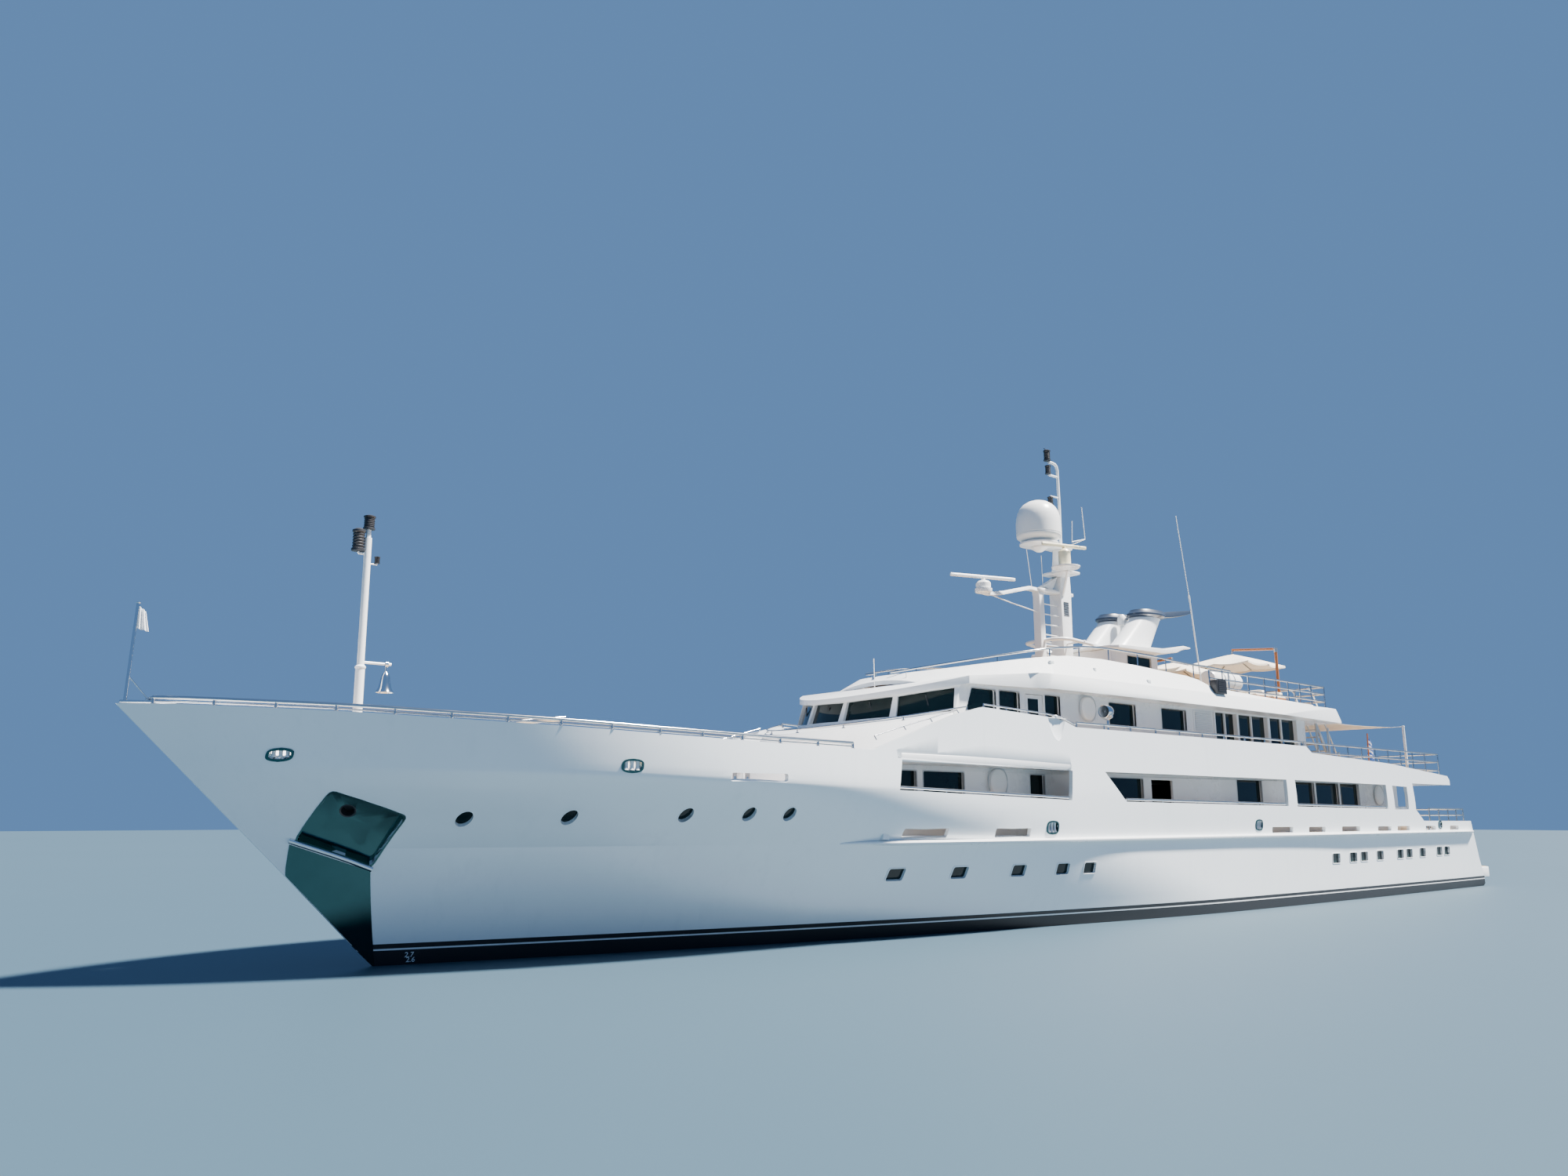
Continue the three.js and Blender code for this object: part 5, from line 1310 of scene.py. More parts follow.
for side, sign in SIDES:
    seals = [flat_ring(window_outline(*row), HOUSE_HALF, sign, 0.025, 0.05)
             for row in UPPER_WINDOWS if row[2] > 5]
    finish_piece(seals, f"upper_window_seals_{side}", "louvre_grey")
    posts = []
    for s, half in ((26.72, 0.04), (28.185, 0.065), (30.28, 0.08), (32.34, 0.05)):
        posts.append(slab(s - half, s + half, *between(sign, 3.24, 3.3), 4.47, 6.41))
    for s in (27.5, 29.24, 31.32):
        posts.append(slab(s - 0.03, s + 0.03, *between(sign, 3.15, 3.22), 4.66, 6.4))
    posts.append(slab(26.76, 32.3, *between(sign, 3.24, 3.28), 4.59, 4.65))
    for piece in posts:
        soften(piece, 0.004, 1)
    finish_piece(posts, f"saloon_posts_{side}", "house_white")
    slats = []
    for step in range(12):
        z = 5.62 + step * 0.062
        blade = side_shape([(25.56, z), (26.5, z), (26.5, z + 0.035), (25.56, z + 0.035)],
                           *between(sign, 3.25, 3.285))
        slats.append(soften(blade, 0.003, 1))
    slats.append(flat_ring(box_outline(25.5, 26.56, 5.56, 6.37, 0.02), HOUSE_HALF, sign, 0.04, 0.005))
    # The louvre's slats use the darker, bluer copy of the white paint, as painted shade.
    finish_piece(slats, f"air_louvre_{side}", "house_white_painted_shade")

wipers = []
for index in range(PANES):
    lower_left, lower_right, upper_right, upper_left = pane_corners(index, -0.02, shrink=0.05)
    foot = lower_left.lerp(lower_right, 0.42)
    head = upper_left.lerp(upper_right, 0.5)
    tip = foot.lerp(head, 0.75)
    wipers.append(tube([[foot, tip]], 0.012 * SCALE, 2))
    wipers.append(tube([[tip.lerp(foot, 0.55), tip.lerp(head, 0.8)]], 0.018 * SCALE, 2))
finish_piece(wipers, "window_wipers", "lantern_black", slot="tinted_glass")

# %% [markdown]
# ## The roof and the sundeck's fairing
# The roof reaches past the wheelhouse as a visor with a soft lip, and widens abaft
# the doors. The fairing leans in above it, and the roof's edge is cut to the same
# leaning face, so that a fold runs down and aft along it.

# %% Roof with a rounded lip
ROOF_ABOVE = [(35.08, 6.5), (34.75, 6.84), (34.65, SUNDECK), (17.0, SUNDECK), (14.3, 6.66), (12.55, 6.2)]
ROOF_EDGE = [(16.8, 3.5), (17.35, 3.72), (18.4, 3.8), (22.0, 3.92), (25.7, 4.03), (30, 4.03), (35.1, 3.65)]
ROOF_PLAN = [*front_arc(12.6, 14.3, 3.45), *((s, -y) for s, y in ROOF_EDGE), *reversed(ROOF_EDGE)]
FAIRING_HALF, FAIRING_LEAN = 3.74, 0.62


def fairing_face(z):
    """How far out the fairing's leaning side stands at a level."""
    return FAIRING_HALF - (z - SUNDECK) * FAIRING_LEAN


roof = kept_inside(plan_shape(ROOF_PLAN, 6.0, 7.0), side_shape([*ROOF_BELOW, *ROOF_ABOVE], -5, 5))
for side, sign in SIDES:
    outside = [(fairing_face(6.2), 6.2), (fairing_face(7.2), 7.2), (4.8, 7.2), (4.8, 6.2)]
    cut_away(roof, raised([at(16.9, sign * y, z) for y, z in outside], at(36, 0, 0) - at(16.9, 0, 0)))
soften(roof, 0.022, 4)
finish_piece(roof, "roof_shell", "house_white", ["roof"])

# %% The fairing round the sundeck
FAIRING_TOP = [(14.2, 6.96), (15.2, 7.09), (16.1, 7.24), (17.0, 7.38), (18.0, 7.51), (18.8, 7.6),
               (20.5, 7.65), (22.3, 7.6), (23.1, 7.56), (25.0, 7.47), (25.6, 7.38), (26.1, 7.2), (27.4, 7.12),
               (29.4, 7.05), (31.6, 7.0), (33.0, 6.97)]


def fairing_plan(inset):
    def plan(z):
        lean = FAIRING_HALF - fairing_face(z)
        side = FAIRING_HALF - lean - inset
        return [*front_arc(14.45 + lean * 3.2 + inset * 2.4, 17.6 + lean * 0.8 + inset, side), (33.0, -side),
                (33.0, side)]
    return plan


fairing = leaning_form(fairing_plan(0), (6.5, 8.1))
cut_away(fairing, leaning_form(fairing_plan(WALL), (6.3, 8.3)))
kept_inside(fairing, side_shape([*FAIRING_TOP, (33.0, 6.5), (14.2, 6.5)], -5, 5))
cut_away(fairing, slab(32.8, 34, -5, 5, 6, 9))
above_roof = side_shape([(12, 6.23), *((s, z + 0.001) for s, z in reversed(ROOF_ABOVE)), (36, 9), (12, 9)],
                        -6, 6)
kept_inside(fairing, above_roof)
soften(fairing, 0.014, 3)
finish_piece(fairing, "sundeck_fairing_shell", "house_white", ["sundeck_fairing"])
finish_piece(plan_shape(mirrored([(15.6, 2.2), (17.9, 3.35), (34.6, 3.5)]), SUNDECK + 0.001, SUNDECK + 0.012),
             "sundeck_teak", "teak_deck")

# %% The house on the sundeck and the hardtop over it
dressed("sundeck_house", "house_white", 0.012)
HARDTOP_PLAN = mirrored([(23.4, 1.62), (23.62, 1.84), (26.9, 2.0), (28.2, 1.7)])
HARDTOP_SIDE = [(23.2, 8.46), (26.0, 8.452), (26.8, 8.56), (27.5, 8.76), (28.25, 8.86), (28.3, 8.9),
                (27.5, 8.88), (26.9, 8.76), (26.2, 8.64), (24.2, 8.6), (23.2, 8.56)]
hardtop = kept_inside(plan_shape(HARDTOP_PLAN, 8.2, 9.0), side_shape(HARDTOP_SIDE, -3, 3))
soften(hardtop, 0.02, 4)
finish_piece(hardtop, "hardtop_shell", "house_white", ["hardtop"])
for side, sign in SIDES:
    pane = slab(24.42, 25.78, *between(sign, 1.53, 1.56), 7.87, 8.28)
    seal = flat_ring(box_outline(24.4, 25.8, 7.85, 8.3, 0.03), 1.6, sign, 0.03, 0.03)
    finish_piece(pane, f"sundeck_house_pane_{side}", "dark_glass")
    finish_piece(seal, f"sundeck_house_seal_{side}", "louvre_grey")
ring = rounded([(24.3, -1.05), (21.9, -0.8), (21.9, 0.8), (24.3, 1.05)], 0.45, 8)
ring = [(s, y, 8.6 if s > 23.5 else 8.74) for s, y in ring]
foot_rail = [tube([[at(*spot) for spot in ring[8:-8]]], 0.06 * SCALE, 5)]
foot_rail.append(tube([[at(22.95, side * 0.25, 8.7), at(22.95, side * 0.98, 8.73)] for side in (-1, 1)],
                      0.03 * SCALE))
foot_rail.append(rod([(22.4, 0, 8.71), (21.93, 0, 8.73)], 0.03 * SCALE))
finish_piece(foot_rail, "mast_foot_rail", "house_white")

# %% [markdown]
# ## Funnels
# Each funnel is an oval casing that rakes aft, with a fold where its after face
# meets the side. Its navy cap flares out over the rim and trails a fin.

# %% Casings, caps and the small dome between them
FUNNEL_Y, FUNNEL_HALF = 0.66, 0.44
FUNNEL_LOW, FUNNEL_TOP = (24.7, 26.85, 8.55), (26.35, 27.7, 9.95)


def oval_ring(fore, aft, y, half, z, power=0.8, steps=40):
    points = []
    for step in range(steps):
        turn = 2 * math.pi * step / steps
        c, n = math.cos(turn), math.sin(turn)
        points.append(at((fore + aft) / 2 + (aft - fore) / 2 * c,
                         y + half * math.copysign(abs(n) ** power, n), z))
    return points


for side, sign in SIDES:
    y = FUNNEL_Y * sign
    casing = []
    for part in (0, 0.04, 0.25, 0.5, 0.75, 1.0):
        flare = 0.05 * (1 - part) ** 6
        fore = FUNNEL_LOW[0] + (FUNNEL_TOP[0] - FUNNEL_LOW[0]) * part ** 0.93 - flare
        aft = FUNNEL_LOW[1] + (FUNNEL_TOP[1] - FUNNEL_LOW[1]) * part ** 1.1 + flare
        casing.append(oval_ring(fore, aft, y, FUNNEL_HALF + flare * 0.5,
                                FUNNEL_LOW[2] + (FUNNEL_TOP[2] - FUNNEL_LOW[2]) * part))
    finish_piece(closed_skin(casing), f"funnel_casing_{side}", "house_white", [f"funnel_{side}"])
    fore, aft, top = FUNNEL_TOP
    rim = [(fore + 0.03, aft - 0.03, 0.0, 0.001), (fore - 0.05, aft + 0.16, 0.06, 0.03),
           (fore - 0.1, aft + 0.25, 0.12, 0.08), (fore - 0.1, aft + 0.28, 0.12, 0.14),
           (fore - 0.02, aft + 0.34, 0.06, 0.2), (fore + 0.06, aft + 0.36, 0.0, 0.29),
           (fore + 0.15, aft + 0.22, -0.08, 0.3), (fore + 0.18, aft + 0.1, -0.14, 0.2)]
    cap = closed_skin([oval_ring(f, a, y, FUNNEL_HALF + w, top + h, 0.85) for f, a, w, h in rim])
    fin_rows = []
    for part in [step / 12 for step in range(13)]:
        spot = aft - 0.15 + (29.95 - aft + 0.15) * part
        under = top + 0.08 + 0.44 * part ** 1.6
        over = top + 0.26 + 0.37 * part
        half = (0.36 - 0.1 * part) * (1 - 0.35 * part ** 3)
        fin_rows.append([at(spot, y + half * sy, z) for sy, z in
                         ((-1, under + 0.02), (-0.8, under), (0.8, under), (1, under + 0.02), (0.9, over),
                          (-0.9, over))])
    fin = soften(closed_skin(fin_rows), 0.006)
    finish_piece([cap, fin], f"funnel_crown_{side}", "navy_paint", [f"funnel_cap_{side}"])
small_dome = turned(at(26.6, 0.0, 9.75),
                    [(0.04, -0.6), (0.04, 0.0), (0.08, 0.01), (0.085, 0.1), (0.07, 0.16), (0.04, 0.2),
                     (0.001, 0.21)], 24)
finish_piece(small_dome, "small_dome", "white_plastic")

# %% [markdown]
# ## Main mast
# A tapered column carries the platforms of the dome and the upper scanner, and a
# bent pole with the steaming lights. A second, thinner column stands before it
# and holds the long arm of the forward scanner.

# %% Mast columns, platforms and arm


def tapered(rows):
    """A four-sided post through (fore, aft, half, level) rows."""
    return closed_skin([[at(f, h, z), at(a, h, z), at(a, -h, z), at(f, -h, z)] for f, a, h, z in rows])


def platform(s0, s1, y0, y1, z, thick=0.07):
    return soften(plan_shape(rounded([(s0, y0), (s1, y0), (s1, y1), (s0, y1)], 0.22, 5), z - thick, z), 0.008)


mast = [
    soften(tapered([(22.76, 23.22, 0.27, SUNDECK + 0.002), (22.74, 23.33, 0.24, 10.5),
                    (22.85, 23.36, 0.2, 11.1), (22.95, 23.39, 0.17, 12.05)]), 0.012, 3),
    soften(tapered([(21.69, 21.97, 0.15, SUNDECK + 0.002), (21.7, 21.95, 0.14, 10.52)]), 0.01, 3),
    platform(21.63, 23.6, -0.2, 0.2, 10.52, 0.1),
    platform(21.4, 23.5, -0.35, 0.35, 12.11),
    turned(at(22.0, 0, 0), [(0.001, 5.98), (0.2, 5.99), (0.33, 6.03), (0.33, 6.056), (0.001, 6.058)], 36),
    platform(22.2, 23.1, -0.17, 0.9, 11.1),
    turned(at(22.02, 1.04, 0), [(0.001, 5.53), (0.22, 5.535), (0.235, 5.55), (0.235, 5.565), (0.001, 5.567)],
           36),
    soften(closed_skin([[at(s, y * w, z + h) for y, h in ((-1, 0), (1, 0), (0.7, 0.13), (-0.7, 0.13))]
                        for s, z, w in
                        ((22.0, 10.38, 0.13), (21.3, 10.41, 0.12), (19.9, 10.06, 0.09), (19.3, 9.97, 0.09),
                         (18.95, 9.99, 0.09))]), 0.008),
    turned(at(19.03, 0, 10.06), [(0.05, -0.03), (0.13, -0.012), (0.14, 0.02), (0.14, 0.048), (0.001, 0.048)],
           28),
    turned(at(22.0, 0, 0), [(0.001, 5.9), (0.05, 5.91), (0.16, 5.98), (0.001, 5.99)], 24),
    soften(side_shape([(22.45, 10.5), (22.0, 10.62), (22.75, 11.02), (22.8, 11.05)], -0.12, 0.12), 0.004, 1),
    rod([(22.95, 0.15, 10.3), (22.3, 0.9, 11.07)], 0.022, 4),
    rod([(21.8, 0, 9.7), (20.4, 0, 9.86), (19.3, 0, 10.02)], 0.009),
    rod([(23.2, 0, 12.0), (23.22, 0, 13.6), (23.2, 0, 14.95), (23.16, 0, 15.08), (23.08, 0, 15.15),
           (22.95, 0, 15.17), (22.72, 0, 15.17)], 0.026, 5),
    rod([(23.2, 0, 13.95), (22.74, 0, 13.93)], 0.014, 4),
    rod([(23.2, 0, 14.7), (22.72, 0, 14.7)], 0.02, 4),
]
for level in (7.9, 8.25, 8.6, 8.95, 9.3, 9.65, 10.0):
    mast.append(rod([(21.9, 0.1, level), (22.8, 0.1, level)], 0.01))
finish_piece(mast, "main_mast_frame", "house_white", ["main_mast"])
vent = [slab(22.87, 23.15, *between(sign, 0.235, 0.262), 9.68 + 0.05 * step, 9.7 + 0.05 * step)
        for side, sign in SIDES for step in range(10)]
finish_piece(vent, "mast_vent_slats", "lantern_black", slot="house_paint")

# %% Lanterns: a base, a ribbed lens and a cap


def lantern(s, y, z, radius, height=0.42):
    r, h = radius * SCALE, height * SCALE
    profile = [(r * 0.6, 0.0), (r * 1.25, 0.02 * h), (r * 1.25, 0.12 * h), (r, 0.16 * h)]
    for ridge in range(5):
        base = 0.18 + ridge * 0.125
        profile += [(r, base * h), (r * 1.12, (base + 0.03) * h), (r * 1.12, (base + 0.07) * h),
                    (r, (base + 0.1) * h)]
    profile += [(r * 1.25, 0.84 * h), (r * 1.25, 0.92 * h), (r * 0.6, 1.0 * h)]
    return turned(at(s, y, z), profile, 20)


lanterns = [lantern(22.66, 0, 15.19, 0.1), lantern(22.68, 0, 14.72, 0.085, 0.33),
            lantern(22.74, 0, 13.62, 0.085, 0.3)]
wind_vane = rod([(22.66, 0, 15.6), (22.5, 0, 15.62)], 0.008)
finish_piece([*lanterns, wind_vane], "mast_lanterns", "lantern_black", slot="house_paint")
whips = [rod([(22.0, 1.35, 11.9), (22.06, 1.35, 12.65)], 0.006),
         rod([(22.66, 1.4, 12.12), (22.56, 1.4, 13.2)], 0.006),
         rod([(22.9, 0.4, 12.04), (22.66, 1.4, 12.1), (22.0, 1.35, 11.92)], 0.008),
         rod([(22.1, 0, 10.5), (22.08, 0, 11.7)], 0.005)]
finish_piece(whips, "short_aerials", "white_plastic")

# %% The dome, and the two turning scanners
DOME_PROFILE = [(0.001, 12.121), (0.3, 12.121), (0.36, 12.14), (0.66, 12.24), (0.735, 12.31), (0.755, 12.36),
                (0.755, 12.39), (0.74, 12.4), (0.74, 12.42), (0.755, 12.43), (0.757, 12.8), (0.74, 13.0),
                (0.7, 13.17), (0.62, 13.33), (0.5, 13.46), (0.34, 13.56), (0.17, 13.615), (0.001, 13.63)]
dome = lathe(at(22.0, 0, 0), DOME_PROFILE, 56)
finish_piece(dome, "satellite_dome_shell", "white_plastic", ["satellite_dome"])


def scanner(s, y, foot, bar_level, span, drum, degrees):
    """A drum with a bar on it; the bar stands some degrees off the fore-and-aft line."""
    top = bar_level - foot
    body = lathe(at(s, y, foot), [
        (0.001, 0.001), (drum * 0.8, 0.001), (drum, 0.05), (drum, top - 0.16), (drum * 0.8, top - 0.1),
        (0.07, top - 0.06), (0.06, top + 0.02), (0.001, top + 0.02)])
    c, n = math.cos(math.radians(degrees)), math.sin(math.radians(degrees))
    rows = []
    for part in [step / 16 for step in range(17)]:
        along = (part - 0.5) * span
        taper = 1.0 - 0.35 * abs(2 * part - 1) ** 6
        rows.append([at(s + along * c - off * taper * n, y + along * n + off * taper * c, bar_level + dz)
                     for off, dz in
                     ((-0.06, 0.0), (-0.06, 0.07), (-0.035, 0.1), (0.035, 0.1), (0.06, 0.07), (0.06, 0.0))])
    return joined([body, soften(closed_skin(rows), 0.003)])


# name, finish, place s, y, foot, level of the bar, span, drum's radius, degrees off fore and aft
SCANNERS = [("forward", "white_plastic", 19.03, 0, 10.16, 10.5, 2.4, 0.24, 17.5),
            ("upper", "cream_plastic", 22.0, 1.02, 11.14, 11.8, 1.8, 0.2, 15)]
for name, finish, *sizes in SCANNERS:
    node = f"radar_{name}"
    finish_piece(scanner(*sizes), f"scanner_{name}_unit", finish, [node], frame["nodes"][node]["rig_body"],
                 "white_plastic")

# %% [markdown]
# ## The foredeck
# A thin mast with the anchor light and the bell, a staff at the stem, two
# windlasses with their warping drums, bollards, a hatch, vents and a small crane.

# %% Foremast, lanterns, bell and jackstaff
foremast = [
    rod([(-0.66, 0, 3.701), (-0.68, 0, 6.0)], 0.095 * SCALE, 6),
    rod([(-0.68, 0, 6.0), (-0.71, 0, 8.75)], 0.075 * SCALE, 6),
    turned(at(-0.66, 0, 3.7), [(0.1, 0.001), (0.1, 0.02), (0.06, 0.03), (0.05, 0.06)], 24),
    turned(at(-0.68, 0, 5.98), [(0.05, -0.01), (0.056, 0.0), (0.056, 0.012), (0.04, 0.03)], 20),
    rod([(-0.71, 0, 8.7), (-0.71, 0, 8.98)], 0.05 * SCALE, 5),
    rod([(-0.68, 0, 8.4), (-0.88, 0, 8.4), (-0.91, 0, 8.43)], 0.03 * SCALE, 4),
    rod([(-0.7, 0, 8.2), (-0.5, 0, 8.2), (-0.49, 0, 8.24)], 0.02 * SCALE, 4),
    rod([(-0.68, 0, 6.1), (-0.04, 0, 6.1)], 0.028 * SCALE, 5),
]
finish_piece(foremast, "foremast_tube", "house_white", ["foremast"])
finish_piece([lantern(-0.71, 0, 8.93, 0.1, 0.32), lantern(-0.91, 0, 8.43, 0.11, 0.5),
              lantern(-0.49, 0, 8.22, 0.05, 0.16)], "foremast_lanterns", "lantern_black",
             slot="house_paint")
BELL_AT = (-0.14, 6.1)
bell_profile = [(0.001, 5.95), (0.03, 5.95), (0.035, 5.93), (0.075, 5.89), (0.095, 5.82), (0.11, 5.72),
                (0.135, 5.6), (0.175, 5.53), (0.19, 5.5), (0.17, 5.5), (0.11, 5.62), (0.085, 5.78),
                (0.05, 5.85), (0.001, 5.87)]
bell = [lathe(at(BELL_AT[0], 0, 0), bell_profile, 36),
        rod([(BELL_AT[0], 0, 6.04), (BELL_AT[0], 0, 5.94)], 0.02 * SCALE, 4),
        rod([(BELL_AT[0], 0, 5.88), (BELL_AT[0], 0, 5.56)], 0.012 * SCALE),
        turned(at(BELL_AT[0], 0, 5.55), [(0.001, -0.014), (0.012, -0.008), (0.012, 0.004), (0.001, 0.012)],
               12)]
ring_in, ring_out, ring_half = 0.034 * SCALE, 0.062 * SCALE, 0.03 * SCALE
bell.append(turned(at(BELL_AT[0], 0, BELL_AT[1]),
                   [(ring_in, -ring_half), (ring_out, -ring_half), (ring_out, ring_half),
                    (ring_in, ring_half), (ring_in, -ring_half)], 24, (1, 0, 0)))
finish_piece(bell, "ship_bell_cast", "polished_steel", ["ship_bell"], frame["nodes"]["ship_bell"]["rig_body"])
stem_cap = plan_shape(mirrored([(-4.99, 0.02), (-4.7, 0.17), (-4.3, 0.31), (-4.1, 0.31)]), 4.99, 5.045)
soften(stem_cap, 0.006)
staff = [stem_cap, rod([(-4.9, 0, 5.03), (-4.86, 0, 6.86)], 0.03 * SCALE, 5),
         rod([(-4.89, 0, 5.5), (-4.5, 0, 5.05)], 0.014 * SCALE, 4),
         turned(at(-4.86, 0, 6.84),
                [(0.001, 0.0), (0.016, 0.004), (0.02, 0.012), (0.014, 0.018), (0.001, 0.02)], 16)]
finish_piece(staff, "jackstaff_tube", "polished_steel", ["jackstaff"])

# %% Windlasses, bollards, the hatch, vents and the crane
gear = [soften(slab(0.9, 1.9, -1.3, 1.3, FOREDECK_TEAK, 3.8), 0.012)]
for side, sign in SIDES:
    y = 0.85 * sign
    gear.append(soften(slab(1.16, 1.64, y - 0.2, y + 0.2, 3.79, 4.18), 0.02, 3))
    drum = mirrored([(0.001, -0.44), (0.2, -0.44), (0.25, -0.42), (0.25, -0.4), (0.15, -0.36), (0.14, -0.26),
                     (0.17, -0.2), (0.26, -0.18), (0.27, -0.14), (0.2, -0.1), (0.17, -0.04)])
    gear.append(lathe(at(1.4, y, 4.15), drum, 32, (0, 1, 0)))
finish_piece(gear, "windlass_gear", "polished_steel", ["windlass"])
BOLLARDS = [(-2.2, 0.55), (3.3, 2.55), (6.9, 3.1), (16.5, 3.72), (27.5, 3.72), (42.3, 3.45), (45.0, 3.1)]
bollard_profile = [(0.001, 0.0), (0.1, 0.0), (0.1, 0.02), (0.075, 0.05), (0.075, 0.2), (0.11, 0.24),
                   (0.11, 0.27), (0.08, 0.3), (0.001, 0.31)]
bollards = []
for s, y in BOLLARDS:
    deck = FOREDECK if s < 10 else MAIN_DECK
    for side, sign in SIDES:
        bollards.append(soften(slab(s - 0.34, s + 0.34, sign * y - 0.1, sign * y + 0.1, deck + 0.012,
                                    deck + 0.03), 0.004, 1))
        for offset in (-0.18, 0.18):
            bollards.append(lathe(at(s + offset, sign * y, deck + 0.02), bollard_profile, 20))
finish_piece(bollards, "mooring_bollards", "polished_steel")
hatch = soften(slab(7.8, 8.8, -0.5, 0.5, FOREDECK_TEAK, 3.8), 0.015, 3)
finish_piece(hatch, "foredeck_hatch_coaming", "house_white", slot="hull_paint")
hatch_lid = soften(slab(7.84, 8.76, -0.46, 0.46, 3.798, 3.818), 0.006)
finish_piece(hatch_lid, "foredeck_hatch_lid", "dark_glass")
HOOD = [(0.34, 0.0), (0.33, 0.2), (0.28, 0.34), (0.16, 0.44), (0.001, 0.47)]
cowls = []
for s, y in ((5.9, 1.1), (5.9, -1.1), (7.1, 0.0)):
    cowls.append(turned(at(s, y, FOREDECK_TEAK), [(0.001, 0.0), *((r * SCALE, h * SCALE) for r, h in HOOD)],
                        28))
finish_piece(cowls, "mushroom_vents", "house_white")
davit = [rod([(2.9, -0.9, 3.71), (2.9, -0.9, 4.7), (3.0, -0.9, 4.98), (3.3, -0.9, 5.12), (4.6, -0.9, 5.28)],
             0.07 * SCALE, 6),
         rod([(3.6, -0.9, 4.2), (3.45, -0.9, 5.1)], 0.035 * SCALE, 4),
         turned(at(4.65, -0.9, 5.26), [(0.001, -0.03), (0.026, -0.02), (0.026, 0.02), (0.001, 0.03)], 16,
                (0, 1, 0)),
         rod([(2.3, -0.9, 3.71), (2.75, -0.9, 4.4)], 0.03 * SCALE, 4)]
finish_piece(davit, "foredeck_crane", "polished_steel")

# %% [markdown]
# ## Rails
# Rails are bent from round steel tube. One helper runs bars through points at
# several heights and stands a post at each foot, with a small round shoe. The bow
# has one thick bar close above the plating and a thin one under it.

# %% A helper for rails, and the rails round the decks


def rail_of(feet, heights, radius=0.032, bars=None):
    paths = [[at(s, y, z + height) for s, y, z in (bars or feet)] for height in heights]
    posts = [[at(s, y, z), at(s, y, z + heights[-1])] for s, y, z in feet]
    shoes = [turned(at(s, y, z), [(0.001, 0.0), (0.026, 0.0), (0.024, 0.006), (0.012, 0.012)], 10)
             for s, y, z in feet]
    return joined([tube(paths, radius * SCALE, 4), tube(posts, radius * 0.85 * SCALE), *shoes])


def on_plate(stations, width_level, table, sign=1):
    """Points along the top of a side plate, in the middle of its thickness."""
    return [(s, sign * (half_breadth(s, width_level) - PLATE / 2), level_along(table, s)) for s in stations]


BOW_POSTS = (-4.49, -3.61, -2.7, -1.78, -0.84, 0.11, 1.11, 2.12, 3.15, 4.2, 5.2, 6.2, 7.22, 8.3, 9.37)
bow_feet = on_plate(BOW_POSTS, 4.8, SHEER)
bow_bars = on_plate([-4.49 + 0.44 * step for step in range(32)], 4.8, SHEER)
bow_bars = mirrored([*bow_bars, bow_feet[-1]][::-1])
bow_rail = [rail_of(mirrored(bow_feet[::-1]), (0.13,), 0.036, bow_bars),
            tube([[at(s, y, z + 0.05) for s, y, z in bow_bars]], 0.018 * SCALE)]
finish_piece(bow_rail, "bow_rail_tube", "rail_steel", ["bow_rail"])
sundeck_feet = [(26.4, 3.38), (27.6, 3.4), (28.9, 3.4), (30.0, 3.4), (30.8, 3.4), (31.7, 3.39), (32.6, 3.38),
                (33.5, 3.36), (34.55, 3.35), (34.58, 2.2), (34.58, 1.1)]
sundeck_feet = [(s, y, SUNDECK) for s, y in sundeck_feet]
finish_piece(rail_of(mirrored(sundeck_feet), (0.3, 0.58, 0.85)), "sundeck_rail_tube", "rail_steel",
             ["sundeck_rail"])
upper = []
for side, sign in SIDES:
    low_feet = on_plate([17.9 + 1.3 * step for step in range(11)], 5.3, UPPER_TOP, sign)
    upper.append(rail_of(low_feet, (0.14,)))
after_feet = [(31.4, 3.92), (32.6, 3.89), (33.8, 3.86), (35.0, 3.83), (36.2, 3.8), (37.4, 3.77), (38.6, 3.74),
              (39.8, 3.71), (41.0, 3.68), (42.2, 3.67), (43.6, 3.64), (43.65, 2.4), (43.65, 1.2),
              (43.65, 0.0)]
after_feet = [(s, y, UPPER_DECK + 0.01) for s, y in after_feet]
upper.append(rail_of(mirrored(after_feet, 1), (0.4, 0.75, 1.08)))
upper.append(tube([[at(30.9, sign * (half_breadth(30.9, 5.3) - PLATE / 2), 5.53), at(31.4, sign * 3.92, 5.53)]
                   for side, sign in SIDES], 0.01))
finish_piece(upper, "upper_rail_tube", "rail_steel", ["upper_rail"])
stern_feet = [(s, half_breadth(s, 2.77) - PLATE / 2, QUARTER_TOP) for s in (41.6, 42.6, 43.6, 44.5, 45.3)]
stern_feet += [(45.8, y, QUARTER_TOP - 0.01) for y in (3.3, 2.2, 1.1, 0.0)]
finish_piece(rail_of(mirrored(stern_feet, 1), (0.25, 0.5)), "stern_rail_tube", "rail_steel",
             ["stern_rail"])

# %% Hand rails on the bridge front, the stair, the fairing and the side openings
COAMING_RAIL = [(14.45, 7.05), (15.43, 7.27), (16.53, 7.49), (17.86, 7.73), (19.36, 7.93), (20.24, 8.0),
                (21.24, 8.02), (23.36, 7.98), (24.96, 7.9), (27.45, 7.8)]
COAMING_INSET = 0.06


def bridge_edge(inset, steps=30):
    """Points along the top of the bridge front, found in two tries at their level."""
    points = []
    for step in range(steps + 1):
        index = int(round(step / steps * 36))
        s, _ = bridge_plan(inset)(5.3)[index]
        s, y = bridge_plan(inset)(level_along(BRIDGE_TOP, s))[index]
        points.append((s, y, level_along(BRIDGE_TOP, s)))
    return points


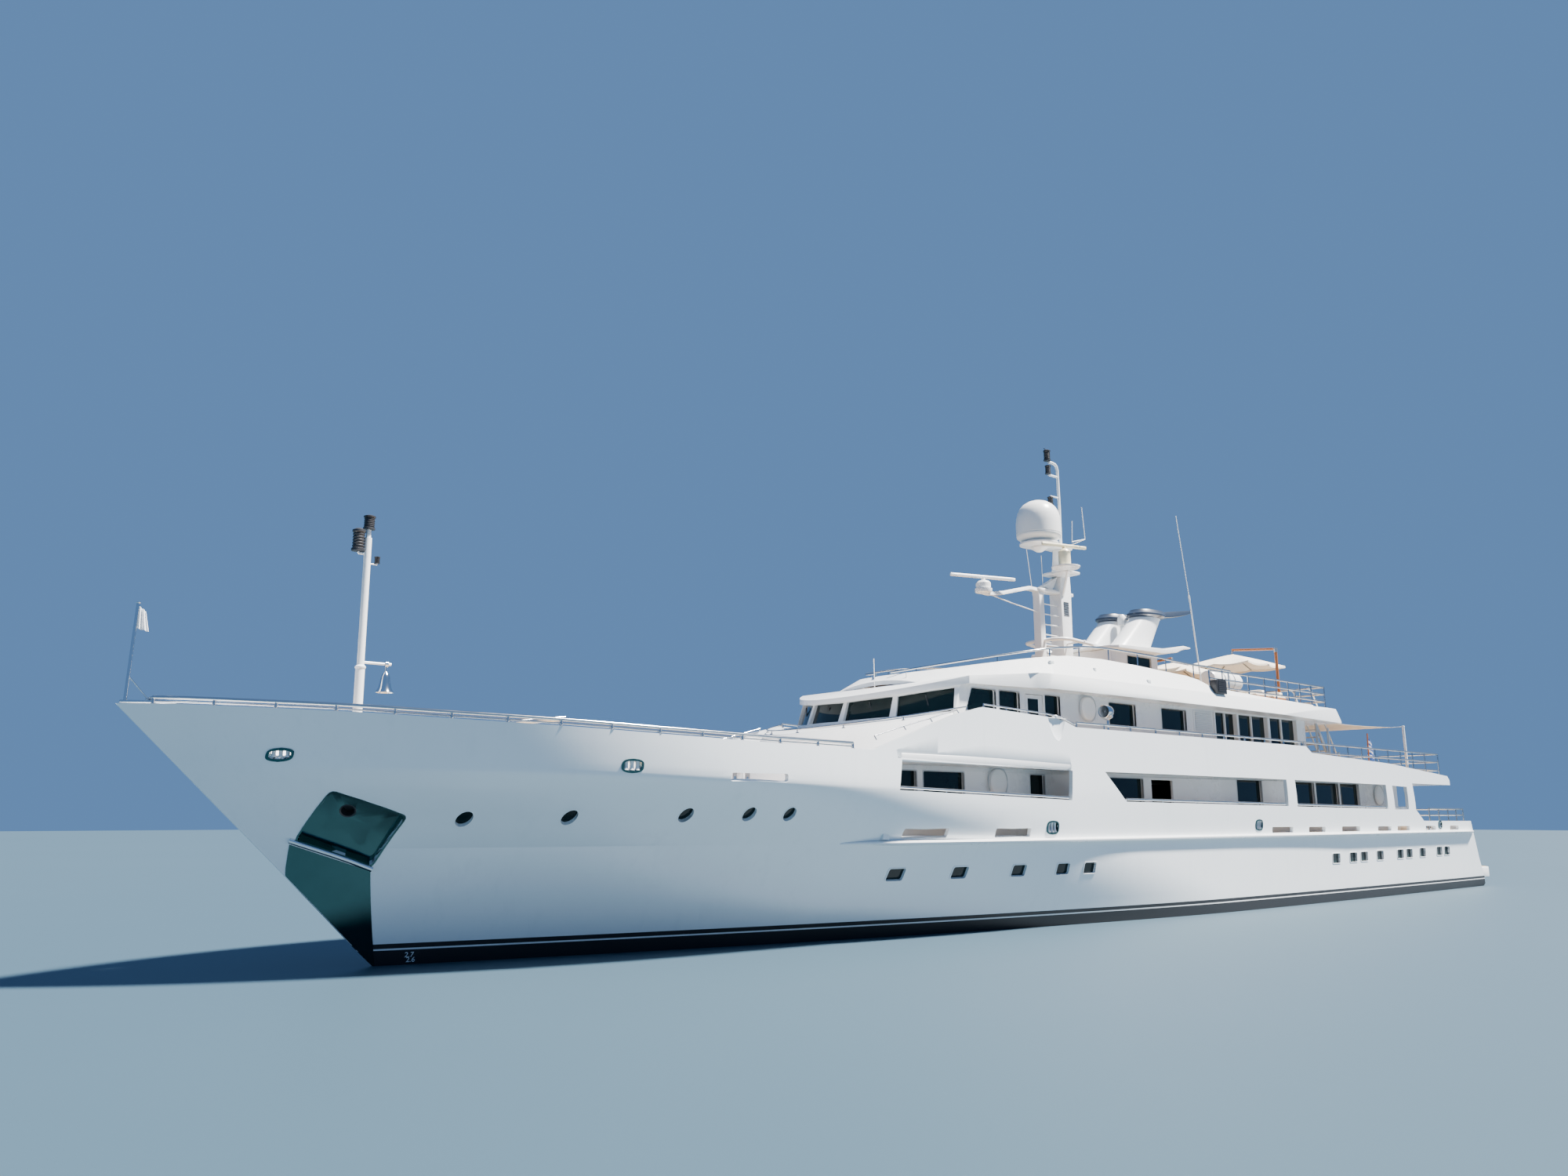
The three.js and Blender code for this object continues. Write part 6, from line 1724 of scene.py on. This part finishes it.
bridge_bar = bridge_edge(0.06)
rails = [rail_of(bridge_bar[::5], (0.1,), 0.022, bars=bridge_bar)]
for side, sign in SIDES:
    top = []
    for s in [14.45 + 0.5 * step for step in range(27)]:
        level = level_along(FAIRING_TOP, s)
        front = fairing_plan(COAMING_INSET)(level)
        y = max(0.3, level_along(sorted((spot, half) for spot, half in front if half > 0), s))
        top.append((s, sign * y, level))
    rails.append(tube([[at(s, y, level_along(COAMING_RAIL, s)) for s, y, _ in top]], 0.016, 4))
    rails.append(tube([[at(s, y, z - 0.03), at(s, y, level_along(COAMING_RAIL, s))] for s, y, z in top[1::3]],
                      0.01))
    rails.append(rail_of(on_plate((14.0, 14.9, 15.8, 16.6, 17.2, 17.75, 17.9), 5.3, UPPER_TOP, sign), (0.09,),
                         0.022))
    stair = [(10.16, 4.83), (11.15, 5.11), (12.09, 5.35), (13.08, 5.62)]
    rails.append(tube([[at(s, sign * 4.06, z) for s, z in stair]], 0.01, 4))
    rails.append(tube([[at(s, sign * 4.06, z), at(s, sign * 4.14, z - 0.1)] for s, z in stair], 0.008))
    for _, (s0, z0), (s1, z1), _ in SIDE_OPENINGS:
        count = max(2, int((s1 - s0) / 1.6))
        bar = []
        for step in range(count + 1):
            s = s0 + 0.08 + (s1 - s0 - 0.16) * step / count
            bar.append(at(s, sign * (half_breadth(s, 3.4) - PLATE / 2), z0 + (z1 - z0) * step / count + 0.07))
        rails.append(tube([bar], 0.018, 4))
        rails.append(tube([[point, point - Vector((0, 0, 0.04))] for point in bar], 0.01))
finish_piece(rails, "hand_rails", "rail_steel")

# %% The stair from the upper deck to the sundeck, on the port side abaft the house
STAIR_FOOT, STAIR_HEAD, STAIR_SIDES, TREADS = (36.1, UPPER_DECK + 0.02), (34.5, SUNDECK), (2.15, 2.85), 9
stair_pieces = [tube([[at(s, y, UPPER_DECK + 0.01), at(s, y, top)] for s, y, top in
                      ((34.5, 2.95, 6.46), (35.4, 2.95, 6.3), (36.15, 2.95, 5.4), (36.15, 2.05, 5.4))],
                     0.045 * SCALE, 5)]
for y in STAIR_SIDES:
    (s0, z0), (s1, z1) = STAIR_FOOT, STAIR_HEAD
    cheek = side_shape([(s0, z0), (s0 - 0.28, z0), (s1 - 0.1, z1 - 0.12), (s1, z1 - 0.12)], y - 0.03,
                       y + 0.03)
    stair_pieces.append(soften(cheek, 0.004, 1))
    stair_pieces.append(rod([(s0 + 0.05, y, z0 + 0.9), (s1 + 0.1, y, z1 + 0.75), (s1 - 0.2, y, z1 + 0.85)],
                            0.03 * SCALE, 4))
for step in range(TREADS):
    part = (step + 0.6) / TREADS
    s, z = s0 - 0.14 + (s1 - s0) * part, z0 + (z1 - z0 - 0.12) * part
    stair_pieces.append(soften(slab(s - 0.13, s + 0.13, *STAIR_SIDES, z, z + 0.04), 0.003, 1))
finish_piece(stair_pieces, "sundeck_stair", "satin_steel")

# %% [markdown]
# ## Main deckhouse, doors and glass
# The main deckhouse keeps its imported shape, with softened edges. The doors are
# leaves with a raised frame, and glass fills the windows.

# %% The deckhouse and the decks' slabs
dressed("main_deckhouse", "house_white", 0.008)
dressed("upper_deck", "house_white", 0.01)
dressed("stern_bulwark", "hull_white", 0.006)
dressed("swim_platform", "house_white", 0.02)
for side, sign in SIDES:
    dressed(f"rudder_{side}", "bottom_dark", 0.012)
    dressed(f"roll_fin_{side}", "bottom_dark", 0.012)
    dressed(f"propeller_{side}", "propeller_bronze", 0.002)
finish_piece(plan_shape(mirrored([(46.95, -3.5), (47.85, -3.5), (48.1, -3.25)]), 0.795, 0.812),
             "swim_platform_teak", "teak_deck")
MAIN_WINDOWS = [(11.9, 12.55, 3.05, 4.1), (12.8, 14.35, 3.05, 4.1), (17.1, 17.75, 2.75, 4.1),
                (20.8, 22.6, 3.05, 4.1), (28.15, 29.8, 3.05, 4.18), (31.95, 33.6, 3.05, 4.18),
                (33.73, 35.5, 3.05, 4.18), (35.65, 37.2, 3.05, 4.18)]
MAIN_HALF = 3.1
for side, sign in SIDES:
    face = MAIN_HALF - WALL - 0.002
    panes = [slab(s0 - 0.05, s1 + 0.05, *between(sign, face, face - 0.035), z0 - 0.05, z1 + 0.04)
             for s0, s1, z0, z1 in MAIN_WINDOWS]
    finish_piece(panes, f"main_panes_{side}", "dark_glass", [f"main_glass_{side}"])
    seals = [flat_ring(box_outline(*row), MAIN_HALF, sign, 0.03, 0.05) for row in MAIN_WINDOWS]
    finish_piece(seals, f"main_window_seals_{side}", "louvre_grey")

# %% Hinged doors with a panel and a handle, and the sliding glass doors
for side, sign in SIDES:
    dressed(f"side_door_{side}", "house_white", 0.004)
    dressed(f"wing_door_{side}", "house_white", 0.004)
    body = frame["nodes"][f"wing_door_{side}"]["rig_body"]
    face = sign * 3.2
    pane = slab(16.98, 17.45, face - 0.026, face + 0.026, 5.0, 6.24)
    finish_piece(soften(pane, 0.004, 1), f"wing_door_pane_{side}", "dark_glass", body=body)
for node in ("aft_door", "saloon_door"):
    dressed(node, "dark_glass", 0.004)

# %% [markdown]
# ## Shade and soft furnishings
# The umbrellas have square canopies on eight ribs, with the cloth sagging a little
# between them and a short valance at the rim. The awning is stretched from the roof
# to two poles, so its edges draw in. Flags hang in folds from their staffs.

# %% A canopy as one curved sheet
UMBRELLAS = {"umbrella_aft": (33.2, 0.5, 33.55, 2.1, 1.4, 9.3, 8.72),
             "umbrella_forward": (28.9, 0.5, 28.9, -1.1, 1.4, 8.6, 8.05)}
CANOPY_STEPS = 32
VALANCE_DROP = 0.035
CLOTH_SAG, CLOTH_CROWN, RIM_SCALLOP = 0.0605, 0.02, 0.03


def canopy_point(u, v, s, y, half, top, rim):
    out = max(abs(u), abs(v))
    along = (min(abs(u), abs(v)) / out) if out > 1e-6 else 0.0
    off_rib = 4 * along * (1 - along)
    sag = CLOTH_SAG * off_rib * out * out
    rise = (1 - out) * (top - rim)
    crown = CLOTH_CROWN * math.sin(math.pi * out)
    scallop = 1 - RIM_SCALLOP * off_rib * out
    return at(s + u * half * scallop, y + v * half * scallop, rim + rise - sag + crown)


def canopy_sheet(name, s, y, half, top, rim):
    rows = []
    for i in range(CANOPY_STEPS + 1):
        v = 2 * i / CANOPY_STEPS - 1
        rows.append([canopy_point(2 * j / CANOPY_STEPS - 1, v, s, y, half, top, rim)
                     for j in range(CANOPY_STEPS + 1)])
    sheet = in_edit_mode(
        grid_through(rows),
        lambda: at_open_edges(lambda: bpy.ops.mesh.extrude_edges_move(
            TRANSFORM_OT_translate={"value": (0, 0, -VALANCE_DROP)})),
        face_outward)
    apply_modifier(sheet, "SOLIDIFY", thickness=0.004, offset=0)
    return finish_piece(sheet, name, "cream_canvas")


for node, (s, y, post_s, post_y, half, top, rim) in UMBRELLAS.items():
    canopy = canopy_sheet(f"{node}_canopy", s, y, half, top - 0.06, rim + 0.02)
    ribs = []
    for turn in range(8):
        u, v = ((1, 1), (1, 0), (1, -1), (0, -1), (-1, -1), (-1, 0), (-1, 1), (0, 1))[turn]
        tip = canopy_point(u * 0.97, v * 0.97, s, y, half, top - 0.09, rim - 0.02)
        root = at(s, y, top - 0.1)
        ribs.append([root, root.lerp(tip, 0.5) + Vector((0, 0, 0.006)), tip])
        ribs.append([at(s, y, top - 0.42), root.lerp(tip, 0.45)])
    rib_piece = joined([tube(ribs, 0.008),
                        turned(at(s, y, top - 0.42),
                               [(0.001, -0.02), (0.03, -0.016), (0.03, 0.016), (0.001, 0.02)], 16)])
    finish_piece(rib_piece, f"{node}_ribs", "lantern_black", slot="polished_steel")
    arm = [rod([(post_s, post_y, SUNDECK + 0.02), (post_s, post_y, top - 0.05)], 0.055 * SCALE, 5),
           rod([(post_s, post_y, top), (s, y, top + 0.1)], 0.045 * SCALE, 4)]
    finish_piece(arm, f"{node}_wood", "varnished_wood", slot="cream_canvas")
    steel = [turned(at(post_s, post_y, top - 0.06),
                    [(0.001, -0.03), (0.034, -0.03), (0.036, 0.0), (0.036, 0.05), (0.001, 0.055)], 20),
             turned(at(s, y, top + 0.02),
                    [(0.001, -0.06), (0.02, -0.06), (0.024, 0.0), (0.02, 0.05), (0.001, 0.06)], 16),
             turned(at(post_s, post_y, SUNDECK + 0.012),
                    [(0.001, 0.0), (0.17, 0.0), (0.17, 0.03), (0.04, 0.045), (0.036, 0.16), (0.001, 0.16)])]
    finish_piece(steel, f"{node}_fittings", "satin_steel", [node])

# %% The awning between the roof and its poles
AWNING_STEPS = 28
rows = []
for i in range(AWNING_STEPS + 1):
    u = i / AWNING_STEPS
    row = []
    for j in range(AWNING_STEPS + 1):
        v = 2 * j / AWNING_STEPS - 1
        pull = 4 * u * (1 - u)
        half = 3.08 - 0.4 * pull
        s = 35.3 + 5.6 * u - 0.4 * u * (1 - v * v)
        level = 6.53 + 0.03 * u - 0.2 * pull * (1 - 0.6 * u) * (1 - v * v) + 0.02 * v * v * u
        row.append(at(s, v * half, level))
    rows.append(row)
awning = grid_through(rows)
apply_modifier(awning, "SOLIDIFY", thickness=0.004, offset=0)
# The awning's darker beige colour is painted shade on its underside.
finish_piece(awning, "aft_awning_sheet", "cream_canvas_painted_shade")
poles = []
for side, sign in SIDES:
    poles.append(rod([(41.1, 3.4 * sign, UPPER_DECK + 0.01), (41.1, 3.4 * sign, 6.64)], 0.05 * SCALE, 5))
    poles.append(turned(at(41.1, 3.4 * sign, 6.62),
                        [(0.001, -0.02), (0.03, -0.02), (0.03, 0.006), (0.001, 0.012)], 16))
awning_poles = finish_piece(poles, "awning_poles", "house_white", ["aft_awning"])
lashings = [rod([(40.88, 3.07 * sign, 6.58), (41.1, 3.4 * sign, 6.6)], 0.007) for side, sign in SIDES]
lashings += [rod([(34.95, y, 6.5), (35.32, y, 6.53)], 0.007) for y in (-2.9, -1.45, 0, 1.45, 2.9)]
lashing_piece = finish_piece(lashings, "awning_lashings", "satin_steel")

# %% Ensign aft and pennant at the stem, hanging in folds
FLAG_ROWS, FLAG_COLUMNS = 24, 40


def hanging_flag(name, finish, s, y, top, drop, folds, reach, depth, lean=0.0):
    """A flag whose fly has fallen in upright folds beside the staff."""
    rows = []
    for i in range(FLAG_ROWS + 1):
        down = i / FLAG_ROWS
        row = []
        for j in range(FLAG_COLUMNS + 1):
            along = j / FLAG_COLUMNS
            spread = reach * (0.6 + 0.4 * down)
            ds = along * spread
            dy = depth * math.sin(along * folds * 2 * math.pi) * (0.6 + 0.4 * down) * min(1.0, along * 6)
            dz = -down * drop - 0.22 * along * drop * (1 - 0.5 * down)
            row.append(at(s + ds + lean * down, y + dy, top + dz))
        rows.append(row)
    sheet = grid_through(rows)
    apply_modifier(sheet, "SOLIDIFY", thickness=0.003, offset=0)
    return finish_piece(sheet, name, finish, slot="cream_canvas")


ensign_staff = rod([(43.75, 0.7, UPPER_DECK + 0.01), (43.9, 0.7, 6.6)], 0.028 * SCALE, 4)
finish_piece(ensign_staff, "ensign_staff", "varnished_wood", ["ensign"], slot="cream_canvas")
ensign = hanging_flag("ensign_cloth", "striped_flag", 43.89, 0.7, 6.42, 0.95, 4.0, 0.42, 0.085, -0.06)
pennant = hanging_flag("stem_pennant", "white_flag", -4.84, 0.0, 6.8, 0.42, 2.0, 0.2, 0.045)

# %% [markdown]
# ## Safety gear, lights and furniture
# White canisters hold the liferafts and ring buoys hang on the house sides. Small
# boxes on the fairing hold deck lights and an engine room vent.

# %% Liferafts, searchlights, ring buoys, lamps and boxes
for side, sign in SIDES:
    rings = mirrored([(0.001, -0.95), (0.2, -0.94), (0.3, -0.9), (0.345, -0.8), (0.35, -0.72), (0.35, -0.34),
                      (0.335, -0.33), (0.335, -0.29), (0.35, -0.28), (0.35, -0.03), (0.32, -0.02)])
    canister = lathe(at(28.0, 2.9 * sign, 7.56), rings, 40, (1, 0, 0))
    finish_piece(canister, f"liferaft_canister_{side}", "white_plastic", [f"liferaft_{side}"])
    cradle = [soften(slab(s, s + 0.12, sign * 2.9 - 0.28, sign * 2.9 + 0.28, SUNDECK + 0.002, 7.27), 0.006)
              for s in (27.4, 28.45)]
    bands = []
    for offset in (-0.31, 0.31):
        band = [(0.352, offset - 0.025), (0.36, offset - 0.022), (0.36, offset + 0.022),
                (0.352, offset + 0.025), (0.352, offset - 0.025)]
        bands.append(lathe(at(28.0, 2.9 * sign, 7.56), band, 40, (1, 0, 0)))
    finish_piece([*cradle, *bands], f"liferaft_cradle_{side}", "satin_steel")
    lamp_y = (half_breadth(20, 5.3) - PLATE - 0.08) * sign
    head = [(0.001, -0.17), (0.12, -0.16), (0.17, -0.1), (0.185, 0.0), (0.2, 0.12), (0.2, 0.17),
            (0.185, 0.175), (0.175, 0.15), (0.001, 0.145)]
    lamp = [lathe(at(19.6, lamp_y, 5.95), head, 36, (1, 0, 0)),
            rod([(19.6, lamp_y, UPPER_DECK + 0.01), (19.6, lamp_y, 5.7)], 0.035 * SCALE, 5),
            tube([[at(19.6, lamp_y + y, z)
                   for y, z in ((-0.2, 5.95), (-0.19, 5.78), (0, 5.7), (0.17, 5.78), (0.18, 5.95))]],
                 0.02 * SCALE, 4)]
    finish_piece(lamp, f"searchlight_head_{side}", "polished_steel", [f"searchlight_{side}"])

ROPE_STEPS = 48
RING_BUOYS = [(19.68, 3.26, 6.1, 0.36), (15.65, 3.12, 3.87, 0.36), (38.79, 3.12, 3.78, 0.36)]


def ring_buoy(s, face, z, radius, sign):
    """A buoy in its round white cover, crowned a little towards the middle."""
    cover = [(0.001, 0.0), (radius, 0.0), (radius, 0.04), (radius - 0.03, 0.08), (radius - 0.1, 0.105),
             (0.12, 0.12), (0.001, 0.12)]
    return lathe(at(s, sign * face, z), cover, 40, (0, sign, 0))


for side, sign in SIDES:
    rings = [ring_buoy(s, face, z, radius, sign) for s, face, z, radius in RING_BUOYS]
    finish_piece(rings, f"ring_buoys_{side}", "white_plastic")
    ropes = []
    for s, face, z, radius in RING_BUOYS:
        loop = []
        for step in range(ROPE_STEPS + 1):
            turn = 2 * math.pi * step / ROPE_STEPS
            out = radius + 0.03 + 0.03 * abs(math.sin(2 * turn))
            loop.append(at(s + out * math.cos(turn), sign * (face + 0.04), z + out * math.sin(turn)))
        ropes.append(loop)
    finish_piece(tube(ropes, 0.008), f"buoy_grab_lines_{side}", "louvre_grey", slot="white_plastic")

VENT_BOX = (26.08, 26.68, 6.94, 7.4)
for side, sign in SIDES:
    s0, s1, z0, z1 = VENT_BOX
    box = soften(slab(s0, s1, *between(sign, 3.58, 3.84), z0 + 0.002, z1), 0.008)
    fins = [slab(s0 + 0.06, s1 - 0.06, *between(sign, 3.83, 3.86), z, z + 0.03)
            for z in [z0 + 0.1 + 0.06 * step for step in range(7)]]
    finish_piece([box, *fins], f"engine_vent_box_{side}", "lantern_black", slot="navy_paint")
    lamps = [soften(slab(s - 0.09, s + 0.09, *between(sign, face - 0.06, face + 0.03), z - 0.07, z + 0.07),
                    0.01)
             for s, face, z in ((17.78, 3.51, 7.28), (22.4, 3.66, 7.06))]
    lamps.append(soften(slab(19.72, 19.82, *between(sign, 3.5, 3.585), 7.06, 7.3), 0.008))
    # The light boxes use the darker, bluer copy of the white paint, as painted shade.
    finish_piece(lamps, f"deck_light_boxes_{side}", "house_white_painted_shade")

# %% The tall aerials beside the sundeck
aerials = []
for side, sign in SIDES:
    foot, joint, head = at(26.2, 3.22 * sign, 7.05), at(25.8, 3.22 * sign, 10.2), at(25.35, 3.2 * sign, 13.0)
    ferrule = [joint.lerp(foot, 0.03), joint.lerp(head, 0.03)]
    aerials += [tube([[foot, joint]], 0.011, 4), tube([[joint, head]], 0.006), tube([ferrule], 0.014, 4),
                turned(foot, [(0.001, -0.03), (0.03, -0.03), (0.03, 0.0), (0.014, 0.05)], 14)]
aerials += [rod([(14.1, 0, 6.6), (14.08, 0, 7.46)], 0.006), rod([(14.4, 1.0, 6.6), (14.4, 1.0, 6.98)], 0.008)]
finish_piece(aerials, "tall_aerials", "white_plastic")

# %% [markdown]
# ## Loungers and seats on the open decks
# Each lounger is a low frame with a padded mattress. The mattress is a crowned closed form.

# %% Cushions, loungers and the after deck's furniture
CUSHION_PARTS = 10


def cushion(name, s0, s1, y0, y1, z0, z1):
    """A crowned pad: its sides pull in between the corners and its top swells."""
    rings = []
    middle_s, middle_y = (s0 + s1) / 2, (y0 + y1) / 2
    half_s, half_y = (s1 - s0) / 2, (y1 - y0) / 2
    levels = [(0.0, 0.0), (0.0, 0.9), (0.25, 1.0), (0.6, 1.0), (0.85, 0.95), (0.97, 0.8), (1.0, 0.5),
              (1.0, 0.0)]
    for height, spread in levels:
        ring = []
        for step in range(CUSHION_PARTS * 4):
            edge, part = divmod(step, CUSHION_PARTS)
            t = 2 * part / CUSHION_PARTS - 1
            u, v = ((t, -1), (1, t), (-t, 1), (-1, -t))[edge]
            pull = 1 - 0.035 * (1 - t * t)
            reach = max(spread, 0.002) * pull
            ring.append(at(middle_s + u * half_s * reach, middle_y + v * half_y * reach,
                           z0 + (z1 - z0) * height))
        rings.append(ring)
    pad = closed_skin(rings)
    apply_modifier(pad, "SUBSURF", levels=1, render_levels=1)
    finish_piece(pad, name, "cream_canvas")


LOUNGERS = [(30.75, 2.3), (32.0, 2.3), (30.75, -2.3), (32.0, -2.3)]
for number, (s, y) in enumerate(LOUNGERS, 1):
    frame_bars = [rod([(s - 0.45, y - 0.6, 7.2), (s + 0.45, y - 0.6, 7.2), (s + 0.45, y + 0.6, 7.2),
                       (s - 0.45, y + 0.6, 7.2), (s - 0.45, y - 0.6, 7.2)], 0.015),
                  tube([[at(s + ds, y + dy, SUNDECK + 0.015), at(s + ds, y + dy, 7.2)] for ds in (-0.4, 0.4)
                        for dy in (-0.5, 0.5)], 0.014)]
    finish_piece(frame_bars, f"lounger_frame_{number}", "varnished_wood", slot="house_paint")
    cushion(f"lounger_pad_{number}", s - 0.46, s + 0.46, y - 0.62, y + 0.62, 7.215, 7.34)
    cushion(f"lounger_bolster_{number}", s + 0.2, s + 0.45, y - 0.5, y + 0.5, 7.335, 7.5)
SEATS = [("upper_sofa", 41.9, 42.9, -2.2, 2.2, UPPER_DECK + 0.016),
         ("main_sofa", 43.9, 44.9, -2.0, 2.0, MAIN_DECK + 0.012)]
for name, s0, s1, y0, y1, deck in SEATS:
    finish_piece(soften(slab(s0, s1, y0, y1, deck, deck + 0.3), 0.012), f"{name}_base", "house_white")
    cushion(f"{name}_seat", s0 + 0.02, s1 - 0.25, y0 + 0.03, y1 - 0.03, deck + 0.3, deck + 0.45)
    cushion(f"{name}_back", s1 - 0.26, s1, y0 + 0.03, y1 - 0.03, deck + 0.3, deck + 0.78)
TABLES = [("upper_table", 38.3, 40.3, 0.75, UPPER_DECK + 0.016, 0.72),
          ("main_table", 41.2, 42.6, 0.6, MAIN_DECK + 0.012, 0.7)]
for name, s0, s1, half, deck, height in TABLES:
    top = soften(plan_shape(rounded([(s0, -half), (s1, -half), (s1, half), (s0, half)], 0.3, 6),
                            deck + height - 0.04, deck + height), 0.006)
    legs = [turned(at(s, 0, deck),
                   [(0.001, 0.0), (0.11, 0.0), (0.1, 0.015), (0.03, 0.03), (0.028, height * SCALE - 0.02)],
                   20) for s in (s0 + 0.5, s1 - 0.5)]
    finish_piece([top, *legs], name, "varnished_wood", slot="house_paint")

# %% Draft marks at the stem, in plain numbers


def painted_number(text, s, z, sign, height=0.075):
    bpy.ops.object.select_all(action="DESELECT")
    bpy.ops.object.text_add()
    piece = bpy.context.object
    piece.data.body = text
    piece.data.size = height
    piece.data.extrude = 0.0015
    only(piece)
    bpy.ops.object.convert(target="MESH")
    piece = bpy.context.object
    origin = on_hull(s, z, sign)
    right = (on_hull(s + 0.1 * sign, z, sign) - origin).normalized()
    up = (on_hull(s, z + 0.1, sign) - origin).normalized()
    out = right.cross(up).normalized()
    points = []
    for vertex in piece.data.vertices:
        points.append(origin + right * vertex.co.x + up * vertex.co.y + out * (vertex.co.z + 0.0012))
    place_vertices(piece, points)
    return piece


for side, sign in SIDES:
    marks = [painted_number("2.7", 0.56, 0.15, sign), painted_number("2.6", 0.6, 0.05, sign)]
    finish_piece(marks, f"draft_marks_{side}", "mark_white")

# %% [markdown]
# ## Floor and light
# A plain blue-grey floor lies at the level of the waterline. Light comes from high
# over the port quarter, softened a little, with a blue surround to fill the shade.

# %% Studio
FLOOR_SIZE = 260
SKY_COLOUR, SKY_STRENGTH = (0.2, 0.42, 0.86, 1.0), 0.6
SUN_ENERGY, SUN_WIDTH = 23.0, math.radians(6)

bpy.ops.object.select_all(action="DESELECT")
bpy.ops.mesh.primitive_plane_add(size=FLOOR_SIZE)
floor = bpy.context.object
floor.name = "studio_floor"
tree, shader = start_finish("floor_pale", 0.55)
mottle = use_group(tree, "mottle", Scale=0.05, Strength=0.5)
tree.links.new(mix_colour(tree, mottle.outputs["Mask"], (0.034, 0.07, 0.1), (0.03, 0.064, 0.092)),
               shader.inputs["Base Color"])
floor.data.materials.append(finishes["floor_pale"])

world = bpy.data.worlds.new("studio")
bpy.context.scene.world = world
world.use_nodes = True
world.node_tree.nodes["Background"].inputs["Color"].default_value = SKY_COLOUR
world.node_tree.nodes["Background"].inputs["Strength"].default_value = SKY_STRENGTH

TOWARDS_SUN = Vector((-0.36, 0.34, 0.87))
bpy.ops.object.light_add(type="SUN")
key_light = bpy.context.object
key_light.name = "key_light"
key_light.rotation_euler = TOWARDS_SUN.to_track_quat("Z", "Y").to_euler()
key_light.data.energy = SUN_ENERGY
key_light.data.angle = SUN_WIDTH
key_light.data.color = (1.0, 0.96, 0.9)
